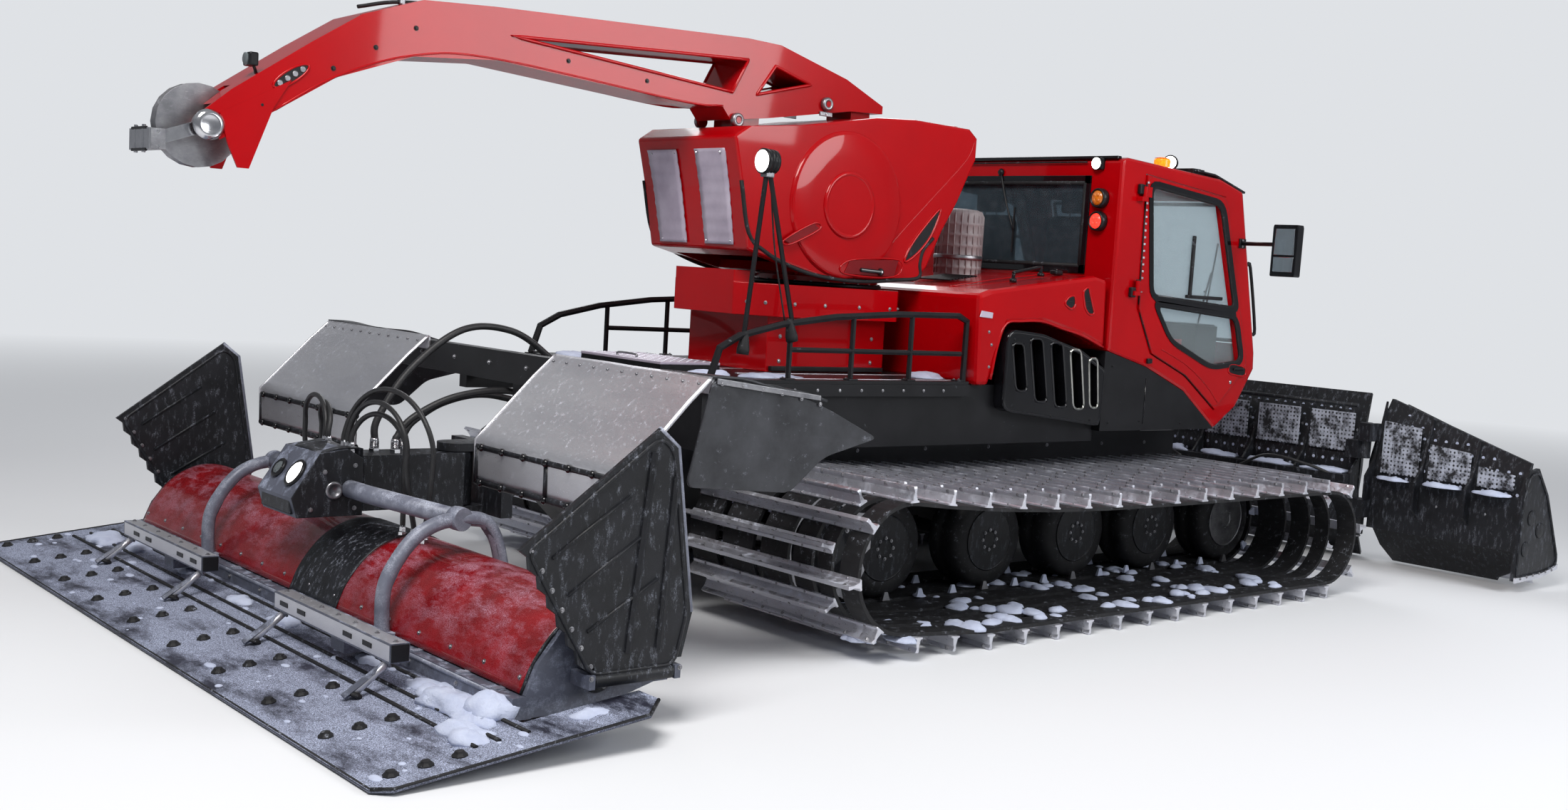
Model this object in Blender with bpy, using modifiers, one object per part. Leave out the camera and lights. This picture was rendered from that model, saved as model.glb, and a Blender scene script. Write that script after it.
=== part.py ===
"""Snowcat groomer with slewing winch boom, front blade and rear tiller.

Runs in Blender 4.5: blender --background --python part.py
Metres, +Z up, +X to the blade, +Y to the left. The ground is z = 0, and the origin
is under the middle of the machine's overall box. Places along X are first counted
from the middle of the tracks, and the last step moves them all by MID_X.
"""

import math

import bmesh
import bpy
from mathutils import Matrix, Vector

# Overall reach from the middle of the tracks
REAR_END_X = -4.82
FRONT_END_X = 4.70
MID_X = (FRONT_END_X + REAR_END_X) / 2

# Clearances and overruns
TOUCH_GAP = 0.0003
PIN_GAP = 0.0002
SWING_GAP = 0.007
CUT_OVERRUN = 0.05
WELD_DEPTH = 0.004
WELD_LIMIT = 0.00002
MITRE_LIMIT_SHARE = 0.3

# Tracks: a belt ring with a long bar at each pitch and a shorter one between
TRACK_INNER_Y = 0.62
TRACK_OUTER_Y = 2.10
SHORT_BAR_Y = 1.86
BELT_THICKNESS = 0.022
BAR_HEIGHT = 0.085
BAR_FOOT = 0.062
BAR_CREST = 0.022
LONG_BARS = 36
WHEEL_RADIUS = 0.305
WHEEL_INNER_Y = 0.93
WHEEL_OUTER_Y = 1.20
WHEEL_Z = BAR_HEIGHT + BELT_THICKNESS + TOUCH_GAP + WHEEL_RADIUS
ROAD_WHEEL_X = (-0.96, -0.07, 0.76, 1.55)
IDLER_X = 2.43
SPROCKET_X = -1.60
SPROCKET_Z = 0.49
SPROCKET_RADIUS = 0.333
SPROCKET_TEETH = 12
SPROCKET_TOOTH = 0.035
# a tooth: share of its turn, share of its height
TOOTH_SHARES = ((-0.3, 0.0), (-0.14, 1.0), (0.14, 1.0), (0.3, 0.0))
SPROCKET_WIDTH = 0.10
SPROCKET_Y = 1.36
AXLE_RADIUS = 0.045
DRIVE_SHAFT_RADIUS = 0.055
RUN_CLEARANCE = 0.004
ARC_STEPS = 14
WHEEL_STEPS = 16
# along the top run, from the sprocket to the idler: share of the way, share of the drop
TOP_RUN_SHARES = ((0.07, 0.30), (0.17, 0.62), (0.28, 0.85), (0.40, 0.97), (0.52, 1.0), (0.80, 1.0))
# tyre and rim half section: share of the radius, share of the half width
TYRE_SHARES = ((0.28, 1.0), (0.33, 0.50), (0.64, 0.50), (0.72, 1.0), (1.0, 0.72))

# Chassis tub between the tracks and the wider body over them
TUB_REAR_X = -2.40
TUB_FRONT_X = 2.66
TUB_HALF_WIDTH = 0.50
TUB_LOW_Z = 0.38
TUB_RAMP = 0.22
BODY_LOW_Z = 0.98
BODY_TOP_Z = 1.36
BODY_REAR_X = -2.15
BODY_FRONT_X = 1.16
BODY_HALF_WIDTH = 0.93
FLOOR_TOP_Z = 1.05
ENGINE_BAY_REAR_X = -0.15
ENGINE_BAY_FRONT_X = 1.05
ENGINE_BAY_HALF_WIDTH = 0.42
ENGINE_BAY_FLOOR_Z = 0.48
ENGINE_MARGIN = 0.08
ENGINE_TOP_Z = 1.28
SIDE_BEAM_DEPTH = 0.07
SIDE_BEAM_WIDTH = 0.05

# Deck plate, hatch and tube side rails
DECK_THICKNESS = 0.022
DECK_HALF_WIDTH = 0.97
DECK_FRONT_X = -0.12
HATCH_REAR_X = -2.08
HATCH_FRONT_X = -1.66
HATCH_HALF_WIDTH = 0.42
HATCH_THICKNESS = 0.05
RAIL_Y = 0.945
RAIL_RADIUS = 0.021
RAIL_REAR_X = -2.12
RAIL_LENGTH = 1.97
RAIL_TOP_Z = 1.79
# top rail: share of the length, share of the height
RAIL_TOP_SHARES = (
    (0.0, 0.0), (0.03, 0.42), (0.10, 0.60), (0.25, 0.77), (0.45, 0.90), (0.70, 0.98), (0.96, 1.0), (
        1.0, 0.92,
    ),
    (1.0, 0.0),
)
RAIL_MID_SHARES = ((0.28, 0.42), (0.66, 0.42), (0.98, 0.42))
RAIL_POST_SHARES = (0.28, 0.52, 0.76)

# Rear guards over the back of the tracks, with their tube frames and rubber flaps
GUARD_INNER_Y = 0.70
GUARD_OUTER_Y = 2.08
GUARD_THICKNESS = 0.012
GUARD_TOP_X = -2.945
GUARD_DEPTH = 0.44
GUARD_TOP_Z = 1.487
GUARD_HEIGHT = 0.66
GUARD_FRAME_RADIUS = 0.018
GUARD_BEAM_SIZE = 0.08
GUARD_BEAM_Y = 1.70
GUARD_ARM_Y = 0.30
# folded sheet: share of the depth back from the top edge, share of the height down
GUARD_SHARES = ((0.0, 0.0), (0.28, 0.17), (1.0, 0.66), (0.99, 0.97))
GUARD_FRAME_SHARES = ((0.97, 0.72), (0.97, 0.99))
FLAP_LENGTH = 1.12
FLAP_HEIGHT = 0.50
FLAP_THICKNESS = 0.014
FLAP_ROOF_WIDTH = 0.42
# side of the flap: share of the length forward, share of the height down
FLAP_SIDE_SHARES = (
    (0.0, 0.014), (0.3527, 0.074), (0.6652, 0.334), (0.933, 0.604), (0.6205, 0.774), (0.442, 1.114),
    (-0.1116, 1.014),
)
FLAP_ROOF_SHARES = ((0.0, 0.0), (0.30, 0.05), (0.62, 0.22))

# Engine hood behind the cab and the louvred pods below it
HOOD_REAR_X = -0.11
HOOD_LENGTH = 1.25
HOOD_LOW_Z = 1.36
HOOD_HEIGHT = 0.76
HOOD_HALF_WIDTH = 1.0
HOOD_ROUND = 0.07
# side of the hood: share of the length forward, share of the height
HOOD_SIDE_SHARES = (
    (0.024, 0.0), (0.0, 0.75), (0.088, 0.7961), (0.888, 0.9737), (0.984, 0.9474), (1.0, 0.3421),
    (0.808, 0.4474), (0.488, 0.5526), (0.216, 0.5263), (0.168, 0.3421), (0.112, 0.0),
)
HOOD_HOLLOW_SHARES = (
    (0.052, -0.0263), (0.028, 0.7105), (0.096, 0.7539), (0.888, 0.9303), (0.956, 0.9105),
    (0.972, 0.3158), (0.972, -0.0263),
)
COLUMN_WIDTH = 0.09
GRILLE_REAR_X = 0.10
GRILLE_LENGTH = 1.11
GRILLE_LOW_Z = 1.09
GRILLE_HEIGHT = 0.70
GRILLE_INNER_Y = BODY_HALF_WIDTH + TOUCH_GAP
GRILLE_OUTER_Y = 1.02
GRILLE_SIDE_SHARES = (
    (0.0491, 0.2429), (0.0625, 0.1786), (0.1071, 0.15), (0.8839, 0.0114), (0.9152, 0.0143),
    (0.9259, 0.0571), (0.9464, 0.5), (0.942, 0.55), (0.9196, 0.5714), (0.7143, 0.7286),
    (0.3571, 0.8714), (0.1071, 0.9), (0.067, 0.8714), (0.0491, 0.8143),
)
# slots: share along at the foot, share along at the head, width share, foot share, head share
GRILLE_SLOT_SHARES = (
    (0.15, 0.09, 0.10, 0.34, 0.78), (0.32, 0.24, 0.11, 0.24, 0.83), (0.50, 0.42, 0.11, 0.19, 0.80),
    (0.67, 0.60, 0.10, 0.17, 0.74), (0.82, 0.78, 0.08, 0.18, 0.66),
)

# Cab
CAB_REAR_X = 1.18
CAB_LENGTH = 1.73
CAB_LOW_Z = 1.055
CAB_HEIGHT = 1.855
CAB_HALF_WIDTH = 1.0
CAB_WALL = 0.045
CAB_ROUND = 0.03
# side of the cab: share of the length forward, share of the height
CAB_SIDE_SHARES = (
    (0.0, 0.2938), (0.2428, 0.2399), (0.5087, 0.1482), (0.7399, 0.0), (0.8902, 0.0889), (1.0, 0.2399),
    (0.9942, 0.3046), (0.8092, 0.9353), (0.6474, 0.973), (0.0405, 1.0), (0.0, 0.9892),
)
DOOR_SIDE_SHARES = (
    (0.1474, 0.9515), (0.6879, 0.9084), (0.8208, 0.5633), (0.9364, 0.2507), (0.7283, 0.0728),
    (0.5029, 0.2075), (0.2659, 0.2884), (0.159, 0.4555),
)
DOOR_WINDOW_SHARES = (
    (0.185, 0.9084), (0.6532, 0.8706), (0.7803, 0.5472), (0.8064, 0.4825), (0.2428, 0.5094),
)
DOOR_LOW_WINDOW_SHARES = (
    (0.2775, 0.4717), (0.8208, 0.4394), (0.8844, 0.2722), (0.6763, 0.2507), (0.3873, 0.3477),
)
SKIRT_SIDE_SHARES = (
    (0.0, 0.2938), (0.2428, 0.2399), (0.5087, 0.1482), (0.7399, 0.0), (0.0, 0.0),
)
# the front wall between the windscreen edges, outside then inside
SCREEN_SIDE_SHARES = (
    (1.0079, 0.3369), (0.8434, 0.8976), (0.7741, 0.8976), (0.9385, 0.3369),
)
SCREEN_POST_WIDTH = 0.12
SCREEN_HALF_WIDTH = CAB_HALF_WIDTH - SCREEN_POST_WIDTH
DOOR_PROUD = 0.014
GLASS_THICKNESS = 0.006
REAR_POST_WIDTH = 0.32
REAR_WINDOW_HALF_WIDTH = CAB_HALF_WIDTH - REAR_POST_WIDTH
# the rear window's sill and head as shares of the cab's height
REAR_WINDOW_SHARES = (0.6065, 0.9003)
REAR_WINDOW_LOW_Z = CAB_LOW_Z + REAR_WINDOW_SHARES[0] * CAB_HEIGHT
REAR_WINDOW_TOP_Z = CAB_LOW_Z + REAR_WINDOW_SHARES[1] * CAB_HEIGHT
PANE_MARGIN = 0.035
HINGE_BACK = 0.03
HINGE_X = CAB_REAR_X + DOOR_SIDE_SHARES[0][0] * CAB_LENGTH - HINGE_BACK
HINGE_OUT = 0.016
HINGE_PIN_RADIUS = 0.007
HINGE_BARREL_RADIUS = 0.016
HINGE_HEIGHT = 0.07
# the two hinges as shares of the cab's height
HINGE_SHARES = (0.5202, 0.8652)
HINGE_LOW_Z = CAB_LOW_Z + HINGE_SHARES[0] * CAB_HEIGHT
HINGE_TOP_Z = CAB_LOW_Z + HINGE_SHARES[1] * CAB_HEIGHT
HINGE_SEAT = 0.03
FLOOR_SIDE_GAP = 0.07
FLOOR_HALF_WIDTH = CAB_HALF_WIDTH - FLOOR_SIDE_GAP
FLOOR_THICKNESS = 0.07
SEAT_BACK_GAP = 0.24
SEAT_REAR_X = CAB_REAR_X + SEAT_BACK_GAP
SEAT_DEPTH = 0.50
SEAT_HALF_WIDTH = 0.25
SEAT_SPACING = 0.42
# the cab floor and the dash top as shares of the cab's height
FLOOR_SHARE = 0.3477
DASH_TOP_SHARE = 0.4016
SEAT_BASE_Z = CAB_LOW_Z + FLOOR_SHARE * CAB_HEIGHT
SEAT_RISE = 0.16
SEAT_CUSHION_Z = SEAT_BASE_Z + SEAT_RISE
SEAT_CUSHION = 0.12
SEAT_BACK_HEIGHT = 0.66
SEAT_BACK_Z = SEAT_CUSHION_Z + SEAT_BACK_HEIGHT
SEAT_BACK_THICKNESS = 0.12
SEAT_BASE_THICKNESS = 0.05
HEADREST_HEIGHT = 0.18
HEADREST_Z = SEAT_BACK_Z + HEADREST_HEIGHT
HEADREST_HALF_WIDTH = 0.13
DASH_SHARE = 0.7168
DASH_X = CAB_REAR_X + DASH_SHARE * CAB_LENGTH
DASH_DEPTH = 0.26
DASH_SIDE_GAP = 0.20
DASH_HALF_WIDTH = CAB_HALF_WIDTH - DASH_SIDE_GAP
DASH_TOP_Z = CAB_LOW_Z + DASH_TOP_SHARE * CAB_HEIGHT
DASH_HEIGHT = 0.34
CONSOLE_WIDTH = 0.16
ROOF_LAMP_SHARE = 0.5087
ROOF_LAMP_X = CAB_REAR_X + ROOF_LAMP_SHARE * CAB_LENGTH
ROOF_LAMP_INSET = 0.08
ROOF_LAMP_HALF_WIDTH = CAB_HALF_WIDTH - ROOF_LAMP_INSET
ROOF_LAMP_DEPTH = 0.09
ROOF_LAMP_HEIGHT = 0.045
ROOF_LAMP_COUNT = 4
ROOF_LAMP_BLOCK = 0.13
BEACON_SHARE = 0.3584
BEACON_X = CAB_REAR_X + BEACON_SHARE * CAB_LENGTH
LAMP_INSET = 0.16
BEACON_Y = CAB_HALF_WIDTH - LAMP_INSET
BEACON_RADIUS = 0.055
BEACON_HEIGHT = 0.075
TAIL_LAMP_RADIUS = 0.048
TAIL_LAMP_DEPTH = 0.035
TAIL_LAMP_Y = CAB_HALF_WIDTH - LAMP_INSET
TAIL_LAMP_SHARES = (0.8491, 0.7655)
MIRROR_FOOT_SHARE = 0.8266
MIRROR_FOOT_X = CAB_REAR_X + MIRROR_FOOT_SHARE * CAB_LENGTH
MIRROR_BACK = 0.05
MIRROR_X = MIRROR_FOOT_X - MIRROR_BACK
MIRROR_OUT = 0.42
MIRROR_Y = CAB_HALF_WIDTH + MIRROR_OUT
MIRROR_ARM_SHARE = 0.7358
MIRROR_FOOT_Z = CAB_LOW_Z + MIRROR_ARM_SHARE * CAB_HEIGHT
MIRROR_DROP = 0.22
MIRROR_HEIGHT = 0.35
MIRROR_LOW_Z = MIRROR_FOOT_Z - MIRROR_DROP
MIRROR_TOP_Z = MIRROR_LOW_Z + MIRROR_HEIGHT
MIRROR_WIDTH = 0.19
MIRROR_THICKNESS = 0.06
MIRROR_ARM_RADIUS = 0.012

# Winch turret: fixed pedestal, slewing housing, boom, sheave and rope guide
SLEW_X = -0.60
PEDESTAL_REAR_X = -1.50
PEDESTAL_FRONT_X = -0.14
PEDESTAL_HALF_WIDTH = 0.50
PEDESTAL_CORNER = 0.20
PEDESTAL_LOW_Z = 1.72
PEDESTAL_TOP_Z = 1.915
PEDESTAL_BACK_DEPTH = 0.14
PEDESTAL_BACK_RISE = 0.07
SLEW_RING_RADIUS = 0.40
HOUSING_REAR_X = -1.74
HOUSING_LENGTH = 2.03
HOUSING_LOW_Z = 1.98
HOUSING_HEIGHT = 1.05
HOUSING_HALF_WIDTH = 0.50
HOUSING_ROUND = 0.16
# side of the slewing housing: share of the length forward, share of the height
HOUSING_SIDE_SHARES = (
    (0.3547, 0.0), (0.7586, 0.0), (0.8079, 0.0926), (0.867, 0.3241), (0.9261, 0.5093), (0.9975, 0.787),
    (0.9975, 0.9167), (0.9606, 0.9676), (0.7192, 0.9722), (0.5616, 0.9491), (0.266, 0.8426),
    (0.069, 0.7963), (0.0197, 0.7315), (0.0542, 0.463), (0.0887, 0.1157),
)
HOUSING_HOLLOW_SHARES = (
    (0.1773, 0.0185), (0.3153, -0.0278), (0.335, 0.0648), (0.7291, 0.0648), (0.7783, 0.1389),
    (0.8424, 0.3611), (0.8966, 0.5463), (0.9655, 0.8056), (0.9655, 0.8796), (0.9458, 0.9167),
    (0.7192, 0.9167), (0.5616, 0.8935), (0.266, 0.787), (0.0887, 0.7407), (0.0542, 0.6944),
    (0.0837, 0.4537), (0.1281, 0.1852),
)
DISC_X = -0.82
DISC_Z = 2.42
DISC_RADIUS = 0.44
DISC_RING_RADIUS = 0.185
DISC_PROUD = 0.018
DRUM_RADIUS = 0.30
DRUM_HALF_WIDTH = 0.34
DRUM_FLANGE_RADIUS = 0.36
DRUM_FLANGE = 0.03
DRUM_X = -0.66
DRUM_Z = 2.42
BOOM_TIP_X = -4.58
BOOM_LENGTH = 4.31
BOOM_LOW_Z = 2.435
BOOM_HEIGHT = 0.94
BOOM_HALF_WIDTH = 0.17
BOOM_WALL = 0.014
# boom along its top and along its underside: share of the length forward, share of the height
BOOM_TOP_SHARES = (
    (0.0002, 0.1309), (0.0313, 0.2574), (0.1197, 0.55), (0.1787, 0.734), (0.255, 0.8649),
    (0.3517, 0.8989), (0.7397, 0.9883), (0.7984, 0.983), (0.9248, 0.8404), (0.9988, 0.7011),
)
BOOM_UNDER_SHARES = (
    (0.0202, 0.0), (0.0803, 0.1745), (0.1503, 0.3862), (0.2441, 0.5543), (0.355, 0.6053),
    (0.6295, 0.5287), (0.7023, 0.5372), (0.716, 0.4649), (0.781, 0.5074), (0.936, 0.6351),
    (0.9988, 0.6489),
)
BOOM_LONG_OPENING_SHARES = (
    (0.3731, 0.7521), (0.742, 0.8553), (0.7169, 0.6372),
)
BOOM_SHORT_OPENING_SHARES = (
    (0.7905, 0.8457), (0.8566, 0.7638), (0.7594, 0.6457),
)
BOOM_FOOT_X = (-1.40, -0.50)
BOOM_FOOT_LENGTH = 0.16
BOOM_FOOT_HALF_WIDTH = 0.12
BOOM_FOOT_DEPTH = 0.10
BOOM_PIN_RADIUS = 0.035
BOOM_PIN_PROUD = 0.03
BOOM_PIN_SHARES = ((0.7255, 0.466), (0.8865, 0.654))
FORK_LENGTH = 0.50
SHEAVE_X = -4.548
SHEAVE_Z = 2.499
SHEAVE_RADIUS = 0.20
SHEAVE_WIDTH = 0.07
SHEAVE_GROOVE = 0.022
SHEAVE_PIN_RADIUS = 0.03
SHEAVE_CAP_RADIUS = 0.058
SHEAVE_CAP = 0.02
GUIDE_LENGTH = 0.235
GUIDE_DROP = 0.09
GUIDE_ARM = 0.03
GUIDE_ARM_Y = 0.135
GUIDE_EYE_RADIUS = 0.06
GUIDE_BOX = 0.05
TIP_GUARD_X = -4.50
TIP_GUARD_Z = 2.56
TIP_GUARD_LENGTH = 0.34
TIP_GUARD_HEIGHT = 0.26
TIP_GUARD_THICKNESS = 0.008
TIP_GUARD_SHARES = ((0.0, 0.0), (0.12, -0.55), (0.26, -0.96), (0.42, -0.96), (0.75, 0.20), (1.0, 0.75))
MAST_FOOT_X = (-1.90, -1.56)
MAST_TOP_X = -1.80
MAST_TOP_Z = 2.586
MAST_RADIUS = 0.014
MAST_LAMP_RADIUS = 0.065
MAST_LAMP_DEPTH = 0.035
INTAKE_X = 0.70
INTAKE_Y = 0.02
INTAKE_RADIUS = 0.16
INTAKE_LOW_Z = 2.00
INTAKE_TOP_Z = 2.50

# Front blade, its push frame and its wings
PUSH_PIVOT_X = 2.80
PUSH_PIVOT_Z = 0.56
PUSH_PIN_RADIUS = 0.04
PUSH_EYE_RADIUS = 0.09
PUSH_ARM_Y = 0.42
PUSH_ARM_WIDTH = 0.08
PUSH_ARM_DEPTH = 0.16
PUSH_FRONT_X = 3.58
PUSH_FRONT_LOW_Z = 0.30
PUSH_FRONT_HEIGHT = 0.36
PUSH_CROSS_DEPTH = 0.14
LUG_WIDTH = 0.04
KING_X = 3.68
KING_RADIUS = 0.05
KING_BOSS_RADIUS = 0.10
KING_EAR = 0.045
SWIVEL_HALF_WIDTH = 0.13
SWIVEL_FRONT_X = 3.84
TILT_Z = 0.48
TILT_PIN_RADIUS = 0.06
TILT_PIN_LENGTH = 0.14
BLADE_BEAM_X = 3.885
BLADE_BEAM_DEPTH = 0.20
BLADE_BACK_X = 4.06
BLADE_DEPTH = 0.36
BLADE_LOW_Z = 0.036
BLADE_HEIGHT = 1.296
# the beam behind it, from foot to head, as shares of the height
BLADE_BEAM_SHARES = (0.2037, 0.5123)
BLADE_BEAM_LOW_Z = BLADE_LOW_Z + BLADE_BEAM_SHARES[0] * BLADE_HEIGHT
BLADE_BEAM_TOP_Z = BLADE_LOW_Z + BLADE_BEAM_SHARES[1] * BLADE_HEIGHT
BLADE_HALF_WIDTH = 1.28
BLADE_PLATE = 0.03
# mouldboard face: share of the depth forward, share of the height
BLADE_FACE_SHARES = (
    (1.0, 0.0), (0.62, 0.10), (0.30, 0.24), (0.14, 0.42), (0.14, 0.60), (0.30, 0.78), (0.62, 1.0),
)
RIB_SHARES = ((0.0, 0.30), (-0.30, 0.36), (-0.30, 0.52), (0.0, 0.62), (0.34, 0.97), (0.30, 0.55))
RIB_THICKNESS = 0.02
RIB_COUNT = 6
WING_HINGE_OUT = 0.05
WING_HINGE_Y = BLADE_HALF_WIDTH + WING_HINGE_OUT
WING_HINGE_X = 4.02
WING_PIN_RADIUS = 0.022
WING_BARREL_RADIUS = 0.05
WING_BARREL_SHARE = 0.108
WING_BARREL_HEIGHT = WING_BARREL_SHARE * BLADE_HEIGHT
WING_BRACKET_SHARE = 0.15
WING_BRACKET_REACH_SHARE = 0.22
WING_BARREL_SHARES = (0.1574, 0.6204)
WING_INNER_GAP = 0.065
WING_INNER_Y = BLADE_HALF_WIDTH + WING_INNER_GAP
WING_LENGTH = 1.295
WING_OUTER_Y = WING_INNER_Y + WING_LENGTH
WING_TIP_SHARE = 0.70
WING_MITRE_SLOPE = 0.344
WING_RIB_COUNT = 3
WING_SIDE_THICKNESS = 0.03
WING_CORNER = 0.30
# end plate of a wing: share of the reach forward, share of the height
WING_END_SHARES = (
    (-0.06, 0.04), (0.60, 0.05), (1.0, 0.08), (1.0, 0.16), (0.60, 0.52), (0.30, 0.68), (0.06, 0.66), (
        -0.06, 0.50,
    ),
)

# Rear tiller: lift arm, head, frame, hood, rotors, finisher flap and side wings
TILLER_PIVOT_X = -2.53
TILLER_PIVOT_Z = 0.92
TILLER_PIN_RADIUS = 0.04
TILLER_EYE_RADIUS = 0.085
TILLER_ARM_Y = 0.26
TILLER_ARM_WIDTH = 0.07
TILLER_ARM_DEPTH = 0.15
SWING_X = -3.12
SWING_LOW_Z = 0.60
SWING_HEIGHT = 0.30
SWING_EAR = 0.045
SWING_EAR_GAP = 0.03
SWING_RADIUS = 0.05
SWING_BOSS_RADIUS = 0.10
HEAD_REAR_X = -3.70
HEAD_HALF_WIDTH = 0.12
ROLL_Z = 0.74
ROLL_PIN_RADIUS = 0.055
ROLL_PIN_LENGTH = 0.12
BOX_FRONT_X = -3.745
BOX_REAR_X = -4.12
BOX_HALF_WIDTH = 0.21
BOX_LOW_Z = 0.60
BOX_TOP_Z = 0.945
# lamp box on the tiller's middle: share of its length back, share of its height
BOX_SHARES = ((0.0, 0.0), (0.0, 0.85), (0.22, 1.0), (0.62, 0.94), (1.0, 0.30), (0.92, 0.0))
ROTOR_X = -3.66
ROTOR_Z = 0.235
ROTOR_SHAFT_RADIUS = 0.085
TINE_RADIUS = 0.215
TINE_WIDTH = 0.045
TINE_TIP = 0.016
TINE_ROWS = 15
TINE_TURN = 2.4
ROTOR_INNER_Y = 0.10
ROTOR_OUTER_Y = 2.26
JOURNAL_RADIUS = 0.035
TILLER_HALF_WIDTH = 2.30
END_PLATE = 0.035
HOOD_SHEET = 0.012
TILLER_HOOD_REAR_X = -4.00
TILLER_HOOD_LENGTH = 0.66
TILLER_HOOD_LOW_Z = 0.185
TILLER_HOOD_HEIGHT = 0.345
# curved hood: share of the length forward, share of the height
TILLER_HOOD_SHARES = (
    (0.0, 0.0), (0.08, 0.36), (0.24, 0.74), (0.44, 0.96), (0.62, 1.0), (0.80, 0.90), (0.95, 0.58), (
        1.0, 0.25,
    ),
)
REAR_BEAM_DEPTH = 0.09
REAR_BEAM_LOW_Z = 0.085
FRONT_BEAM_DEPTH = 0.07
FRONT_BEAM_LOW_Z = 0.17
ARCH_Y = 1.10
ARCH_RADIUS = 0.034
CROSS_TUBE_RADIUS = 0.045
# arch over the hood: share from the hood's rear foot forward, share of the arch's height
ARCH_HEIGHT = 0.58
ARCH_SHARES = (
    (-0.06, 0.0), (-0.06, 0.45), (0.04, 0.70), (0.18, 0.88), (0.34, 0.97), (0.52, 1.0), (0.70, 0.97), (
        0.80, 0.82,
    ),
    (0.86, 0.58), (0.94, 0.16),
)
FLAP_REAR_X = REAR_END_X
SWEEP_HALF_WIDTH = 2.72
SWEEP_FRONT_X = -3.50
SWEEP_NOTCH_Y = 2.42
SWEEP_REAR_Z = 0.004
SWEEP_FRONT_RISE = 0.15
SWEEP_THICKNESS = 0.014
SWEEP_CORNER = 0.14
NUB_COUNT = 10
NUB_SIZE = 0.03
NUB_HEIGHT = 0.018
NUB_ROWS_X = (-4.70, -4.56, -4.42)
PRESS_INNER_Y = 0.48
PRESS_OUTER_Y = 1.72
PRESS_X = -4.30
PRESS_DEPTH = 0.09
PRESS_LOW_Z = 0.215
PRESS_HEIGHT = 0.085
PRESS_LEG_RADIUS = 0.016
PRESS_LEG_BACK = 0.17
PRESS_ARM_WIDTH = 0.07
PRESS_FOOT_GAP = 0.003
FOLD_Y = 2.45
FOLD_Z = 0.245
FOLD_REAR_X = -3.76
FOLD_FRONT_X = -3.36
FOLD_PIN_RADIUS = 0.014
FOLD_BARREL_RADIUS = 0.032
FOLD_LUG = 0.03
FOLD_START_X = -4.13
FOLD_LENGTH = 0.86
FOLD_LOW_Z = 0.245
FOLD_HEIGHT = 1.06
FOLD_PLATE = 0.022
# side wing: share of the length forward, share of the height
FOLD_SIDE_SHARES = (
    (0.0, 0.5425), (0.3953, 0.0), (0.9302, 0.0), (1.0, 0.2406), (0.8721, 0.9198), (0.7558, 0.9953),
)
FOLD_TEETH = 7
FOLD_TOOTH = 0.02
FOLD_RIDGE_SHARES = ((0.62, 0.10, 0.72, 0.90), (0.80, 0.10, 0.86, 0.80))
FOLD_RIDGE = 0.018

# Hydraulic hoses from the chassis to the tiller, points chosen by hand
HOSE_RADIUS = 0.019
HOSE_ROUTES = (
    (
        (-2.1503, -0.14, 1.1), (-2.24, -0.14, 1.1), (-2.306, -0.144, 1.113), (-2.401, -0.151, 1.131),
        (-2.506, -0.157, 1.151), (-2.6, -0.16, 1.17), (-2.679, -0.16, 1.19), (-2.754, -0.159, 1.212),
        (-2.826, -0.155, 1.23), (-2.9, -0.15, 1.24), (-2.977, -0.142, 1.24), (-3.055, -0.132, 1.232),
        (-3.131, -0.121, 1.218), (-3.2, -0.11, 1.2), (-3.264, -0.099, 1.175), (-3.324, -0.088, 1.144),
        (-3.377, -0.078, 1.111), (-3.42, -0.07, 1.08), (-3.452, -0.065, 1.049),
        (-3.474, -0.062, 1.018), (-3.489, -0.061, 0.99), (-3.5, -0.06, 0.97), (-3.5, -0.06, 0.8963),
    ),
    (
        (-2.1503, 0, 1.2), (-2.24, 0, 1.2), (-2.286, 0, 1.232), (-2.353, 0, 1.279), (-2.428, 0, 1.331),
        (-2.5, 0, 1.38), (-2.568, 0, 1.428), (-2.636, 0, 1.478), (-2.707, 0, 1.523), (-2.78, 0, 1.555),
        (-2.858, 0, 1.573), (-2.939, 0, 1.582), (-3.02, 0, 1.579), (-3.1, 0, 1.56), (-3.179, 0, 1.522),
        (-3.259, 0, 1.467), (-3.334, 0, 1.403), (-3.4, 0, 1.34), (-3.456, 0, 1.274),
        (-3.505, 0, 1.203), (-3.545, 0, 1.135), (-3.575, 0, 1.08), (-3.59, 0, 1.039),
        (-3.593, 0, 1.009), (-3.591, 0, 0.986), (-3.59, 0, 0.97), (-3.59, 0, 0.8963),
    ),
    (
        (-2.1503, 0.14, 1.1), (-2.24, 0.14, 1.1), (-2.302, 0.144, 1.107), (-2.391, 0.151, 1.117),
        (-2.49, 0.157, 1.128), (-2.58, 0.16, 1.14), (-2.659, 0.16, 1.154), (-2.735, 0.159, 1.17),
        (-2.809, 0.155, 1.184), (-2.88, 0.15, 1.19), (-2.949, 0.142, 1.188), (-3.016, 0.132, 1.179),
        (-3.08, 0.121, 1.166), (-3.14, 0.11, 1.15), (-3.198, 0.099, 1.129), (-3.252, 0.088, 1.102),
        (-3.301, 0.078, 1.075), (-3.34, 0.07, 1.05), (-3.366, 0.065, 1.027), (-3.382, 0.062, 1.004),
        (-3.393, 0.061, 0.984), (-3.4, 0.06, 0.97), (-3.4, 0.06, 0.8963),
    ),
)

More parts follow.
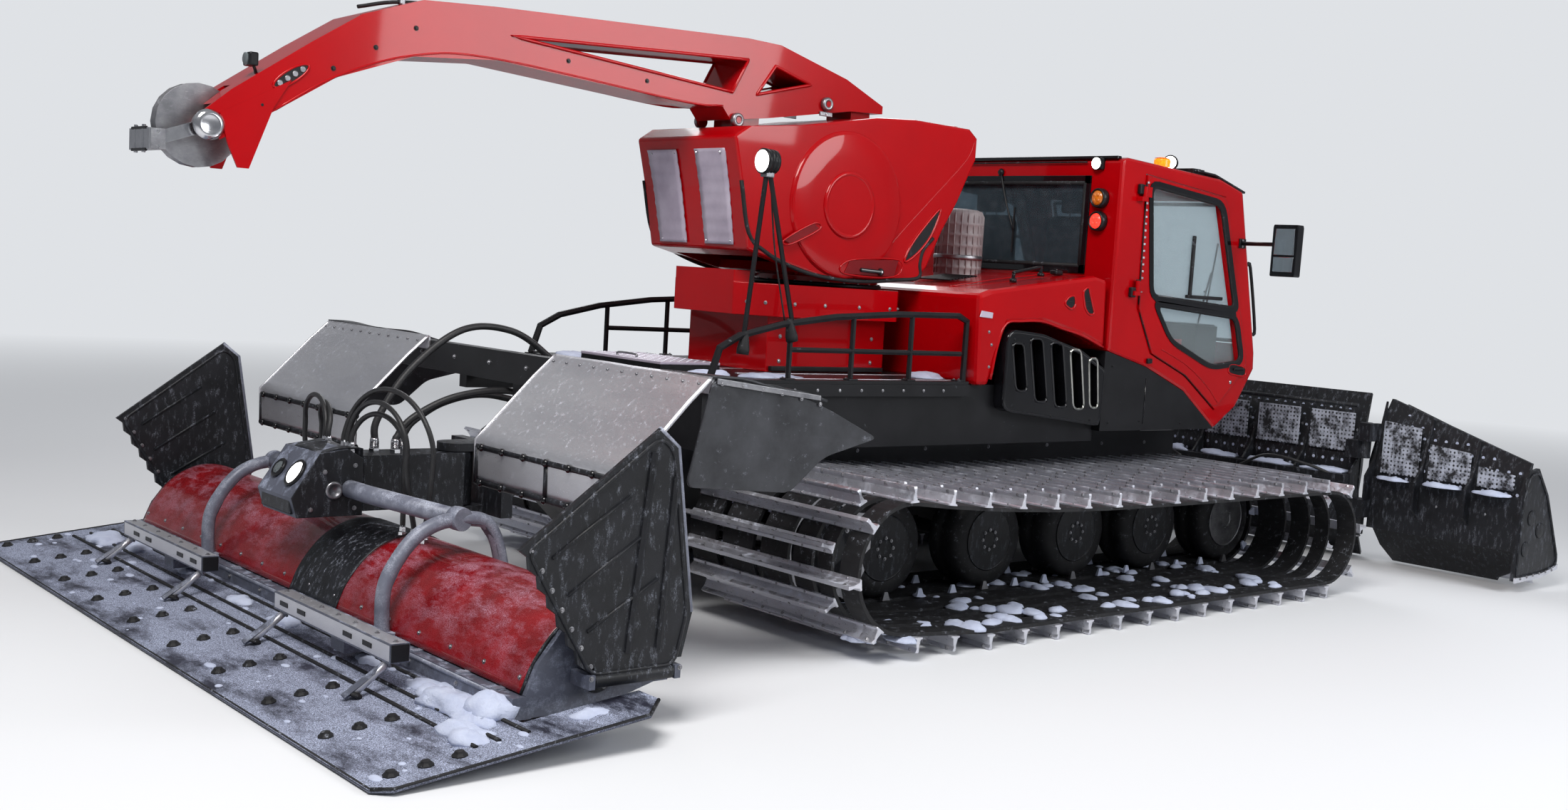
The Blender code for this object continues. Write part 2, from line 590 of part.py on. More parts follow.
# Small shapes' fineness
ROUND_STEPS = 16
FINE_STEPS = 20
RED = (0.62, 0.012, 0.02)
BLACK = (0.018, 0.019, 0.021)
GREY = (0.33, 0.34, 0.36)
SILVER = (0.60, 0.61, 0.63)
RUBBER = (0.022, 0.022, 0.024)
STEEL = (0.42, 0.43, 0.45)
GLASS = (0.10, 0.13, 0.15)
AMBER = (0.95, 0.38, 0.03)
ENGINE = (0.12, 0.12, 0.13)


def clear_scene():
    for item in list(bpy.data.objects):
        bpy.data.objects.remove(item, do_unlink=True)


def new_collection(name):
    group = bpy.data.collections.new(name)
    bpy.context.scene.collection.children.link(group)
    return group


clear_scene()
PARTS = new_collection("snowcat_groomer")
WORKSHOP = new_collection("workshop")


def workpiece(mesh):
    item = bpy.data.objects.new("workpiece", mesh)
    WORKSHOP.objects.link(item)
    return item


def discard(item):
    data = item.data
    bpy.data.objects.remove(item, do_unlink=True)
    if isinstance(data, bpy.types.Mesh):
        bpy.data.meshes.remove(data)
    else:
        bpy.data.curves.remove(data)


def weld(mesh):
    shape = bmesh.new()
    shape.from_mesh(mesh)
    bmesh.ops.remove_doubles(shape, verts=shape.verts, dist=WELD_LIMIT)
    bmesh.ops.dissolve_degenerate(shape, edges=shape.edges, dist=WELD_LIMIT)
    bmesh.ops.recalc_face_normals(shape, faces=shape.faces)
    if shape.calc_volume(signed=True) < 0:
        bmesh.ops.reverse_faces(shape, faces=shape.faces)
    shape.to_mesh(mesh)
    shape.free()
    return mesh


def settle(item):
    """Turns a curve, or a mesh with modifiers, into a plain welded mesh."""
    bpy.context.view_layer.update()
    graph = bpy.context.evaluated_depsgraph_get()
    mesh = bpy.data.meshes.new_from_object(item.evaluated_get(graph))
    mesh.transform(item.matrix_world)
    discard(item)
    return workpiece(weld(mesh))


def box(low, high):
    shape = bmesh.new()
    bmesh.ops.create_cube(shape, size=1)
    middle = [(a + b) / 2 for a, b in zip(low, high)]
    span = [b - a for a, b in zip(low, high)]
    place = Matrix.Translation(middle) @ Matrix.Diagonal((*span, 1))
    bmesh.ops.transform(shape, matrix=place, verts=shape.verts)
    mesh = bpy.data.meshes.new("box")
    shape.to_mesh(mesh)
    shape.free()
    return workpiece(mesh)


def rod(start, end, radius, steps=ROUND_STEPS, end_radius=None):
    """A round bar, or a cone, between two points, with a corner of its section downwards."""
    start, end = Vector(start), Vector(end)
    along = end - start
    shape = bmesh.new()
    bmesh.ops.create_cone(
        shape, cap_ends=True, segments=steps, radius1=radius,
        radius2=radius if end_radius is None else end_radius, depth=along.length,
    )
    turn = along.to_track_quat("Z", "Y").to_matrix().to_4x4()
    place = Matrix.Translation((start + end) / 2) @ turn
    bmesh.ops.transform(shape, matrix=place, verts=shape.verts)
    mesh = bpy.data.meshes.new("rod")
    shape.to_mesh(mesh)
    shape.free()
    return workpiece(mesh)


def bore(start, end, radius, steps=ROUND_STEPS):
    """A cutter for a pin of this radius, wide enough for the pin's corners to pass its flats."""
    return rod(start, end, (radius + PIN_GAP) / math.cos(math.pi / steps), steps)


def flat(outlines, thickness):
    """Closed outlines in a plane, holes included, as a sheet of the given thickness."""
    curve = bpy.data.curves.new("outline", "CURVE")
    curve.dimensions = "2D"
    curve.fill_mode = "BOTH"
    curve.extrude = thickness / 2
    for points in outlines:
        spline = curve.splines.new("POLY")
        spline.points.add(len(points) - 1)
        for point, (a, b) in zip(spline.points, points):
            point.co = (a, b, 0, 1)
        spline.use_cyclic_u = True
    return workpiece(curve)


def sheet_y(outlines, low, high):
    """Outlines given in X and Z, from low to high along Y."""
    item = flat(outlines, high - low)
    item.matrix_world = Matrix.Translation((0, (low + high) / 2, 0)) @ Matrix.Rotation(math.pi / 2, 4, "X")
    return settle(item)


def sheet_z(outlines, low, high):
    """Outlines given in X and Y, from low to high along Z."""
    item = flat(outlines, high - low)
    item.matrix_world = Matrix.Translation((0, 0, (low + high) / 2))
    return settle(item)


def tube(points, radius, smooth=1):
    curve = bpy.data.curves.new("tube", "CURVE")
    curve.dimensions = "3D"
    curve.bevel_depth = radius
    curve.bevel_resolution = smooth
    curve.use_fill_caps = True
    spline = curve.splines.new("POLY")
    spline.points.add(len(points) - 1)
    for point, place in zip(spline.points, points):
        point.co = (*place, 1)
    return settle(workpiece(curve))


def turned_y(profile, centre, steps):
    """A profile of (radius, distance along Y) turned about a line along Y through the centre."""
    mesh = bpy.data.meshes.new("profile")
    points = [(radius, along, 0) for radius, along in profile]
    mesh.from_pydata(points, [(n, n + 1) for n in range(len(points) - 1)], [])
    item = workpiece(mesh)
    screw = item.modifiers.new("turn", "SCREW")
    screw.axis = "Y"
    screw.steps = steps
    screw.render_steps = steps
    screw.use_merge_vertices = True
    screw.merge_threshold = WELD_LIMIT
    screw.use_normal_calculate = True
    item.matrix_world = Matrix.Translation(centre)
    return settle(item)


def combine(base, others, operation):
    if not others:
        return base
    group = bpy.data.collections.new("operands")
    for other in others:
        group.objects.link(other)
    change = base.modifiers.new(operation, "BOOLEAN")
    change.operation = operation
    change.solver = "EXACT"
    change.operand_type = "COLLECTION"
    change.collection = group
    result = settle(base)
    for other in others:
        discard(other)
    bpy.data.collections.remove(group)
    return result


def joined(pieces):
    return combine(pieces[0], pieces[1:], "UNION")


def cut(base, cutters):
    return combine(base, cutters, "DIFFERENCE")


def rounded(item, width, steps, angle_deg):
    bevel = item.modifiers.new("round", "BEVEL")
    bevel.width = width
    bevel.segments = steps
    bevel.limit_method = "ANGLE"
    bevel.angle_limit = math.radians(angle_deg)
    return settle(item)


def mirrored(item):
    """A copy on the other side of the middle plane."""
    mesh = item.data.copy()
    mesh.transform(Matrix.Scale(-1, 4, (0, 1, 0)))
    return workpiece(weld(mesh))


def material(name, colour, roughness, metallic):
    made = bpy.data.materials.get(name)
    if made is None:
        made = bpy.data.materials.new(name)
        made.use_nodes = True
        shader = made.node_tree.nodes["Principled BSDF"]
        shader.inputs["Base Color"].default_value = (*colour, 1)
        shader.inputs["Roughness"].default_value = roughness
        shader.inputs["Metallic"].default_value = metallic
    return made


LOOKS = {
    "red_paint": (RED, 0.32, 0.0),
    "black_paint": (BLACK, 0.45, 0.0),
    "grey_paint": (GREY, 0.40, 0.1),
    "bare_sheet": (SILVER, 0.38, 0.9),
    "track_alloy": (SILVER, 0.42, 0.9),
    "rubber": (RUBBER, 0.85, 0.0),
    "steel": (STEEL, 0.45, 0.8),
    "glass": (GLASS, 0.08, 0.0),
    "amber_lens": (AMBER, 0.25, 0.0),
    "engine_grey": (ENGINE, 0.6, 0.2),
}


def part(name, item, look, pivot=None, smooth_deg=32):
    """Names a finished solid, gives it its look, and puts its origin on its pivot."""
    mesh = item.data
    pivot = Vector(pivot) if pivot else Vector((0, 0, 0))
    mesh.transform(Matrix.Translation(-pivot))
    mesh.polygons.foreach_set("use_smooth", [True] * len(mesh.polygons))
    mesh.set_sharp_from_angle(angle=math.radians(smooth_deg))
    item.location = pivot - Vector((MID_X, 0, 0))
    item.name = name
    mesh.name = name
    own = material(name + "_look", *LOOKS[look])
    mesh.materials.clear()
    mesh.materials.append(own)
    WORKSHOP.objects.unlink(item)
    PARTS.objects.link(item)
    return item


def spread(shares, start, span):
    """Points from shares of two spans, counted from a starting corner."""
    return [(start[0] + a * span[0], start[1] + b * span[1]) for a, b in shares]


def height_at(line, place):
    """The height of an open line, whose points go forward, at a place along it."""
    for (a, low), (b, high) in zip(line, line[1:]):
        if a <= place <= b and b > a:
            return low + (high - low) * (place - a) / (b - a)
    return line[-1][1]


def widened(points, distance):
    """The outline moved outwards by a distance, or inwards by a negative one."""
    area = sum(a[0] * b[1] - b[0] * a[1] for a, b in zip(points, points[1:] + points[:1]))
    side = distance if area > 0 else -distance
    moved = []
    for before, here, after in zip(points[-1:] + points[:-1], points, points[1:] + points[:1]):
        first = Vector(here) - Vector(before)
        second = Vector(after) - Vector(here)
        first.normalize()
        second.normalize()
        out_a = Vector((first.y, -first.x))
        out_b = Vector((second.y, -second.x))
        middle = out_a + out_b
        middle.normalize()
        reach = side / max(middle.dot(out_a), MITRE_LIMIT_SHARE)
        moved.append((here[0] + middle.x * reach, here[1] + middle.y * reach))
    return moved


def both_ways(points, distance):
    """A closed strip: an open line of points, thickened to one side by a distance."""
    away = []
    for n, here in enumerate(points):
        before = points[max(n - 1, 0)]
        after = points[min(n + 1, len(points) - 1)]
        along = Vector(after) - Vector(before)
        along.normalize()
        away.append((here[0] + along.y * distance, here[1] - along.x * distance))
    return list(points) + away[::-1]


def sheet_x(outlines, low, high):
    """Outlines given in Y and Z, from low to high along X."""
    item = flat(outlines, high - low)
    turn = Matrix(((0, 0, 1, 0), (1, 0, 0, 0), (0, 1, 0, 0), (0, 0, 0, 1)))
    item.matrix_world = Matrix.Translation(((low + high) / 2, 0, 0)) @ turn
    return settle(item)


def side(y, low, high):
    """The span from low to high out from the middle, on the side that y names."""
    return (low, high) if y > 0 else (-high, -low)


# Tracks and their wheels


def outer_tangent(centre_a, radius_a, centre_b, radius_b):
    """Angle of the normal of the line that touches both circles from below."""
    away = Vector(centre_b) - Vector(centre_a)
    base = math.atan2(away.y, away.x)
    return base + math.acos((radius_a - radius_b) / away.length)


def arc(centre, radius, start, end, steps):
    turns = [start + (end - start) * n / steps for n in range(steps + 1)]
    return [(centre[0] + radius * math.cos(t), centre[1] + radius * math.sin(t)) for t in turns]


def belt_path():
    """The belt's inner face from the side, anticlockwise from under the first road wheel."""
    slack = math.cos(math.pi / ARC_STEPS / 2)
    idler = (WHEEL_RADIUS + TOUCH_GAP) / slack
    sprocket = (SPROCKET_RADIUS + TOUCH_GAP) / slack
    first = (ROAD_WHEEL_X[0], WHEEL_Z)
    rear = (SPROCKET_X, SPROCKET_Z)
    low = outer_tangent(first, WHEEL_RADIUS + TOUCH_GAP, rear, sprocket)
    ground_z = WHEEL_Z - WHEEL_RADIUS - TOUCH_GAP
    points = [(ROAD_WHEEL_X[0], ground_z)]
    front = arc((IDLER_X, WHEEL_Z), idler, -math.pi / 2, math.pi / 2, ARC_STEPS)
    points.append((IDLER_X, ground_z))
    points += front[1:]
    top = SPROCKET_Z + sprocket
    drop = top - (WHEEL_Z + idler)
    run = IDLER_X - SPROCKET_X
    for way, fall in reversed(TOP_RUN_SHARES):
        points.append((SPROCKET_X + way * run, top - fall * drop))
    points += arc(rear, sprocket, math.pi / 2, low, ARC_STEPS)
    points += arc(first, WHEEL_RADIUS + TOUCH_GAP, low, low, 1)[:1]
    return points


def walk(points):
    """Each corner's way along the closed line, and its outward normal."""
    count = len(points)
    ways, normals, length = [], [], 0
    for n in range(count):
        here, after, before = Vector(points[n]), Vector(points[(n + 1) % count]), Vector(points[n - 1])
        along = (after - here).normalized() + (here - before).normalized()
        along.normalize()
        ways.append(length)
        normals.append(Vector((along.y, -along.x)))
        length += (after - here).length
    return ways, normals, length


def beside(points, ways, normals, length, way, distance):
    """The point this far along the line and this far out from it."""
    way %= length
    n = max(k for k, start in enumerate(ways) if start <= way)
    after = (n + 1) % len(points)
    end = length if after == 0 else ways[after]
    share = (way - ways[n]) / max(end - ways[n], WELD_LIMIT)
    here = Vector(points[n]).lerp(Vector(points[after]), share)
    out = normals[n].lerp(normals[after], share).normalized()
    return tuple(here + out * distance)


def track():
    """One closed belt ring with all its bars, on the left."""
    inner = belt_path()
    ways, normals, length = walk(inner)
    pitch = length / LONG_BARS
    foot, crest = BAR_FOOT / 2, BAR_CREST / 2
    high = BELT_THICKNESS + BAR_HEIGHT
    outer, short = [], []
    for n in range(LONG_BARS):
        way = n * pitch
        for step, out in ((-foot, BELT_THICKNESS), (-crest, high), (crest, high), (foot, BELT_THICKNESS)):
            outer.append(beside(inner, ways, normals, length, way + step, out))
        between = way + pitch / 2
        outer.append(beside(inner, ways, normals, length, between, BELT_THICKNESS))
        root = BELT_THICKNESS - WELD_DEPTH
        bar = [
            beside(inner, ways, normals, length, between + step, out)
            for step, out in ((-foot, root), (-crest, high), (crest, high), (foot, root))
        ]
        short.append(bar)
    ring = sheet_y([outer, inner], TRACK_INNER_Y, TRACK_OUTER_Y)
    bars = sheet_y(short, TRACK_INNER_Y + WELD_DEPTH, SHORT_BAR_Y)
    return joined([ring, bars])


def wheel(x, z):
    middle = (WHEEL_INNER_Y + WHEEL_OUTER_Y) / 2
    half = (WHEEL_OUTER_Y - WHEEL_INNER_Y) / 2
    outside = [(WHEEL_RADIUS * r, half * a) for r, a in TYRE_SHARES]
    rim, tread = outside[-2], outside[-1]
    profile = [(0, outside[0][1])] + outside + [(tread[0], -tread[1]), (rim[0], -rim[1]), (0, -rim[1])]
    return turned_y(profile, (x, middle, z), WHEEL_STEPS)


def wheel_axle(x, z):
    left = wheel(x, z)
    right = mirrored(left)
    shaft = rod((x, -WHEEL_OUTER_Y + HINGE_SEAT, z), (x, WHEEL_OUTER_Y - HINGE_SEAT, z), AXLE_RADIUS)
    return joined([shaft, left, right])


def sprocket():
    points = []
    tooth = 2 * math.pi / SPROCKET_TEETH
    root = SPROCKET_RADIUS - SPROCKET_TOOTH
    for n in range(SPROCKET_TEETH):
        for share, out in TOOTH_SHARES:
            radius = root + out * SPROCKET_TOOTH
            angle = (n + share) * tooth
            points.append((SPROCKET_X + radius * math.cos(angle), SPROCKET_Z + radius * math.sin(angle)))
    return sheet_y([points], SPROCKET_Y - SPROCKET_WIDTH / 2, SPROCKET_Y + SPROCKET_WIDTH / 2)


def running_gear():
    left = track()
    right = mirrored(left)
    part("track_left", left, "track_alloy")
    part("track_right", right, "track_alloy")
    for n, x in enumerate(ROAD_WHEEL_X):
        part("road_axle_%d" % (n + 1), wheel_axle(x, WHEEL_Z), "rubber")
    part("idler_axle", wheel_axle(IDLER_X, WHEEL_Z), "rubber")
    reach = SPROCKET_Y + SPROCKET_WIDTH / 2 + HINGE_SEAT
    shaft = rod((SPROCKET_X, -reach, SPROCKET_Z), (SPROCKET_X, reach, SPROCKET_Z), DRIVE_SHAFT_RADIUS)
    teeth = sprocket()
    part("drive_axle", joined([shaft, teeth, mirrored(teeth)]), "steel")


# Chassis


def slot(x, z, radius):
    half = radius + TOUCH_GAP
    wide = TUB_HALF_WIDTH + CUT_OVERRUN
    return box((x - half, -wide, TUB_LOW_Z - CUT_OVERRUN), (x + half, wide, z + half))


def lugs(x_low, x_high, z_low, z_high, arm_y, arm_width):
    """Two lugs either side of each of the two arms."""
    pieces = []
    for y in (arm_y, -arm_y):
        for edge in (-1, 1):
            near = y + edge * (arm_width / 2 + RUN_CLEARANCE / 2)
            far = near + edge * LUG_WIDTH
            pieces.append(box((x_low, min(near, far), z_low), (x_high, max(near, far), z_high)))
    return pieces


def chassis():
    tub = sheet_y([[
        (TUB_REAR_X, BODY_LOW_Z + WELD_DEPTH), (TUB_REAR_X, TUB_LOW_Z + TUB_RAMP), (
            TUB_REAR_X + TUB_RAMP, TUB_LOW_Z,
        ),
        (TUB_FRONT_X - TUB_RAMP, TUB_LOW_Z), (TUB_FRONT_X, TUB_LOW_Z + TUB_RAMP),
        (TUB_FRONT_X, BODY_LOW_Z + WELD_DEPTH),
    ]], -TUB_HALF_WIDTH, TUB_HALF_WIDTH)
    body = box(
        (BODY_REAR_X, -BODY_HALF_WIDTH, BODY_LOW_Z), (BODY_FRONT_X, BODY_HALF_WIDTH, BODY_TOP_Z),
    )
    skirt = spread(SKIRT_SIDE_SHARES, (CAB_REAR_X, CAB_LOW_Z), (CAB_LENGTH, CAB_HEIGHT))
    back = BODY_FRONT_X - WELD_DEPTH
    under = [(x, z - TOUCH_GAP) for x, z in skirt]
    under += [(back, skirt[-1][1] - TOUCH_GAP), (back, skirt[0][1] - TOUCH_GAP)]
    nose = sheet_y([under], -CAB_HALF_WIDTH, CAB_HALF_WIDTH)
    floor = box(
        (BODY_FRONT_X - WELD_DEPTH, -TUB_HALF_WIDTH, BODY_LOW_Z - WELD_DEPTH),
        (skirt[-2][0] - TUB_RAMP, TUB_HALF_WIDTH, FLOOR_TOP_Z + WELD_DEPTH),
    )
    pieces = [tub, body, nose, floor]
    beam_low = BODY_TOP_Z - SIDE_BEAM_DEPTH
    for y in (1, -1):
        a, b = side(y, BODY_HALF_WIDTH - WELD_DEPTH, BODY_HALF_WIDTH + SIDE_BEAM_WIDTH)
        pieces.append(box((BODY_REAR_X, a, beam_low), (DECK_FRONT_X, b, BODY_TOP_Z)))
    cross_x = GUARD_TOP_X + GUARD_THICKNESS + TOUCH_GAP
    cross_low = BODY_TOP_Z - SIDE_BEAM_DEPTH
    pieces.append(box(
        (cross_x, -GUARD_BEAM_Y, cross_low),
        (cross_x + GUARD_BEAM_SIZE, GUARD_BEAM_Y, GUARD_TOP_Z - HINGE_SEAT),
    ))
    for y in (GUARD_ARM_Y, -GUARD_ARM_Y):
        wide = GUARD_BEAM_SIZE / 2
        pieces.append(box(
            (cross_x + WELD_DEPTH, y - wide, cross_low - SIDE_BEAM_DEPTH), (
                BODY_REAR_X + WELD_DEPTH, y + wide, BODY_TOP_Z,
            ),
        ))
    rear_lugs = lugs(
        TILLER_PIVOT_X - TILLER_EYE_RADIUS, BODY_REAR_X + WELD_DEPTH, TILLER_PIVOT_Z - TILLER_EYE_RADIUS,
        TILLER_PIVOT_Z + TILLER_EYE_RADIUS, TILLER_ARM_Y, TILLER_ARM_WIDTH,
    )
    front_lugs = lugs(
        TUB_FRONT_X - TUB_RAMP, PUSH_PIVOT_X + PUSH_EYE_RADIUS, PUSH_PIVOT_Z - PUSH_EYE_RADIUS,
        PUSH_PIVOT_Z + PUSH_EYE_RADIUS, PUSH_ARM_Y, PUSH_ARM_WIDTH,
    )
    pieces += rear_lugs + front_lugs
    for x, z, radius, arm_y, width in (
        (TILLER_PIVOT_X, TILLER_PIVOT_Z, TILLER_PIN_RADIUS, TILLER_ARM_Y, TILLER_ARM_WIDTH),
        (PUSH_PIVOT_X, PUSH_PIVOT_Z, PUSH_PIN_RADIUS, PUSH_ARM_Y, PUSH_ARM_WIDTH),
    ):
        reach = arm_y + width / 2 + LUG_WIDTH + RUN_CLEARANCE
        pieces.append(rod((x, -reach, z), (x, reach, z), radius, FINE_STEPS))
    frame = joined(pieces)
    bay = box(
        (ENGINE_BAY_REAR_X, -ENGINE_BAY_HALF_WIDTH, ENGINE_BAY_FLOOR_Z),
        (ENGINE_BAY_FRONT_X, ENGINE_BAY_HALF_WIDTH, BODY_TOP_Z + CUT_OVERRUN),
    )
    cutters = [bay, slot(SPROCKET_X, SPROCKET_Z, DRIVE_SHAFT_RADIUS), slot(IDLER_X, WHEEL_Z, AXLE_RADIUS)]
    cutters += [slot(x, WHEEL_Z, AXLE_RADIUS) for x in ROAD_WHEEL_X]
    part("chassis_frame", cut(frame, cutters), "black_paint")
    block = box(
        (
            ENGINE_BAY_REAR_X + ENGINE_MARGIN, -ENGINE_BAY_HALF_WIDTH + ENGINE_MARGIN,
            ENGINE_BAY_FLOOR_Z + TOUCH_GAP,
        ),
        (ENGINE_BAY_FRONT_X - ENGINE_MARGIN, ENGINE_BAY_HALF_WIDTH - ENGINE_MARGIN, ENGINE_TOP_Z),
    )
    part("engine_block", block, "engine_grey")
    deck_low = BODY_TOP_Z + TOUCH_GAP
    deck = box(
        (BODY_REAR_X, -DECK_HALF_WIDTH, deck_low),
        (DECK_FRONT_X, DECK_HALF_WIDTH, deck_low + DECK_THICKNESS),
    )
    hatch = box(
        (HATCH_REAR_X, -HATCH_HALF_WIDTH, deck_low + DECK_THICKNESS / 2),
        (HATCH_FRONT_X, HATCH_HALF_WIDTH, deck_low + DECK_THICKNESS + HATCH_THICKNESS),
    )
    part("deck_and_rails", joined([deck, hatch] + rails()), "black_paint")


def rails():
    """Bent tube side rails that stand on the deck."""
    low = BODY_TOP_Z + DECK_THICKNESS
    span = RAIL_TOP_Z - low
    pieces = []

    def at(y, share, height):
        return (RAIL_REAR_X + share * RAIL_LENGTH, y, low + height * span)

    for y in (RAIL_Y, -RAIL_Y):
        pieces.append(tube([at(y, a, b) for a, b in RAIL_TOP_SHARES], RAIL_RADIUS))
        pieces.append(tube([at(y, a, b) for a, b in RAIL_MID_SHARES], RAIL_RADIUS - WELD_DEPTH))
        for share in RAIL_POST_SHARES:
            top = height_at(RAIL_TOP_SHARES, share)
            pieces.append(tube([at(y, share, 0), at(y, share, top)], RAIL_RADIUS - WELD_DEPTH))
    return pieces + lamp_mast()


def lamp_mast():
    """A work lamp on two legs that stand on the right rail."""
    low = BODY_TOP_Z + DECK_THICKNESS
    top = (MAST_TOP_X, -RAIL_Y, MAST_TOP_Z)
    pieces = []
    for x in MAST_FOOT_X:
        share = (x - RAIL_REAR_X) / RAIL_LENGTH
        rail_z = low + (RAIL_TOP_Z - low) * height_at(RAIL_TOP_SHARES, share)
        pieces.append(tube([(x, -RAIL_Y, rail_z), top], MAST_RADIUS))
    ends = [(MAST_TOP_X + MAST_LAMP_DEPTH * way, -RAIL_Y, MAST_TOP_Z) for way in (-1, 1)]
    pieces.append(rod(ends[0], ends[1], MAST_LAMP_RADIUS))
    return pieces


def rear_guards():
    for name, y in (("left", 1), ("right", -1)):
        line = spread(GUARD_SHARES, (GUARD_TOP_X, GUARD_TOP_Z), (-GUARD_DEPTH, -GUARD_HEIGHT))
        a, b = side(y, GUARD_INNER_Y, GUARD_OUTER_Y)
        fold = sheet_y([both_ways(line, -GUARD_THICKNESS)], a, b)
        foot = GUARD_TOP_Z - GUARD_BEAM_SIZE
        flange = box(
            (GUARD_TOP_X, a, foot), (GUARD_TOP_X + GUARD_THICKNESS, b, GUARD_TOP_Z - GUARD_THICKNESS / 2),
        )
        pieces = [fold, flange]
        inset = GUARD_FRAME_RADIUS * 2
        frame = spread(GUARD_FRAME_SHARES, (GUARD_TOP_X, GUARD_TOP_Z), (-GUARD_DEPTH, -GUARD_HEIGHT))
        for x, z in frame:
            pieces.append(tube([(x, a + inset / 4, z), (x, b - inset / 4, z)], GUARD_FRAME_RADIUS))
        start = (GUARD_TOP_X, GUARD_TOP_Z)
        span = (FLAP_LENGTH, -FLAP_HEIGHT)
        rim = GUARD_OUTER_Y - WELD_DEPTH
        a, b = side(y, rim, rim + FLAP_THICKNESS)
        pieces.append(sheet_y([spread(FLAP_SIDE_SHARES, start, span)], a, b))
        top = both_ways(spread(FLAP_ROOF_SHARES, start, span), FLAP_THICKNESS)
        a, b = side(y, rim - FLAP_ROOF_WIDTH, rim + FLAP_THICKNESS / 2)
        pieces.append(sheet_y([top], a, b))
        part("rear_guard_" + name, joined(pieces), "bare_sheet")


# Hood, pods and cab


def hood():
    start = (HOOD_REAR_X, HOOD_LOW_Z + TOUCH_GAP)
    span = (HOOD_LENGTH, HOOD_HEIGHT)
    shell = rounded(
        sheet_y([spread(HOOD_SIDE_SHARES, start, span)], -HOOD_HALF_WIDTH, HOOD_HALF_WIDTH),
        HOOD_ROUND, 2, 60,
    )
    inside = HOOD_HALF_WIDTH - COLUMN_WIDTH
    hollow = sheet_y([spread(HOOD_HOLLOW_SHARES, start, span)], -inside, inside)
    part("engine_hood", cut(shell, [hollow]), "red_paint")
    intake = rod(
        (INTAKE_X, INTAKE_Y, INTAKE_LOW_Z), (INTAKE_X, INTAKE_Y, INTAKE_TOP_Z), INTAKE_RADIUS, FINE_STEPS,
    )
    above = [(x, z + TOUCH_GAP) for x, z in spread(HOOD_SIDE_SHARES, start, span)]
    part("air_intake", cut(intake, [sheet_y([above], -inside, inside)]), "grey_paint")
    start = (GRILLE_REAR_X, GRILLE_LOW_Z)
    span = (GRILLE_LENGTH, GRILLE_HEIGHT)
    outlines = [spread(GRILLE_SIDE_SHARES, start, span)]
    for foot, head, width, low, high in GRILLE_SLOT_SHARES:
        slot_shares = ((foot, low), (foot + width, low), (head + width, high), (head, high))
        outlines.append(spread(slot_shares, start, span))
    for name, y in (("left", 1), ("right", -1)):
        a, b = side(y, GRILLE_INNER_Y, GRILLE_OUTER_Y)
        part("side_grille_" + name, sheet_y(outlines, a, b), "black_paint")


def cab_points(shares):
    return spread(shares, (CAB_REAR_X, CAB_LOW_Z), (CAB_LENGTH, CAB_HEIGHT))


def roof_height(x):
    points = cab_points(CAB_SIDE_SHARES)
    spans = [
        (a, b) for a, b in zip(points, points[1:] + points[:1])
        if min(a[0], b[0]) <= x <= max(a[0], b[0]) and a[0] != b[0]
    ]
    return max(a[1] + (b[1] - a[1]) * (x - a[0]) / (b[0] - a[0]) for a, b in spans)


def hinge_brackets(y, reach):
    """Pins and their seats on the cab's side, for one door."""
    pieces = []
    out = y * (CAB_HALF_WIDTH + HINGE_OUT + DOOR_PROUD)
    for z in (HINGE_LOW_Z, HINGE_TOP_Z):
        low, high = z - HINGE_SEAT, z
        a, b = side(y, CAB_HALF_WIDTH - WELD_DEPTH, abs(out) + HINGE_BARREL_RADIUS)
        pieces.append(box((HINGE_X - HINGE_BARREL_RADIUS, a, low), (HINGE_X + HINGE_BARREL_RADIUS, b, high)))
        pieces.append(box(
            (HINGE_X - HINGE_BARREL_RADIUS - reach, a, low), (
                HINGE_X - HINGE_BARREL_RADIUS + WELD_DEPTH, b, high,
            ),
        ))
        pieces.append(
            rod((HINGE_X, out, low + WELD_DEPTH), (HINGE_X, out, z + HINGE_HEIGHT), HINGE_PIN_RADIUS)
        )
    return pieces


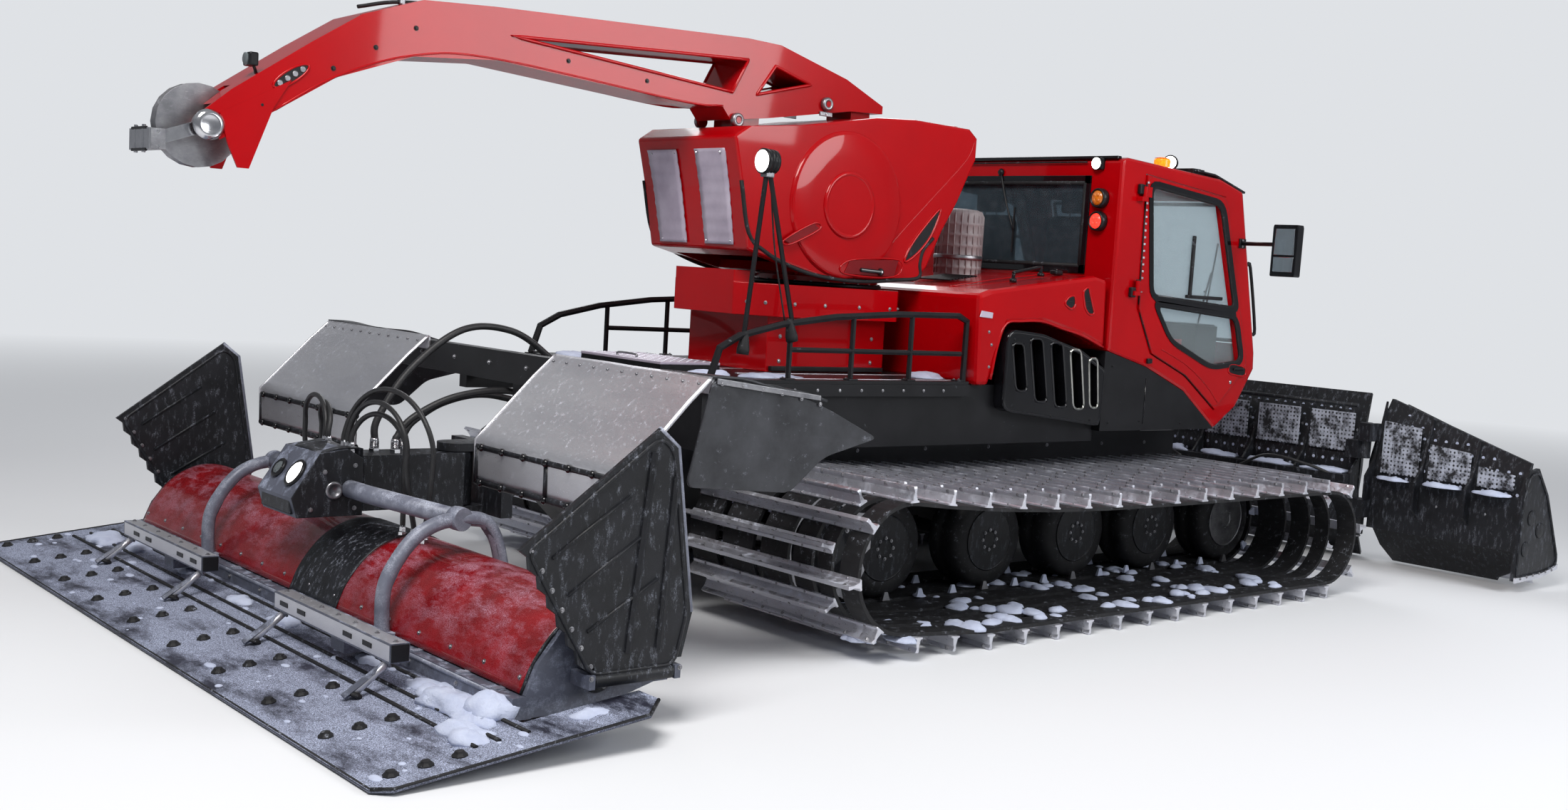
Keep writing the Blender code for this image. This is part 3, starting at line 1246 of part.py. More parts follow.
def cab():
    outline = cab_points(CAB_SIDE_SHARES)
    shell = rounded(sheet_y([outline], -CAB_HALF_WIDTH, CAB_HALF_WIDTH), CAB_ROUND, 2, 50)
    inside = CAB_HALF_WIDTH - CAB_WALL
    cutters = [sheet_y([widened(outline, -CAB_WALL)], -inside, inside)]
    through = CAB_HALF_WIDTH + CUT_OVERRUN
    cutters.append(sheet_y([cab_points(DOOR_SIDE_SHARES)], -through, through))
    cutters.append(box(
        (CAB_REAR_X - CUT_OVERRUN, -REAR_WINDOW_HALF_WIDTH, REAR_WINDOW_LOW_Z),
        (CAB_REAR_X + CAB_WALL + CUT_OVERRUN / 2, REAR_WINDOW_HALF_WIDTH, REAR_WINDOW_TOP_Z),
    ))
    cutters.append(sheet_y([cab_points(SCREEN_SIDE_SHARES)], -SCREEN_HALF_WIDTH, SCREEN_HALF_WIDTH))
    shell = cut(shell, cutters)
    extras = [
        box(
            (CAB_REAR_X + CAB_WALL / 2, -FLOOR_HALF_WIDTH, SEAT_BASE_Z - FLOOR_THICKNESS),
            (SEAT_REAR_X + SEAT_DEPTH + CONSOLE_WIDTH, FLOOR_HALF_WIDTH, SEAT_BASE_Z),
        ),
    ]
    for y in (1, -1):
        extras += hinge_brackets(y, HINGE_SEAT)
        for share in TAIL_LAMP_SHARES:
            z = CAB_LOW_Z + share * CAB_HEIGHT
            back = CAB_REAR_X - TAIL_LAMP_DEPTH
            extras.append(
                rod(
                    (back, y * TAIL_LAMP_Y, z), (CAB_REAR_X + WELD_DEPTH, y * TAIL_LAMP_Y, z),
                    TAIL_LAMP_RADIUS,
                )
            )
        foot = (MIRROR_FOOT_X, y * (CAB_HALF_WIDTH - CAB_WALL / 2), MIRROR_FOOT_Z)
        bend = (MIRROR_X, y * MIRROR_Y, MIRROR_FOOT_Z)
        end = (MIRROR_X, y * MIRROR_Y, MIRROR_LOW_Z + (MIRROR_TOP_Z - MIRROR_LOW_Z) / 2)
        extras.append(tube([foot, bend, end], MIRROR_ARM_RADIUS))
        a, b = side(y, MIRROR_Y - MIRROR_WIDTH / 2, MIRROR_Y + MIRROR_WIDTH / 2)
        extras.append(box(
            (MIRROR_X - MIRROR_THICKNESS / 2, a, MIRROR_LOW_Z), (
                MIRROR_X + MIRROR_THICKNESS / 2, b, MIRROR_TOP_Z,
            ),
        ))
        top = Vector((BEACON_X, y * BEACON_Y, roof_height(BEACON_X)))
        ahead = Vector((ROOF_LAMP_X, y * BEACON_Y, roof_height(ROOF_LAMP_X)))
        up = Vector((0, 1, 0)).cross(top - ahead).normalized()
        extras.append(rod(top - up * CAB_WALL / 2, top + up * BEACON_HEIGHT, BEACON_RADIUS))
    part("cab_shell", joined([shell] + extras), "red_paint")
    pane = cab_points(SCREEN_SIDE_SHARES)
    mid = [((a[0] + b[0]) / 2, (a[1] + b[1]) / 2) for a, b in zip(pane, pane[::-1])][:2]
    half = SCREEN_HALF_WIDTH - TOUCH_GAP
    low, high = Vector(mid[0]), Vector(mid[1])
    lift = (high - low).normalized() * GLASS_THICKNESS
    line = [tuple(low + lift), tuple(high - lift)]
    part("windscreen", sheet_y([both_ways(line, GLASS_THICKNESS)], -half, half), "glass")
    x = CAB_REAR_X + CAB_WALL / 2
    wide = REAR_WINDOW_HALF_WIDTH - TOUCH_GAP
    part("rear_glass", box(
        (x, -wide, REAR_WINDOW_LOW_Z + TOUCH_GAP), (x + GLASS_THICKNESS, wide, REAR_WINDOW_TOP_Z - TOUCH_GAP),
    ), "glass")


def doors():
    outline = widened(cab_points(DOOR_SIDE_SHARES), -SWING_GAP)
    windows = [cab_points(DOOR_WINDOW_SHARES), cab_points(DOOR_LOW_WINDOW_SHARES)]
    for name, y in (("left", 1), ("right", -1)):
        a, b = side(y, CAB_HALF_WIDTH - CAB_WALL, CAB_HALF_WIDTH + DOOR_PROUD)
        leaf = sheet_y([outline] + windows, a, b)
        out = y * (CAB_HALF_WIDTH + HINGE_OUT + DOOR_PROUD)
        knuckles, bores = [], []
        for z in (HINGE_LOW_Z, HINGE_TOP_Z):
            low = z + TOUCH_GAP
            knuckles.append(rod((HINGE_X, out, low), (HINGE_X, out, low + HINGE_HEIGHT), HINGE_BARREL_RADIUS))
            near, far = side(y, CAB_HALF_WIDTH + DOOR_PROUD - WELD_DEPTH, abs(out) + WELD_DEPTH)
            knuckles.append(box((HINGE_X, near, low), (HINGE_X + HINGE_HEIGHT, far, low + HINGE_HEIGHT)))
            bores.append(bore(
                (HINGE_X, out, low - CUT_OVERRUN / 2), (HINGE_X, out, low + HINGE_HEIGHT + CUT_OVERRUN / 2),
                HINGE_PIN_RADIUS,
            ))
        door = cut(joined([leaf] + knuckles), bores)
        part("door_" + name, door, "red_paint", (HINGE_X, out, 0))
        inner = CAB_HALF_WIDTH - CAB_WALL - TOUCH_GAP
        a, b = side(y, inner - GLASS_THICKNESS, inner)
        pane = sheet_y([widened(outline, -PANE_MARGIN)], a, b)
        part("door_glass_" + name, pane, "glass", (HINGE_X, out, 0))


def cab_inside():
    base_top = SEAT_BASE_Z + TOUCH_GAP
    front = SEAT_REAR_X + SEAT_DEPTH
    wide = SEAT_SPACING + SEAT_HALF_WIDTH
    pieces = [box((SEAT_REAR_X, -wide, base_top), (front, wide, base_top + SEAT_BASE_THICKNESS))]
    for y in (SEAT_SPACING, -SEAT_SPACING):
        low, high = y - SEAT_HALF_WIDTH, y + SEAT_HALF_WIDTH
        narrow = SEAT_HALF_WIDTH / 2
        pieces.append(
            box((SEAT_REAR_X, y - narrow, base_top), (front - SEAT_CUSHION, y + narrow, SEAT_CUSHION_Z))
        )
        pieces.append(
            box(
                (SEAT_REAR_X, low, SEAT_CUSHION_Z - SEAT_BASE_THICKNESS),
                (front, high, SEAT_CUSHION_Z + SEAT_CUSHION / 2),
            )
        )
        pieces.append(
            box(
                (SEAT_REAR_X - SEAT_BACK_THICKNESS / 2, low, SEAT_CUSHION_Z),
                (SEAT_REAR_X + SEAT_BACK_THICKNESS / 2, high, SEAT_BACK_Z),
            )
        )
        pieces.append(box(
            (
                SEAT_REAR_X - SEAT_BACK_THICKNESS / 3, y - HEADREST_HALF_WIDTH,
                SEAT_BACK_Z - SEAT_BASE_THICKNESS,
            ),
            (SEAT_REAR_X + SEAT_BACK_THICKNESS / 3, y + HEADREST_HALF_WIDTH, HEADREST_Z),
        ))
    part("seats", joined(pieces), "rubber")
    low = SEAT_BASE_Z + TOUCH_GAP
    top = DASH_TOP_Z
    half = CONSOLE_WIDTH / 2
    column = box((front + TOUCH_GAP, -half, low), (front + CONSOLE_WIDTH, half, top))
    bridge = box(
        (front + half, -half + WELD_DEPTH, top - SEAT_BASE_THICKNESS),
        (DASH_X + WELD_DEPTH, half - WELD_DEPTH, top),
    )
    dash = box((DASH_X, -DASH_HALF_WIDTH, top - DASH_HEIGHT), (DASH_X + DASH_DEPTH, DASH_HALF_WIDTH, top))
    part("control_console", joined([column, bridge, dash]), "black_paint")


def roof_lamps():
    low = roof_height(ROOF_LAMP_X) + TOUCH_GAP
    front = ROOF_LAMP_X + ROOF_LAMP_DEPTH
    pieces = [
        box(
            (ROOF_LAMP_X, -ROOF_LAMP_HALF_WIDTH, low),
            (front, ROOF_LAMP_HALF_WIDTH, low + ROOF_LAMP_HEIGHT),
        )
    ]
    spacing = (2 * ROOF_LAMP_HALF_WIDTH - ROOF_LAMP_BLOCK) / (ROOF_LAMP_COUNT - 1)
    for n in range(ROOF_LAMP_COUNT):
        y = -ROOF_LAMP_HALF_WIDTH + ROOF_LAMP_BLOCK / 2 + n * spacing
        half = ROOF_LAMP_BLOCK / 2
        pieces.append(box(
            (front - WELD_DEPTH, y - half, low + WELD_DEPTH),
            (front + ROOF_LAMP_HEIGHT, y + half, low + ROOF_LAMP_HEIGHT - WELD_DEPTH / 2),
        ))
    part("roof_lamp_bar", joined(pieces), "black_paint")


# Winch turret and boom


def winch_housing():
    foot_low = BODY_TOP_Z + DECK_THICKNESS + 2 * TOUCH_GAP
    low, high = PEDESTAL_REAR_X + PEDESTAL_CORNER, PEDESTAL_FRONT_X - PEDESTAL_CORNER
    wide = PEDESTAL_HALF_WIDTH - PEDESTAL_CORNER / 2
    foot = box((low, -wide, foot_low), (high, wide, PEDESTAL_LOW_Z + WELD_DEPTH))
    corners = []
    for x_edge, y_edge, first in ((0, 0, "y"), (1, 0, "x"), (1, 1, "y"), (0, 1, "x")):
        x = PEDESTAL_FRONT_X if x_edge else PEDESTAL_REAR_X
        y = PEDESTAL_HALF_WIDTH if y_edge else -PEDESTAL_HALF_WIDTH
        x_in = x - PEDESTAL_CORNER if x_edge else x + PEDESTAL_CORNER
        y_in = y - PEDESTAL_CORNER if y_edge else y + PEDESTAL_CORNER
        pair = [(x, y_in), (x_in, y)]
        corners += pair if first == "y" else pair[::-1]
    pedestal = sheet_z([corners], PEDESTAL_LOW_Z, PEDESTAL_TOP_Z)
    back = box(
        (PEDESTAL_REAR_X, -wide + PEDESTAL_CORNER / 2, PEDESTAL_TOP_Z - WELD_DEPTH),
        (
            PEDESTAL_REAR_X + PEDESTAL_BACK_DEPTH, wide - PEDESTAL_CORNER / 2,
            PEDESTAL_TOP_Z + PEDESTAL_BACK_RISE,
        ),
    )
    ring_top = HOUSING_LOW_Z - TOUCH_GAP
    ring = rod((SLEW_X, 0, PEDESTAL_TOP_Z - WELD_DEPTH), (SLEW_X, 0, ring_top), SLEW_RING_RADIUS, FINE_STEPS)
    part("winch_pedestal", joined([foot, pedestal, back, ring]), "red_paint")
    start = (HOUSING_REAR_X, HOUSING_LOW_Z)
    span = (HOUSING_LENGTH, HOUSING_HEIGHT)
    outline = spread(HOUSING_SIDE_SHARES, start, span)
    shell = rounded(sheet_y([outline], -HOUSING_HALF_WIDTH, HOUSING_HALF_WIDTH), HOUSING_ROUND, 3, 60)
    inside = HOUSING_HALF_WIDTH - HOUSING_ROUND / 2
    hollow = sheet_y([spread(HOUSING_HOLLOW_SHARES, start, span)], -inside, inside)
    shell = cut(shell, [hollow])
    pieces = [shell]
    for y in (1, -1):
        a, b = side(y, HOUSING_HALF_WIDTH - WELD_DEPTH, HOUSING_HALF_WIDTH + DISC_PROUD)
        pieces.append(rod((DISC_X, a, DISC_Z), (DISC_X, b, DISC_Z), DISC_RADIUS, FINE_STEPS))
        a, b = side(y, HOUSING_HALF_WIDTH, HOUSING_HALF_WIDTH + 2 * DISC_PROUD)
        pieces.append(rod((DISC_X, a, DISC_Z), (DISC_X, b, DISC_Z), DISC_RING_RADIUS, FINE_STEPS))
    under = spread(BOOM_UNDER_SHARES, (BOOM_TIP_X, BOOM_LOW_Z), (BOOM_LENGTH, BOOM_HEIGHT))
    for rear in BOOM_FOOT_X:
        line = [(x, height_at(under, x) - TOUCH_GAP) for x in (rear, rear + BOOM_FOOT_LENGTH)]
        low = line[0][1] - BOOM_FOOT_DEPTH
        foot = line[::-1] + [(line[0][0], low), (line[1][0], low)]
        pieces.append(sheet_y([foot], -BOOM_FOOT_HALF_WIDTH, BOOM_FOOT_HALF_WIDTH))
    part("winch_housing", joined(pieces), "red_paint", (SLEW_X, 0, 0))
    inner = inside - TOUCH_GAP
    drum = rod((DRUM_X, -DRUM_HALF_WIDTH, DRUM_Z), (DRUM_X, DRUM_HALF_WIDTH, DRUM_Z), DRUM_RADIUS, FINE_STEPS)
    shaft = rod((DRUM_X, -inner, DRUM_Z), (DRUM_X, inner, DRUM_Z), SHEAVE_CAP_RADIUS)
    flanges = []
    for y in (1, -1):
        a, b = side(y, DRUM_HALF_WIDTH - DRUM_FLANGE, DRUM_HALF_WIDTH)
        flanges.append(rod((DRUM_X, a, DRUM_Z), (DRUM_X, b, DRUM_Z), DRUM_FLANGE_RADIUS, FINE_STEPS))
    part("winch_drum", joined([drum, shaft] + flanges), "steel", (SLEW_X, 0, 0))


def boom():
    start = (BOOM_TIP_X, BOOM_LOW_Z)
    span = (BOOM_LENGTH, BOOM_HEIGHT)
    top = spread(BOOM_TOP_SHARES, start, span)
    under = spread(BOOM_UNDER_SHARES, start, span)
    outline = top + under[::-1]
    openings = [spread(BOOM_LONG_OPENING_SHARES, start, span), spread(BOOM_SHORT_OPENING_SHARES, start, span)]
    beam = sheet_y([outline] + openings, -BOOM_HALF_WIDTH, BOOM_HALF_WIDTH)
    inner_y = BOOM_HALF_WIDTH - BOOM_WALL
    hollow = sheet_y(
        [widened(outline, -BOOM_WALL)] + [widened(hole, BOOM_WALL) for hole in openings], -inner_y, inner_y,
    )
    fork_end = SHEAVE_X + FORK_LENGTH
    nose = BOOM_TIP_X - CUT_OVERRUN - BOOM_WALL
    fork = box((nose, -inner_y, SHEAVE_Z - FORK_LENGTH), (fork_end, inner_y, SHEAVE_Z + SHEAVE_RADIUS / 2))
    slot_y = SHEAVE_WIDTH / 2 + SWING_GAP
    reach = SHEAVE_RADIUS + SWING_GAP
    groove = box((nose, -slot_y, SHEAVE_Z - FORK_LENGTH), (SHEAVE_X + reach, slot_y, SHEAVE_Z + reach))
    beam = cut(beam, [hollow, fork, groove])
    pin = rod(
        (SHEAVE_X, -BOOM_HALF_WIDTH - SHEAVE_CAP, SHEAVE_Z),
        (SHEAVE_X, BOOM_HALF_WIDTH + SHEAVE_CAP, SHEAVE_Z), SHEAVE_PIN_RADIUS,
    )
    caps = []
    for y in (1, -1):
        a, b = side(y, BOOM_HALF_WIDTH - WELD_DEPTH, BOOM_HALF_WIDTH + SHEAVE_CAP)
        caps.append(rod((SHEAVE_X, a, SHEAVE_Z), (SHEAVE_X, b, SHEAVE_Z), SHEAVE_CAP_RADIUS))
        for x, z in spread(BOOM_PIN_SHARES, start, span):
            a, b = side(y, inner_y + WELD_DEPTH, BOOM_HALF_WIDTH + BOOM_PIN_PROUD)
            caps.append(rod((x, a, z), (x, b, z), BOOM_PIN_RADIUS))
    outline = spread(TIP_GUARD_SHARES, (TIP_GUARD_X, TIP_GUARD_Z), (TIP_GUARD_LENGTH, TIP_GUARD_HEIGHT))
    for y in (1, -1):
        a, b = side(y, BOOM_HALF_WIDTH - WELD_DEPTH, BOOM_HALF_WIDTH + TIP_GUARD_THICKNESS)
        caps.append(sheet_y([outline], a, b))
    part("boom", joined([beam, pin] + caps), "red_paint", (SLEW_X, 0, 0))
    half = SHEAVE_WIDTH / 2
    rim = (SHEAVE_RADIUS, half)
    groove_r = SHEAVE_RADIUS - SHEAVE_GROOVE
    hub = (SHEAVE_PIN_RADIUS + PIN_GAP) / math.cos(math.pi / FINE_STEPS)
    profile = [(hub, half), rim, (groove_r, 0), (SHEAVE_RADIUS, -half), (hub, -half), (hub, half)]
    part(
        "boom_sheave", turned_y(profile, (SHEAVE_X, 0, SHEAVE_Z), FINE_STEPS), "bare_sheet",
        (SHEAVE_X, 0, SHEAVE_Z),
    )
    end = (SHEAVE_X - GUIDE_LENGTH, SHEAVE_Z - GUIDE_DROP)
    pieces = []
    for y in (1, -1):
        a, b = side(y, GUIDE_ARM_Y - GUIDE_ARM, GUIDE_ARM_Y)
        along = both_ways([(SHEAVE_X, SHEAVE_Z + GUIDE_ARM), (end[0], end[1] + GUIDE_ARM)], -2 * GUIDE_ARM)
        pieces.append(sheet_y([along], a, b))
        pieces.append(rod((SHEAVE_X, a, SHEAVE_Z), (SHEAVE_X, b, SHEAVE_Z), GUIDE_EYE_RADIUS))
    pieces.append(box(
        (end[0] - GUIDE_BOX / 2, -GUIDE_ARM_Y, end[1] - GUIDE_BOX),
        (SHEAVE_X - SHEAVE_RADIUS - SWING_GAP, GUIDE_ARM_Y, end[1] + GUIDE_BOX),
    ))
    ends = [(SHEAVE_X, y, SHEAVE_Z) for y in (-BOOM_HALF_WIDTH, BOOM_HALF_WIDTH)]
    through = bore(ends[0], ends[1], SHEAVE_PIN_RADIUS)
    part("rope_guide", cut(joined(pieces), [through]), "bare_sheet", (SHEAVE_X, 0, SHEAVE_Z))


# Front blade


def push_frame():
    low, high = PUSH_FRONT_LOW_Z, PUSH_FRONT_LOW_Z + PUSH_FRONT_HEIGHT
    half = PUSH_ARM_DEPTH / 2
    back = PUSH_FRONT_X - PUSH_CROSS_DEPTH
    arm = [
        (PUSH_PIVOT_X, PUSH_PIVOT_Z - half), (PUSH_PIVOT_X, PUSH_PIVOT_Z + half),
        (back + WELD_DEPTH, high - WELD_DEPTH), (back + WELD_DEPTH, high - PUSH_ARM_DEPTH),
    ]
    pieces, bores = [], []
    for y in (1, -1):
        a, b = side(y, PUSH_ARM_Y - PUSH_ARM_WIDTH / 2, PUSH_ARM_Y + PUSH_ARM_WIDTH / 2)
        pieces.append(sheet_y([arm], a, b))
        pieces.append(
            rod(
                (PUSH_PIVOT_X, a, PUSH_PIVOT_Z), (PUSH_PIVOT_X, b, PUSH_PIVOT_Z), PUSH_EYE_RADIUS,
                FINE_STEPS,
            )
        )
    wide = PUSH_ARM_Y + PUSH_ARM_WIDTH / 2
    pieces.append(box((back, -wide, low), (PUSH_FRONT_X, wide, high)))
    for a, b in ((low, low + KING_EAR), (high - KING_EAR, high)):
        ear_y = KING_BOSS_RADIUS - WELD_DEPTH
        pieces.append(box(
            (PUSH_FRONT_X - PUSH_CROSS_DEPTH / 2, -ear_y, a + WELD_DEPTH), (KING_X, ear_y, b - WELD_DEPTH),
        ))
        pieces.append(rod((KING_X, 0, a), (KING_X, 0, b), KING_BOSS_RADIUS, FINE_STEPS))
    bores.append(
        bore((KING_X, 0, low - CUT_OVERRUN), (KING_X, 0, high + CUT_OVERRUN), KING_RADIUS, FINE_STEPS)
    )
    reach = wide + CUT_OVERRUN
    ends = [(PUSH_PIVOT_X, y, PUSH_PIVOT_Z) for y in (-reach, reach)]
    bores.append(bore(ends[0], ends[1], PUSH_PIN_RADIUS, FINE_STEPS))
    frame = cut(joined(pieces), bores)
    part("push_frame", frame, "black_paint", (PUSH_PIVOT_X, 0, PUSH_PIVOT_Z))
    a, b = low + KING_EAR + RUN_CLEARANCE, high - KING_EAR - RUN_CLEARANCE
    block = box((KING_X, -SWIVEL_HALF_WIDTH, a), (SWIVEL_FRONT_X, SWIVEL_HALF_WIDTH, b))
    boss = rod((KING_X, 0, a), (KING_X, 0, b), KING_BOSS_RADIUS - RUN_CLEARANCE, FINE_STEPS)
    king = rod((KING_X, 0, low), (KING_X, 0, high), KING_RADIUS, FINE_STEPS)
    tilt = rod(
        (SWIVEL_FRONT_X - WELD_DEPTH, 0, TILT_Z), (SWIVEL_FRONT_X + TILT_PIN_LENGTH, 0, TILT_Z),
        TILT_PIN_RADIUS, FINE_STEPS,
    )
    part("blade_swivel", joined([block, boss, king, tilt]), "steel", (KING_X, 0, TILT_Z))


def face_points():
    return spread(BLADE_FACE_SHARES, (BLADE_BACK_X, BLADE_LOW_Z), (BLADE_DEPTH, BLADE_HEIGHT))


def ribs(places):
    outline = spread(RIB_SHARES, (BLADE_BACK_X, BLADE_LOW_Z), (BLADE_DEPTH, BLADE_HEIGHT))
    return [sheet_y([outline], y - RIB_THICKNESS / 2, y + RIB_THICKNESS / 2) for y in places]


def mitre(y, edge, way):
    """A cutter that bevels a mouldboard edge beside a wing hinge, so that the wing can fold forward."""
    start = WING_HINGE_X + WING_BARREL_RADIUS + RUN_CLEARANCE
    end = BLADE_BACK_X + BLADE_DEPTH + CUT_OVERRUN
    far = edge + way * (end - start) * WING_MITRE_SLOPE
    past = edge - way * CUT_OVERRUN
    outline = [(start, y * edge), (end, y * far), (end, y * past), (start, y * past)]
    return sheet_z([outline], BLADE_LOW_Z - CUT_OVERRUN, BLADE_LOW_Z + BLADE_HEIGHT + CUT_OVERRUN)


def blade():
    face = both_ways(face_points(), -BLADE_PLATE)
    board = sheet_y([face], -BLADE_HALF_WIDTH, BLADE_HALF_WIDTH)
    inset = RIB_THICKNESS
    beam = box(
        (BLADE_BEAM_X, -BLADE_HALF_WIDTH + inset, BLADE_BEAM_LOW_Z),
        (BLADE_BEAM_X + BLADE_BEAM_DEPTH, BLADE_HALF_WIDTH - inset, BLADE_BEAM_TOP_Z),
    )
    spacing = 2 * (BLADE_HALF_WIDTH - inset) / (RIB_COUNT - 1)
    places = [-BLADE_HALF_WIDTH + inset + n * spacing for n in range(RIB_COUNT)]
    pieces = [board, beam] + ribs(places)
    bores = [bore(
        (BLADE_BEAM_X - CUT_OVERRUN, 0, TILT_Z), (
            SWIVEL_FRONT_X + TILT_PIN_LENGTH + RUN_CLEARANCE, 0, TILT_Z,
        ),
        TILT_PIN_RADIUS, FINE_STEPS,
    )]
    bores += [mitre(y, BLADE_HALF_WIDTH, -1) for y in (1, -1)]
    for y in (1, -1):
        for share in WING_BARREL_SHARES:
            z = BLADE_LOW_Z + share * BLADE_HEIGHT
            top = z + WING_BARREL_HEIGHT
            place = y * WING_HINGE_Y
            pieces.append(rod((WING_HINGE_X, place, z), (WING_HINGE_X, place, top), WING_BARREL_RADIUS))
            a, b = side(y, BLADE_HALF_WIDTH - 3 * inset, WING_HINGE_Y)
            pieces.append(box((WING_HINGE_X - 2 * WING_BARREL_RADIUS, a, z), (WING_HINGE_X, b, top)))
            a, b = side(y, BLADE_HALF_WIDTH - 3 * inset, BLADE_HALF_WIDTH - WELD_DEPTH)
            reach = BLADE_BACK_X + WING_BRACKET_SHARE * BLADE_DEPTH
            pieces.append(
                box((WING_HINGE_X - WING_BARREL_RADIUS, a, z + WELD_DEPTH), (reach, b, top - WELD_DEPTH))
            )
            bores.append(bore(
                (WING_HINGE_X, place, z - CUT_OVERRUN / 2), (WING_HINGE_X, place, top + CUT_OVERRUN / 2),
                WING_PIN_RADIUS,
            ))
    part("blade_centre", cut(joined(pieces), bores), "black_paint", (SWIVEL_FRONT_X, 0, TILT_Z))


def blade_wings():
    face = both_ways(face_points(), -BLADE_PLATE)
    top_z = BLADE_LOW_Z + BLADE_HEIGHT
    tip_z = BLADE_LOW_Z + WING_TIP_SHARE * BLADE_HEIGHT
    near = WING_HINGE_Y + WING_BARREL_RADIUS + RIB_THICKNESS
    board = sheet_y([face], WING_INNER_Y, WING_OUTER_Y)
    step = (WING_OUTER_Y - near) / WING_RIB_COUNT
    rib_places = [near + n * step for n in range(WING_RIB_COUNT)]
    back = box(
        (BLADE_BACK_X - RIB_THICKNESS, near, BLADE_BEAM_LOW_Z),
        (BLADE_BEAM_X + BLADE_BEAM_DEPTH, WING_OUTER_Y - RIB_THICKNESS, BLADE_BEAM_TOP_Z),
    )
    pieces = [board, back] + ribs(rib_places)
    over = CUT_OVERRUN
    front, rear = BLADE_BACK_X + BLADE_DEPTH + over, BLADE_BEAM_X - over
    slope = [
        (WING_INNER_Y, top_z), (WING_INNER_Y, top_z + over), (WING_OUTER_Y + over, top_z + over),
        (WING_OUTER_Y + over, tip_z),
    ]
    corner_y = WING_OUTER_Y - WING_CORNER
    lower = [
        (corner_y, BLADE_LOW_Z - over), (corner_y, BLADE_LOW_Z), (
            WING_OUTER_Y + WELD_DEPTH, BLADE_LOW_Z + WING_CORNER / 2,
        ),
        (WING_OUTER_Y + over, BLADE_LOW_Z - over),
    ]
    wing = cut(joined(pieces), [sheet_x([slope], rear, front), sheet_x([lower], rear, front)])
    start, span = (BLADE_BACK_X, BLADE_LOW_Z), (FRONT_END_X - BLADE_BACK_X, BLADE_HEIGHT)
    end = sheet_y([spread(WING_END_SHARES, start, span)], WING_OUTER_Y - WING_SIDE_THICKNESS, WING_OUTER_Y)
    pieces = [wing, end]
    for share in WING_BARREL_SHARES:
        z = BLADE_LOW_Z + share * BLADE_HEIGHT
        low = z + WING_BARREL_HEIGHT + TOUCH_GAP
        high = low + WING_BARREL_HEIGHT
        pieces.append(
            rod((WING_HINGE_X, WING_HINGE_Y, low), (WING_HINGE_X, WING_HINGE_Y, high), WING_BARREL_RADIUS)
        )
        pieces.append(
            rod((WING_HINGE_X, WING_HINGE_Y, z), (WING_HINGE_X, WING_HINGE_Y, high), WING_PIN_RADIUS)
        )
        pieces.append(box(
            (WING_HINGE_X - 2 * WING_BARREL_RADIUS, WING_HINGE_Y, low),
            (WING_HINGE_X, WING_INNER_Y + 4 * RIB_THICKNESS, high),
        ))
        reach = BLADE_BACK_X + WING_BRACKET_REACH_SHARE * BLADE_DEPTH
        pieces.append(box(
            (WING_HINGE_X - WING_BARREL_RADIUS, WING_INNER_Y + WELD_DEPTH, low + WELD_DEPTH),
            (reach, WING_INNER_Y + 3 * RIB_THICKNESS, high - WELD_DEPTH),
        ))
    left = cut(joined(pieces), [mitre(1, WING_INNER_Y, 1)])
    right = mirrored(left)
    part("blade_wing_left", left, "black_paint", (WING_HINGE_X, WING_HINGE_Y, TILT_Z))
    part("blade_wing_right", right, "black_paint", (WING_HINGE_X, -WING_HINGE_Y, TILT_Z))


# Rear tiller


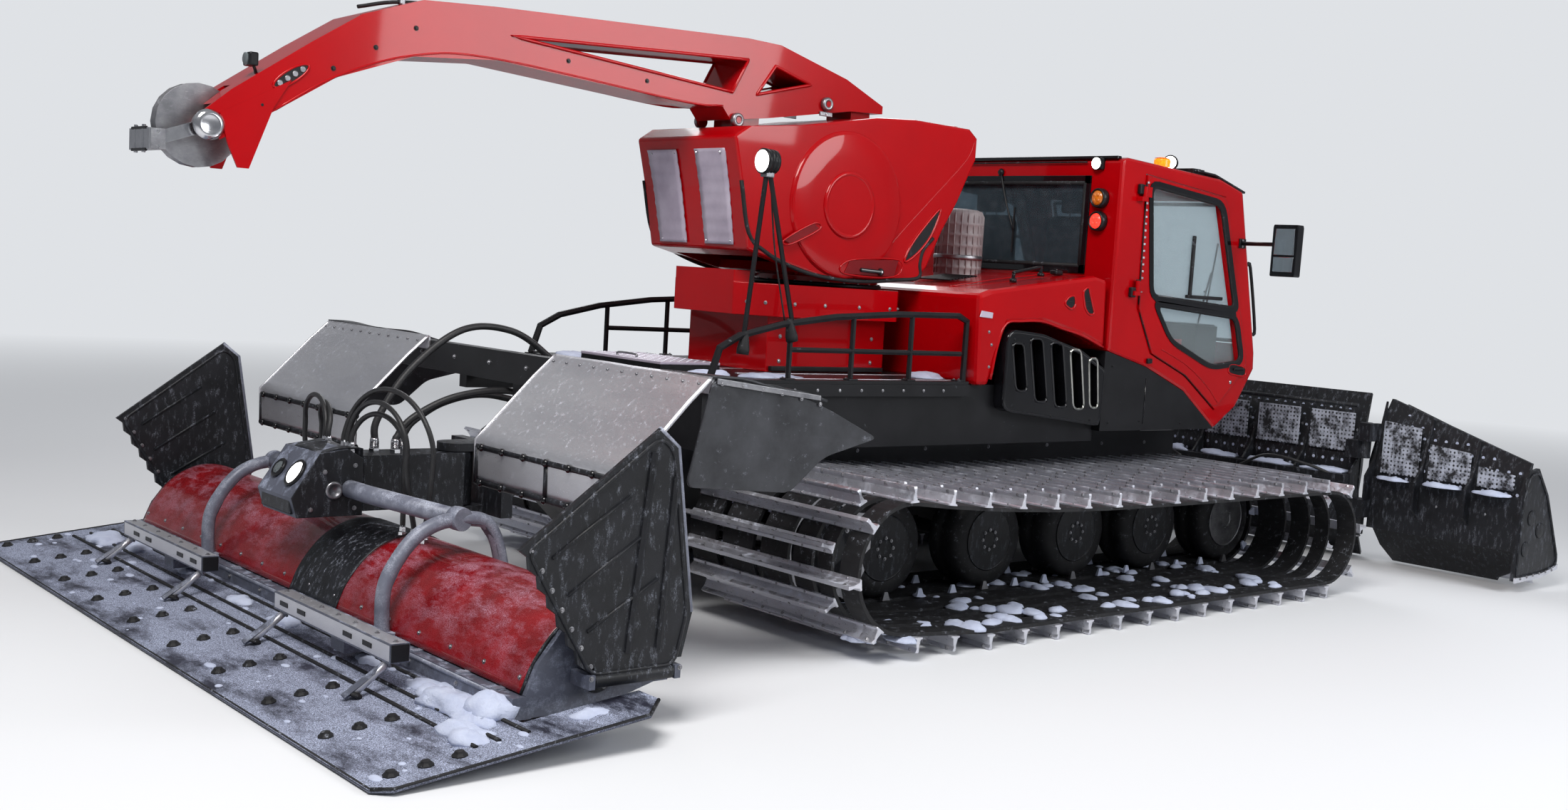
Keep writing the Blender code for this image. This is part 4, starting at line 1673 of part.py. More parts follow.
def tiller_arm():
    half = TILLER_ARM_DEPTH / 2
    cross_front = SWING_X + SWING_BOSS_RADIUS + SWING_EAR_GAP
    cross_rear = cross_front + TILLER_ARM_WIDTH
    low, high = SWING_LOW_Z, SWING_LOW_Z + SWING_HEIGHT
    arm = [
        (TILLER_PIVOT_X, TILLER_PIVOT_Z - half), (TILLER_PIVOT_X, TILLER_PIVOT_Z + half),
        (cross_front + WELD_DEPTH, high), (cross_front + WELD_DEPTH, low + SWING_EAR),
    ]
    pieces, bores = [], []
    for y in (1, -1):
        a, b = side(y, TILLER_ARM_Y - TILLER_ARM_WIDTH / 2, TILLER_ARM_Y + TILLER_ARM_WIDTH / 2)
        pieces.append(sheet_y([arm], a, b))
        pieces.append(
            rod(
                (TILLER_PIVOT_X, a, TILLER_PIVOT_Z), (TILLER_PIVOT_X, b, TILLER_PIVOT_Z), TILLER_EYE_RADIUS,
                FINE_STEPS,
            )
        )
    wide = TILLER_ARM_Y + TILLER_ARM_WIDTH / 2
    pieces.append(box((cross_front, -wide, low - SWING_EAR), (cross_rear, wide, high + SWING_EAR)))
    for a, b in ((low - SWING_EAR, low), (high, high + SWING_EAR)):
        pieces.append(box((SWING_X, -SWING_BOSS_RADIUS, a), (cross_front + WELD_DEPTH, SWING_BOSS_RADIUS, b)))
        pieces.append(rod((SWING_X, 0, a), (SWING_X, 0, b), SWING_BOSS_RADIUS, FINE_STEPS))
    reach = wide + CUT_OVERRUN
    ends = [(TILLER_PIVOT_X, y, TILLER_PIVOT_Z) for y in (-reach, reach)]
    bores.append(bore(ends[0], ends[1], TILLER_PIN_RADIUS, FINE_STEPS))
    ends = [(SWING_X, 0, low - 2 * SWING_EAR), (SWING_X, 0, high + 2 * SWING_EAR)]
    bores.append(bore(ends[0], ends[1], SWING_RADIUS, FINE_STEPS))
    part("tiller_arm", cut(joined(pieces), bores), "black_paint", (TILLER_PIVOT_X, 0, TILLER_PIVOT_Z))
    a, b = low + RUN_CLEARANCE, high - RUN_CLEARANCE
    boss = rod((SWING_X, 0, a), (SWING_X, 0, b), SWING_BOSS_RADIUS - RUN_CLEARANCE, FINE_STEPS)
    king = rod((SWING_X, 0, low - SWING_EAR), (SWING_X, 0, high + SWING_EAR), SWING_RADIUS, FINE_STEPS)
    block = box((HEAD_REAR_X, -HEAD_HALF_WIDTH, a), (SWING_X, HEAD_HALF_WIDTH, b))
    roll = rod(
        (HEAD_REAR_X - ROLL_PIN_LENGTH, 0, ROLL_Z), (HEAD_REAR_X + WELD_DEPTH, 0, ROLL_Z), ROLL_PIN_RADIUS,
        FINE_STEPS,
    )
    part("tiller_head", joined([boss, king, block, roll]), "black_paint", (SWING_X, 0, ROLL_Z))


def hood_line():
    return spread(
        TILLER_HOOD_SHARES, (TILLER_HOOD_REAR_X, TILLER_HOOD_LOW_Z), (TILLER_HOOD_LENGTH, TILLER_HOOD_HEIGHT),
    )


def arch(y, radius):
    """The bent tube over the hood, from the rear beam through the hood to the front beam."""
    foot_z = (REAR_BEAM_LOW_Z + TILLER_HOOD_LOW_Z) / 2
    line = spread(ARCH_SHARES, (TILLER_HOOD_REAR_X, foot_z), (TILLER_HOOD_LENGTH, ARCH_HEIGHT))
    return tube([(x, y * ARCH_Y, z) for x, z in line], radius)


def tiller_frame():
    hood_front = TILLER_HOOD_REAR_X + TILLER_HOOD_LENGTH
    wide = TILLER_HALF_WIDTH + TOUCH_GAP + END_PLATE
    rear_x = TILLER_HOOD_REAR_X - REAR_BEAM_DEPTH * 2 / 3
    front_x = hood_front - FRONT_BEAM_DEPTH / 3
    sheet = both_ways(hood_line(), HOOD_SHEET)
    rear_top = min(z for x, z in sheet if x < ROTOR_X) - TOUCH_GAP
    front_top = min(z for x, z in sheet if x > ROTOR_X) - TOUCH_GAP
    pieces = [
        box((rear_x, -wide, REAR_BEAM_LOW_Z), (rear_x + REAR_BEAM_DEPTH, wide, rear_top)),
        box((front_x, -wide, FRONT_BEAM_LOW_Z), (front_x + FRONT_BEAM_DEPTH, wide, front_top)),
    ]
    middle = ROTOR_INNER_Y / 2
    line = hood_line()
    under = both_ways(line, HOOD_SHEET + TOUCH_GAP)[len(line):][::-1]
    foot_low = REAR_BEAM_LOW_Z + WELD_DEPTH
    web = under + [
        (under[-1][0], FRONT_BEAM_LOW_Z + WELD_DEPTH), (ROTOR_X, foot_low), (under[0][0], foot_low),
    ]
    cheek = line + web[len(under):]
    pieces.append(sheet_y([web], -middle, middle))
    bores, foot_z = [], (REAR_BEAM_LOW_Z + TILLER_HOOD_LOW_Z) / 2
    bores.append(bore(
        (ROTOR_X, -wide - CUT_OVERRUN, ROTOR_Z), (ROTOR_X, wide + CUT_OVERRUN, ROTOR_Z), JOURNAL_RADIUS,
    ))
    for y in (1, -1):
        a, b = side(y, TILLER_HALF_WIDTH + TOUCH_GAP, wide)
        pieces.append(sheet_y([cheek], a, b))
        pieces.append(arch(y, ARCH_RADIUS))
        inner_x = BOX_FRONT_X - SHEAVE_WIDTH
        crown = (TILLER_HOOD_REAR_X + TILLER_HOOD_LENGTH / 2, y * ARCH_Y, foot_z + ARCH_HEIGHT)
        start = (inner_x, y * (BOX_HALF_WIDTH - HINGE_SEAT), ROLL_Z)
        pieces.append(tube([start, (inner_x, y * BOX_HALF_WIDTH * 2, ROLL_Z), crown], CROSS_TUBE_RADIUS, 2))
        lug_a, lug_b = side(y, wide - WELD_DEPTH, FOLD_Y + FOLD_LUG)
        for low in (FOLD_REAR_X - FOLD_LUG, FOLD_FRONT_X):
            pieces.append(box((low, lug_a, FOLD_Z - FOLD_LUG), (low + FOLD_LUG, lug_b, FOLD_Z + FOLD_LUG)))
        pieces.append(rod(
            (FOLD_REAR_X - WELD_DEPTH, y * FOLD_Y, FOLD_Z), (FOLD_FRONT_X + WELD_DEPTH, y * FOLD_Y, FOLD_Z),
            FOLD_PIN_RADIUS,
        ))
        press_a, press_b = side(y, PRESS_INNER_Y, PRESS_OUTER_Y)
        pieces.append(box(
            (PRESS_X, press_a, PRESS_LOW_Z), (PRESS_X + PRESS_DEPTH, press_b, PRESS_LOW_Z + PRESS_HEIGHT),
        ))
        arm_a, arm_b = side(y, ARCH_Y - PRESS_ARM_WIDTH, ARCH_Y + PRESS_ARM_WIDTH)
        pieces.append(box(
            (PRESS_X + PRESS_DEPTH / 2, arm_a, foot_z), (
                rear_x + WELD_DEPTH, arm_b, PRESS_LOW_Z + WELD_DEPTH,
            ),
        ))
        for place in (PRESS_INNER_Y + PRESS_ARM_WIDTH, PRESS_OUTER_Y - PRESS_ARM_WIDTH):
            head = (PRESS_X + PRESS_DEPTH / 2, y * place, PRESS_LOW_Z + WELD_DEPTH)
            toe = (
                PRESS_X - PRESS_LEG_BACK, y * place,
                sweep_top(PRESS_X - PRESS_LEG_BACK) + PRESS_FOOT_GAP + PRESS_LEG_RADIUS,
            )
            pieces.append(tube([head, toe], PRESS_LEG_RADIUS))
    box_span = (BOX_REAR_X - BOX_FRONT_X, BOX_TOP_Z - BOX_LOW_Z)
    pieces.append(sheet_y(
        [spread(BOX_SHARES, (BOX_FRONT_X, BOX_LOW_Z), box_span)], -BOX_HALF_WIDTH, BOX_HALF_WIDTH,
    ))
    bores.append(bore(
        (HEAD_REAR_X - ROLL_PIN_LENGTH - RUN_CLEARANCE, 0, ROLL_Z), (HEAD_REAR_X, 0, ROLL_Z),
        ROLL_PIN_RADIUS, FINE_STEPS,
    ))
    part("tiller_frame", cut(joined(pieces), bores), "grey_paint", (HEAD_REAR_X, 0, ROLL_Z))


def tiller_hood():
    line = hood_line()
    pieces = [sheet_y([both_ways(line, HOOD_SHEET)], -TILLER_HALF_WIDTH, TILLER_HALF_WIDTH)]
    cutters = []
    for y in (1, -1):
        a, b = side(y, TILLER_HALF_WIDTH - HOOD_SHEET, TILLER_HALF_WIDTH)
        pieces.append(sheet_y([line], a, b))
        cutters.append(rod(
            (ROTOR_X, a - CUT_OVERRUN / 2, ROTOR_Z),
            (ROTOR_X, b + CUT_OVERRUN / 2, ROTOR_Z), JOURNAL_RADIUS * 2,
        ))
        cutters.append(arch(y, ARCH_RADIUS + PIN_GAP))
    part("tiller_hood", cut(joined(pieces), cutters), "red_paint", (HEAD_REAR_X, 0, ROLL_Z))


def rotors():
    for name, y in (("left", 1), ("right", -1)):
        a, b = side(y, ROTOR_INNER_Y, ROTOR_OUTER_Y)
        pieces = [rod((ROTOR_X, a, ROTOR_Z), (ROTOR_X, b, ROTOR_Z), ROTOR_SHAFT_RADIUS)]
        end_a, end_b = side(y, ROTOR_INNER_Y / 4, TILLER_HALF_WIDTH + END_PLATE / 2)
        pieces.append(rod((ROTOR_X, end_a, ROTOR_Z), (ROTOR_X, end_b, ROTOR_Z), JOURNAL_RADIUS))
        step = (ROTOR_OUTER_Y - ROTOR_INNER_Y) / TINE_ROWS
        for n in range(TINE_ROWS):
            place = y * (ROTOR_INNER_Y + (n + 0.5) * step)
            for half_turn in (0, math.pi):
                angle = n * TINE_TURN + half_turn
                root = ROTOR_SHAFT_RADIUS - CUT_OVERRUN / 2
                out = Vector((math.cos(angle), 0, math.sin(angle)))
                centre = Vector((ROTOR_X, place, ROTOR_Z))
                pieces.append(rod(centre + out * root, centre + out * TINE_RADIUS, TINE_WIDTH, 4, TINE_TIP))
        part("rotor_" + name, joined(pieces), "steel", (ROTOR_X, 0, ROTOR_Z))


def sweep_top(x):
    share = (x - FLAP_REAR_X) / (SWEEP_FRONT_X - FLAP_REAR_X)
    return SWEEP_REAR_Z + SWEEP_THICKNESS + share * SWEEP_FRONT_RISE


def finisher_flap():
    """A tilted rubber sheet: flat first, then sheared up towards its front edge."""
    front = TILLER_HOOD_REAR_X - REAR_BEAM_DEPTH * 2 / 3 - TOUCH_GAP
    wide, notch, corner = SWEEP_HALF_WIDTH, SWEEP_NOTCH_Y, SWEEP_CORNER
    half = [
        (FLAP_REAR_X, 0), (FLAP_REAR_X, wide - corner / 2), (FLAP_REAR_X + corner / 2, wide),
        (SWEEP_FRONT_X - corner, wide), (SWEEP_FRONT_X, wide - corner), (SWEEP_FRONT_X, notch), (
            front, notch,
        ),
        (front, 0),
    ]
    outline = half[1:-1] + [(x, -y) for x, y in half[1:-1][::-1]]
    sheet = sheet_z([outline], 0, SWEEP_THICKNESS)
    pieces = [sheet]
    spacing = 2 * (wide - corner) / (NUB_COUNT - 1)
    for x in NUB_ROWS_X:
        for n in range(NUB_COUNT):
            y = -wide + corner + n * spacing
            low, high = SWEEP_THICKNESS / 2, SWEEP_THICKNESS + NUB_HEIGHT
            pieces.append(rod((x, y, low), (x, y, high), NUB_SIZE, 4, NUB_SIZE / 2))
    flap = joined(pieces)
    rise = SWEEP_FRONT_RISE / (SWEEP_FRONT_X - FLAP_REAR_X)
    shear = Matrix(
        ((1, 0, 0, 0), (0, 1, 0, 0), (rise, 0, 1, SWEEP_REAR_Z - rise * FLAP_REAR_X), (0, 0, 0, 1))
    )
    flap.data.transform(shear)
    part("finisher_flap", flap, "rubber", (HEAD_REAR_X, 0, ROLL_Z))


def side_wings():
    points = spread(FOLD_SIDE_SHARES, (FOLD_START_X, FOLD_LOW_Z), (FOLD_LENGTH, FOLD_HEIGHT))
    # teeth along the edge from the first point to the second
    first, second = Vector(points[0]), Vector(points[1])
    along = second - first
    inward = Vector((-along.y, along.x)).normalized()
    toothed = []
    for n in range(FOLD_TEETH):
        toothed.append(tuple(first + along * n / FOLD_TEETH))
        toothed.append(tuple(first + along * (n + 0.5) / FOLD_TEETH + inward * FOLD_TOOTH))
    outline = toothed + points[1:]
    low, high = FOLD_Y - FOLD_PLATE / 2, FOLD_Y + FOLD_PLATE / 2
    plate = sheet_y([outline], low, high)
    pieces = [plate]
    start, span = (FOLD_START_X, FOLD_LOW_Z), (FOLD_LENGTH, FOLD_HEIGHT)
    for foot, foot_z, head, head_z in FOLD_RIDGE_SHARES:
        (x0, z0), (x1, z1) = spread(((foot, foot_z), (head, head_z)), start, span)
        pieces.append(tube([(x0, high, z0), (x1, high, z1)], FOLD_RIDGE))
    rear, front = FOLD_REAR_X + RUN_CLEARANCE, FOLD_FRONT_X - RUN_CLEARANCE
    pieces.append(rod((rear, FOLD_Y, FOLD_Z), (front, FOLD_Y, FOLD_Z), FOLD_BARREL_RADIUS))
    cutters = [bore(
        (rear - CUT_OVERRUN, FOLD_Y, FOLD_Z), (front + CUT_OVERRUN, FOLD_Y, FOLD_Z), FOLD_PIN_RADIUS,
    )]
    for start_x, end_x in ((rear, rear - 2 * FOLD_LUG), (front, front + 2 * FOLD_LUG)):
        cutters.append(rod((start_x, FOLD_Y, FOLD_Z), (end_x, FOLD_Y, FOLD_Z), FOLD_LUG * 2))
    left = cut(joined(pieces), cutters)
    right = mirrored(left)
    part("side_wing_left", left, "rubber", (FOLD_REAR_X, FOLD_Y, FOLD_Z))
    part("side_wing_right", right, "rubber", (FOLD_REAR_X, -FOLD_Y, FOLD_Z))


def hoses():
    for number, route in enumerate(HOSE_ROUTES):
        part("hose_%d" % (number + 1), tube(route, HOSE_RADIUS, 2), "rubber")


def build():
    running_gear()
    chassis()
    rear_guards()
    hood()
    cab()
    doors()
    cab_inside()
    roof_lamps()
    winch_housing()
    boom()
    push_frame()
    blade()
    blade_wings()
    tiller_arm()
    tiller_frame()
    tiller_hood()
    rotors()
    finisher_flap()
    side_wings()
    hoses()
    bpy.data.collections.remove(WORKSHOP)


build()
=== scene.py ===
import math
import random

import bmesh
import bpy
from mathutils import Matrix, Vector
from mathutils import noise as lumps


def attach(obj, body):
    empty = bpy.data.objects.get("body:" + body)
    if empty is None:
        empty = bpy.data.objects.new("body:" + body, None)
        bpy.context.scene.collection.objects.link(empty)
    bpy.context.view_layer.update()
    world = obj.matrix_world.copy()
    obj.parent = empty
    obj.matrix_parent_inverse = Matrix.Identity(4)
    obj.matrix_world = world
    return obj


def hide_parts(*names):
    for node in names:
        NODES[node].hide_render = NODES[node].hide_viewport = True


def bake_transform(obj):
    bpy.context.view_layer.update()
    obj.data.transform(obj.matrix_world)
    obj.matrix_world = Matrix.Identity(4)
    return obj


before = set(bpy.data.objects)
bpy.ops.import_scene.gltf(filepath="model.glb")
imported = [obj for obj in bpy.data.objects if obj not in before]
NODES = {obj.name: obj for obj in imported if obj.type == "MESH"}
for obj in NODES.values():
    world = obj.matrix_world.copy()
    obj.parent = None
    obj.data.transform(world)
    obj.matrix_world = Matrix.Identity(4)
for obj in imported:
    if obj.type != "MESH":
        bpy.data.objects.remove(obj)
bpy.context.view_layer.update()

# Places are written from the middle of the tracks, as in the part's source. DX moves them to the frame.
DX = 0.06
SIDES = (("left", 1), ("right", -1))

# Places and sizes shared with the part; a span is (along x, along z) of an outline given as shares
TOUCH_GAP = 0.0003
DRUM_X, DRUM_Z, HOUSING_Y = -0.82, 2.42, 0.50
BOOM_PLACE, BOOM_SPAN = (-4.58, 2.435), (4.31, 0.94)
SHEAVE_X, SHEAVE_Z = -4.548, 2.499
CAB_PLACE, CAB_SPAN = (1.18, 1.055), (1.73, 1.855)
POD_PLACE, POD_SPAN = (0.10, 1.09), (1.11, 0.70)
GUARD_PLACE, GUARD_SPAN, MUDFLAP_SPAN = (-2.945, 1.487), (-0.44, -0.66), (1.12, -0.50)
ROTOR_X, ROTOR_Z = -3.66, 0.235
ARCH_Y, SIDE_WING_Y = 1.10, 2.45
FLAP_BACK, FLAP_LENGTH, FLAP_LOW, FLAP_RISE = -4.82, 1.32, 0.018, 0.15
BLADE_PLACE, BLADE_SPAN = (4.06, 0.036), (0.36, 1.296)
WING_START, WING_LENGTH, WING_DROP = 1.345, 1.295, 0.30


# Camera at the photograph's place, worked out from the machine's own perspective

CAMERA_PLACE = (-7.36332 + DX, -7.99054, 1.97287)
AZIMUTH, ELEVATION, ROLL = 0.82830797, -0.10442713, 0.06600842
LENS, SENSOR = 36.85, 36
PHOTO_WIDTH, PHOTO_HEIGHT = 2200, 1137
OPTICAL_X, OPTICAL_Y = 1220.957, 630.215


def make_camera():
    azimuth, elevation, roll = AZIMUTH, ELEVATION, ROLL
    ahead = Vector(
        (
            math.cos(elevation) * math.cos(azimuth), math.cos(elevation) * math.sin(azimuth),
            math.sin(elevation),
        )
    )
    right = ahead.cross(Vector((0, 0, 1))).normalized()
    up = right.cross(ahead)
    across = math.cos(roll) * right + math.sin(roll) * up
    over = math.cos(roll) * up - math.sin(roll) * right
    data = bpy.data.cameras.new("camera")
    camera = bpy.data.objects.new("camera", data)
    bpy.context.scene.collection.objects.link(camera)
    turn = Matrix((across, over, -ahead)).transposed()
    camera.matrix_world = Matrix.Translation(CAMERA_PLACE) @ turn.to_4x4()
    data.sensor_width = SENSOR
    data.lens = LENS
    data.shift_x = (PHOTO_WIDTH / 2 - OPTICAL_X) / PHOTO_WIDTH
    data.shift_y = (OPTICAL_Y - PHOTO_HEIGHT / 2) / PHOTO_WIDTH
    data.clip_end = 200
    bpy.context.scene.camera = camera


make_camera()


# Materials

def graph(name):
    """A new material, its node tree and its main shader."""
    made = bpy.data.materials.new(name)
    made.use_nodes = True
    tree = made.node_tree
    return made, tree, tree.nodes["Principled BSDF"]


def node(tree, kind, **settings):
    """A new node; in_NAME sets an input, and any other name an attribute."""
    made = tree.nodes.new(kind)
    for key, value in settings.items():
        if key.startswith("in_"):
            slot = key[3:]
            made.inputs[int(slot) if slot.isdigit() else slot.replace("_", " ")].default_value = value
        else:
            setattr(made, key, value)
    return made


def noise(tree, scale, detail=4.0, rough=0.55, stretch=(1, 1, 1), warp=0.0):
    """A noise over the piece's own coordinates, in metres, stretched along the axes."""
    place = node(tree, "ShaderNodeTexCoord")
    mapping = node(tree, "ShaderNodeMapping", in_Scale=stretch)
    texture = node(
        tree, "ShaderNodeTexNoise", in_Scale=scale, in_Detail=detail, in_Roughness=rough,
        in_Distortion=warp,
    )
    tree.links.new(place.outputs["Object"], mapping.inputs["Vector"])
    tree.links.new(mapping.outputs["Vector"], texture.inputs["Vector"])
    return texture.outputs["Fac"]


def ranged(tree, value, low, high, to_low=0.0, to_high=1.0):
    """The value moved from one range to another, and held inside it."""
    made = node(
        tree, "ShaderNodeMapRange", in_From_Min=low, in_From_Max=high, in_To_Min=to_low, in_To_Max=to_high,
    )
    tree.links.new(value, made.inputs["Value"])
    return made.outputs["Result"]


def times(tree, a, b, operation="MULTIPLY"):
    """Two values or outputs joined by one operation, held from 0 to 1."""
    made = node(tree, "ShaderNodeMath", operation=operation, use_clamp=True)
    for n, value in enumerate((a, b)):
        if isinstance(value, (int, float)):
            made.inputs[n].default_value = value
        else:
            tree.links.new(value, made.inputs[n])
    return made.outputs[0]


def blended(tree, share, a, b):
    """The colour between a and b at this share."""
    made = node(tree, "ShaderNodeMix", data_type="RGBA")
    for n, value in ((6, a), (7, b)):
        if isinstance(value, tuple):
            made.inputs[n].default_value = (*value, 1)
        else:
            tree.links.new(value, made.inputs[n])
    tree.links.new(share, made.inputs[0])
    return made.outputs[2]


def upward(tree, low=0.1, high=0.9):
    """1 where the surface faces up at rest, 0 where it faces sideways or down."""
    place = node(tree, "ShaderNodeTexCoord")
    split = node(tree, "ShaderNodeSeparateXYZ")
    tree.links.new(place.outputs["Normal"], split.inputs[0])
    return ranged(tree, split.outputs["Z"], low, high)


def look(
    name, colour, tone=None, rough=0.5, metal=0.0, coat=0.0, patch=6.0, grain=120.0, stretch=(1, 1, 1),
    bump=0.05, frost=0.0, frost_scale=9.0, frost_colour=(0.72, 0.77, 0.90), frost_stretch=(1, 1, 1),
    scratch=0.0, sheen=0.0, rough_swing=0.12, spec=0.5, top=0.25, speck=0.35,
):
    """A painted, metal or rubber surface: patchy colour, grain, scratches, and frost gathering on top."""
    made, tree, shader = graph(name)
    tone = tone or tuple(min(1.0, c * 0.72 + 0.004) for c in colour)
    patches = ranged(tree, noise(tree, patch, 5.0, 0.6, stretch), 0.3, 0.7)
    colours = blended(tree, patches, colour, tone)
    fine = noise(tree, grain, 3.0, 0.6, stretch)
    rough_now = ranged(
        tree, fine, 0.25, 0.75, max(0.03, rough - rough_swing), min(1.0, rough + rough_swing),
    )
    height = fine
    if scratch:
        lines = ranged(tree, noise(tree, 26.0, 6.0, 0.75, (1.0, 9.0, 9.0), 0.4), 0.60, 0.66)
        marks = times(tree, lines, scratch)
        colours = blended(tree, marks, colours, tuple(min(1.0, c * 1.8 + 0.12) for c in colour))
    if frost:
        cover = noise(tree, frost_scale, 9.0, 0.72, frost_stretch)
        edge = 0.66 - 0.30 * frost
        mask = ranged(tree, cover, edge, edge + 0.14)
        spots = ranged(tree, noise(tree, 190.0, 4.0, 0.7), 0.42, 0.62)
        mask = times(tree, mask, ranged(tree, spots, 0.0, 1.0, speck, 1.0))
        mask = times(tree, mask, ranged(tree, upward(tree, -0.2, 0.85), 0.0, 1.0, top, 1.0))
        colours = blended(tree, mask, colours, frost_colour)
        rough_now = times(tree, rough_now, times(tree, mask, 0.5), "ADD")
        height = times(tree, fine, times(tree, mask, 0.6), "ADD")
        if metal:
            tree.links.new(ranged(tree, mask, 0.0, 1.0, metal, 0.0), shader.inputs["Metallic"])
    tree.links.new(colours, shader.inputs["Base Color"])
    tree.links.new(rough_now, shader.inputs["Roughness"])
    if metal and not frost:
        shader.inputs["Metallic"].default_value = metal
    shader.inputs["Specular IOR Level"].default_value = spec
    if coat:
        shader.inputs["Coat Weight"].default_value = coat
        shader.inputs["Coat Roughness"].default_value = 0.04
    if sheen:
        shader.inputs["Sheen Weight"].default_value = sheen
    relief = node(tree, "ShaderNodeBump", in_Strength=bump, in_Distance=0.004)
    tree.links.new(height, relief.inputs["Height"])
    tree.links.new(relief.outputs["Normal"], shader.inputs["Normal"])
    return made


def holes(name, colour, dark):
    """Plate with rows of round holes and frost packed between them."""
    made, tree, shader = graph(name)
    place = node(tree, "ShaderNodeTexCoord")
    dots = node(tree, "ShaderNodeTexVoronoi", in_Scale=31.0, in_Randomness=0.12)
    tree.links.new(place.outputs["Object"], dots.inputs["Vector"])
    ring = ranged(tree, dots.outputs["Distance"], 0.30, 0.42)
    patches = ranged(tree, noise(tree, 9.0, 6.0, 0.7), 0.40, 0.56)
    cover = times(tree, ring, patches)
    tree.links.new(blended(tree, cover, dark, colour), shader.inputs["Base Color"])
    fine = noise(tree, 190.0, 3.0, 0.6)
    tree.links.new(ranged(tree, fine, 0.25, 0.75, 0.5, 0.8), shader.inputs["Roughness"])
    relief = node(tree, "ShaderNodeBump", in_Strength=0.6, in_Distance=0.006)
    tree.links.new(times(tree, cover, fine, "ADD"), relief.inputs["Height"])
    tree.links.new(relief.outputs["Normal"], shader.inputs["Normal"])
    return made


def glow(name, colour, strength, base=(0.9, 0.9, 0.9)):
    """A lit lamp: brightest in the middle of its cells."""
    made, tree, shader = graph(name)
    place = node(tree, "ShaderNodeTexCoord")
    cells = node(tree, "ShaderNodeTexVoronoi", in_Scale=60.0)
    tree.links.new(place.outputs["Object"], cells.inputs["Vector"])
    shine = ranged(tree, cells.outputs["Distance"], 0.0, 0.6, strength, strength * 0.6)
    tree.links.new(shine, shader.inputs["Emission Strength"])
    shader.inputs["Emission Color"].default_value = (*colour, 1)
    tone = blended(
        tree, ranged(tree, cells.outputs["Distance"], 0.0, 0.7), base, tuple(c * 0.8 for c in base),
    )
    tree.links.new(tone, shader.inputs["Base Color"])
    shader.inputs["Roughness"].default_value = 0.2
    return made


def pane(name, tint, through=0.85):
    """Tinted glass with a film of dust."""
    made, tree, shader = graph(name)
    film = ranged(tree, noise(tree, 7.0, 6.0, 0.65, (1, 1, 2.5)), 0.35, 0.75, 0.03, 0.15)
    tree.links.new(film, shader.inputs["Roughness"])
    dust = ranged(tree, noise(tree, 14.0, 6.0, 0.7), 0.45, 0.8, 0.0, 0.25)
    tree.links.new(blended(tree, dust, tint, (0.5, 0.55, 0.62)), shader.inputs["Base Color"])
    shader.inputs["Transmission Weight"].default_value = through
    shader.inputs["IOR"].default_value = 1.12
    return made


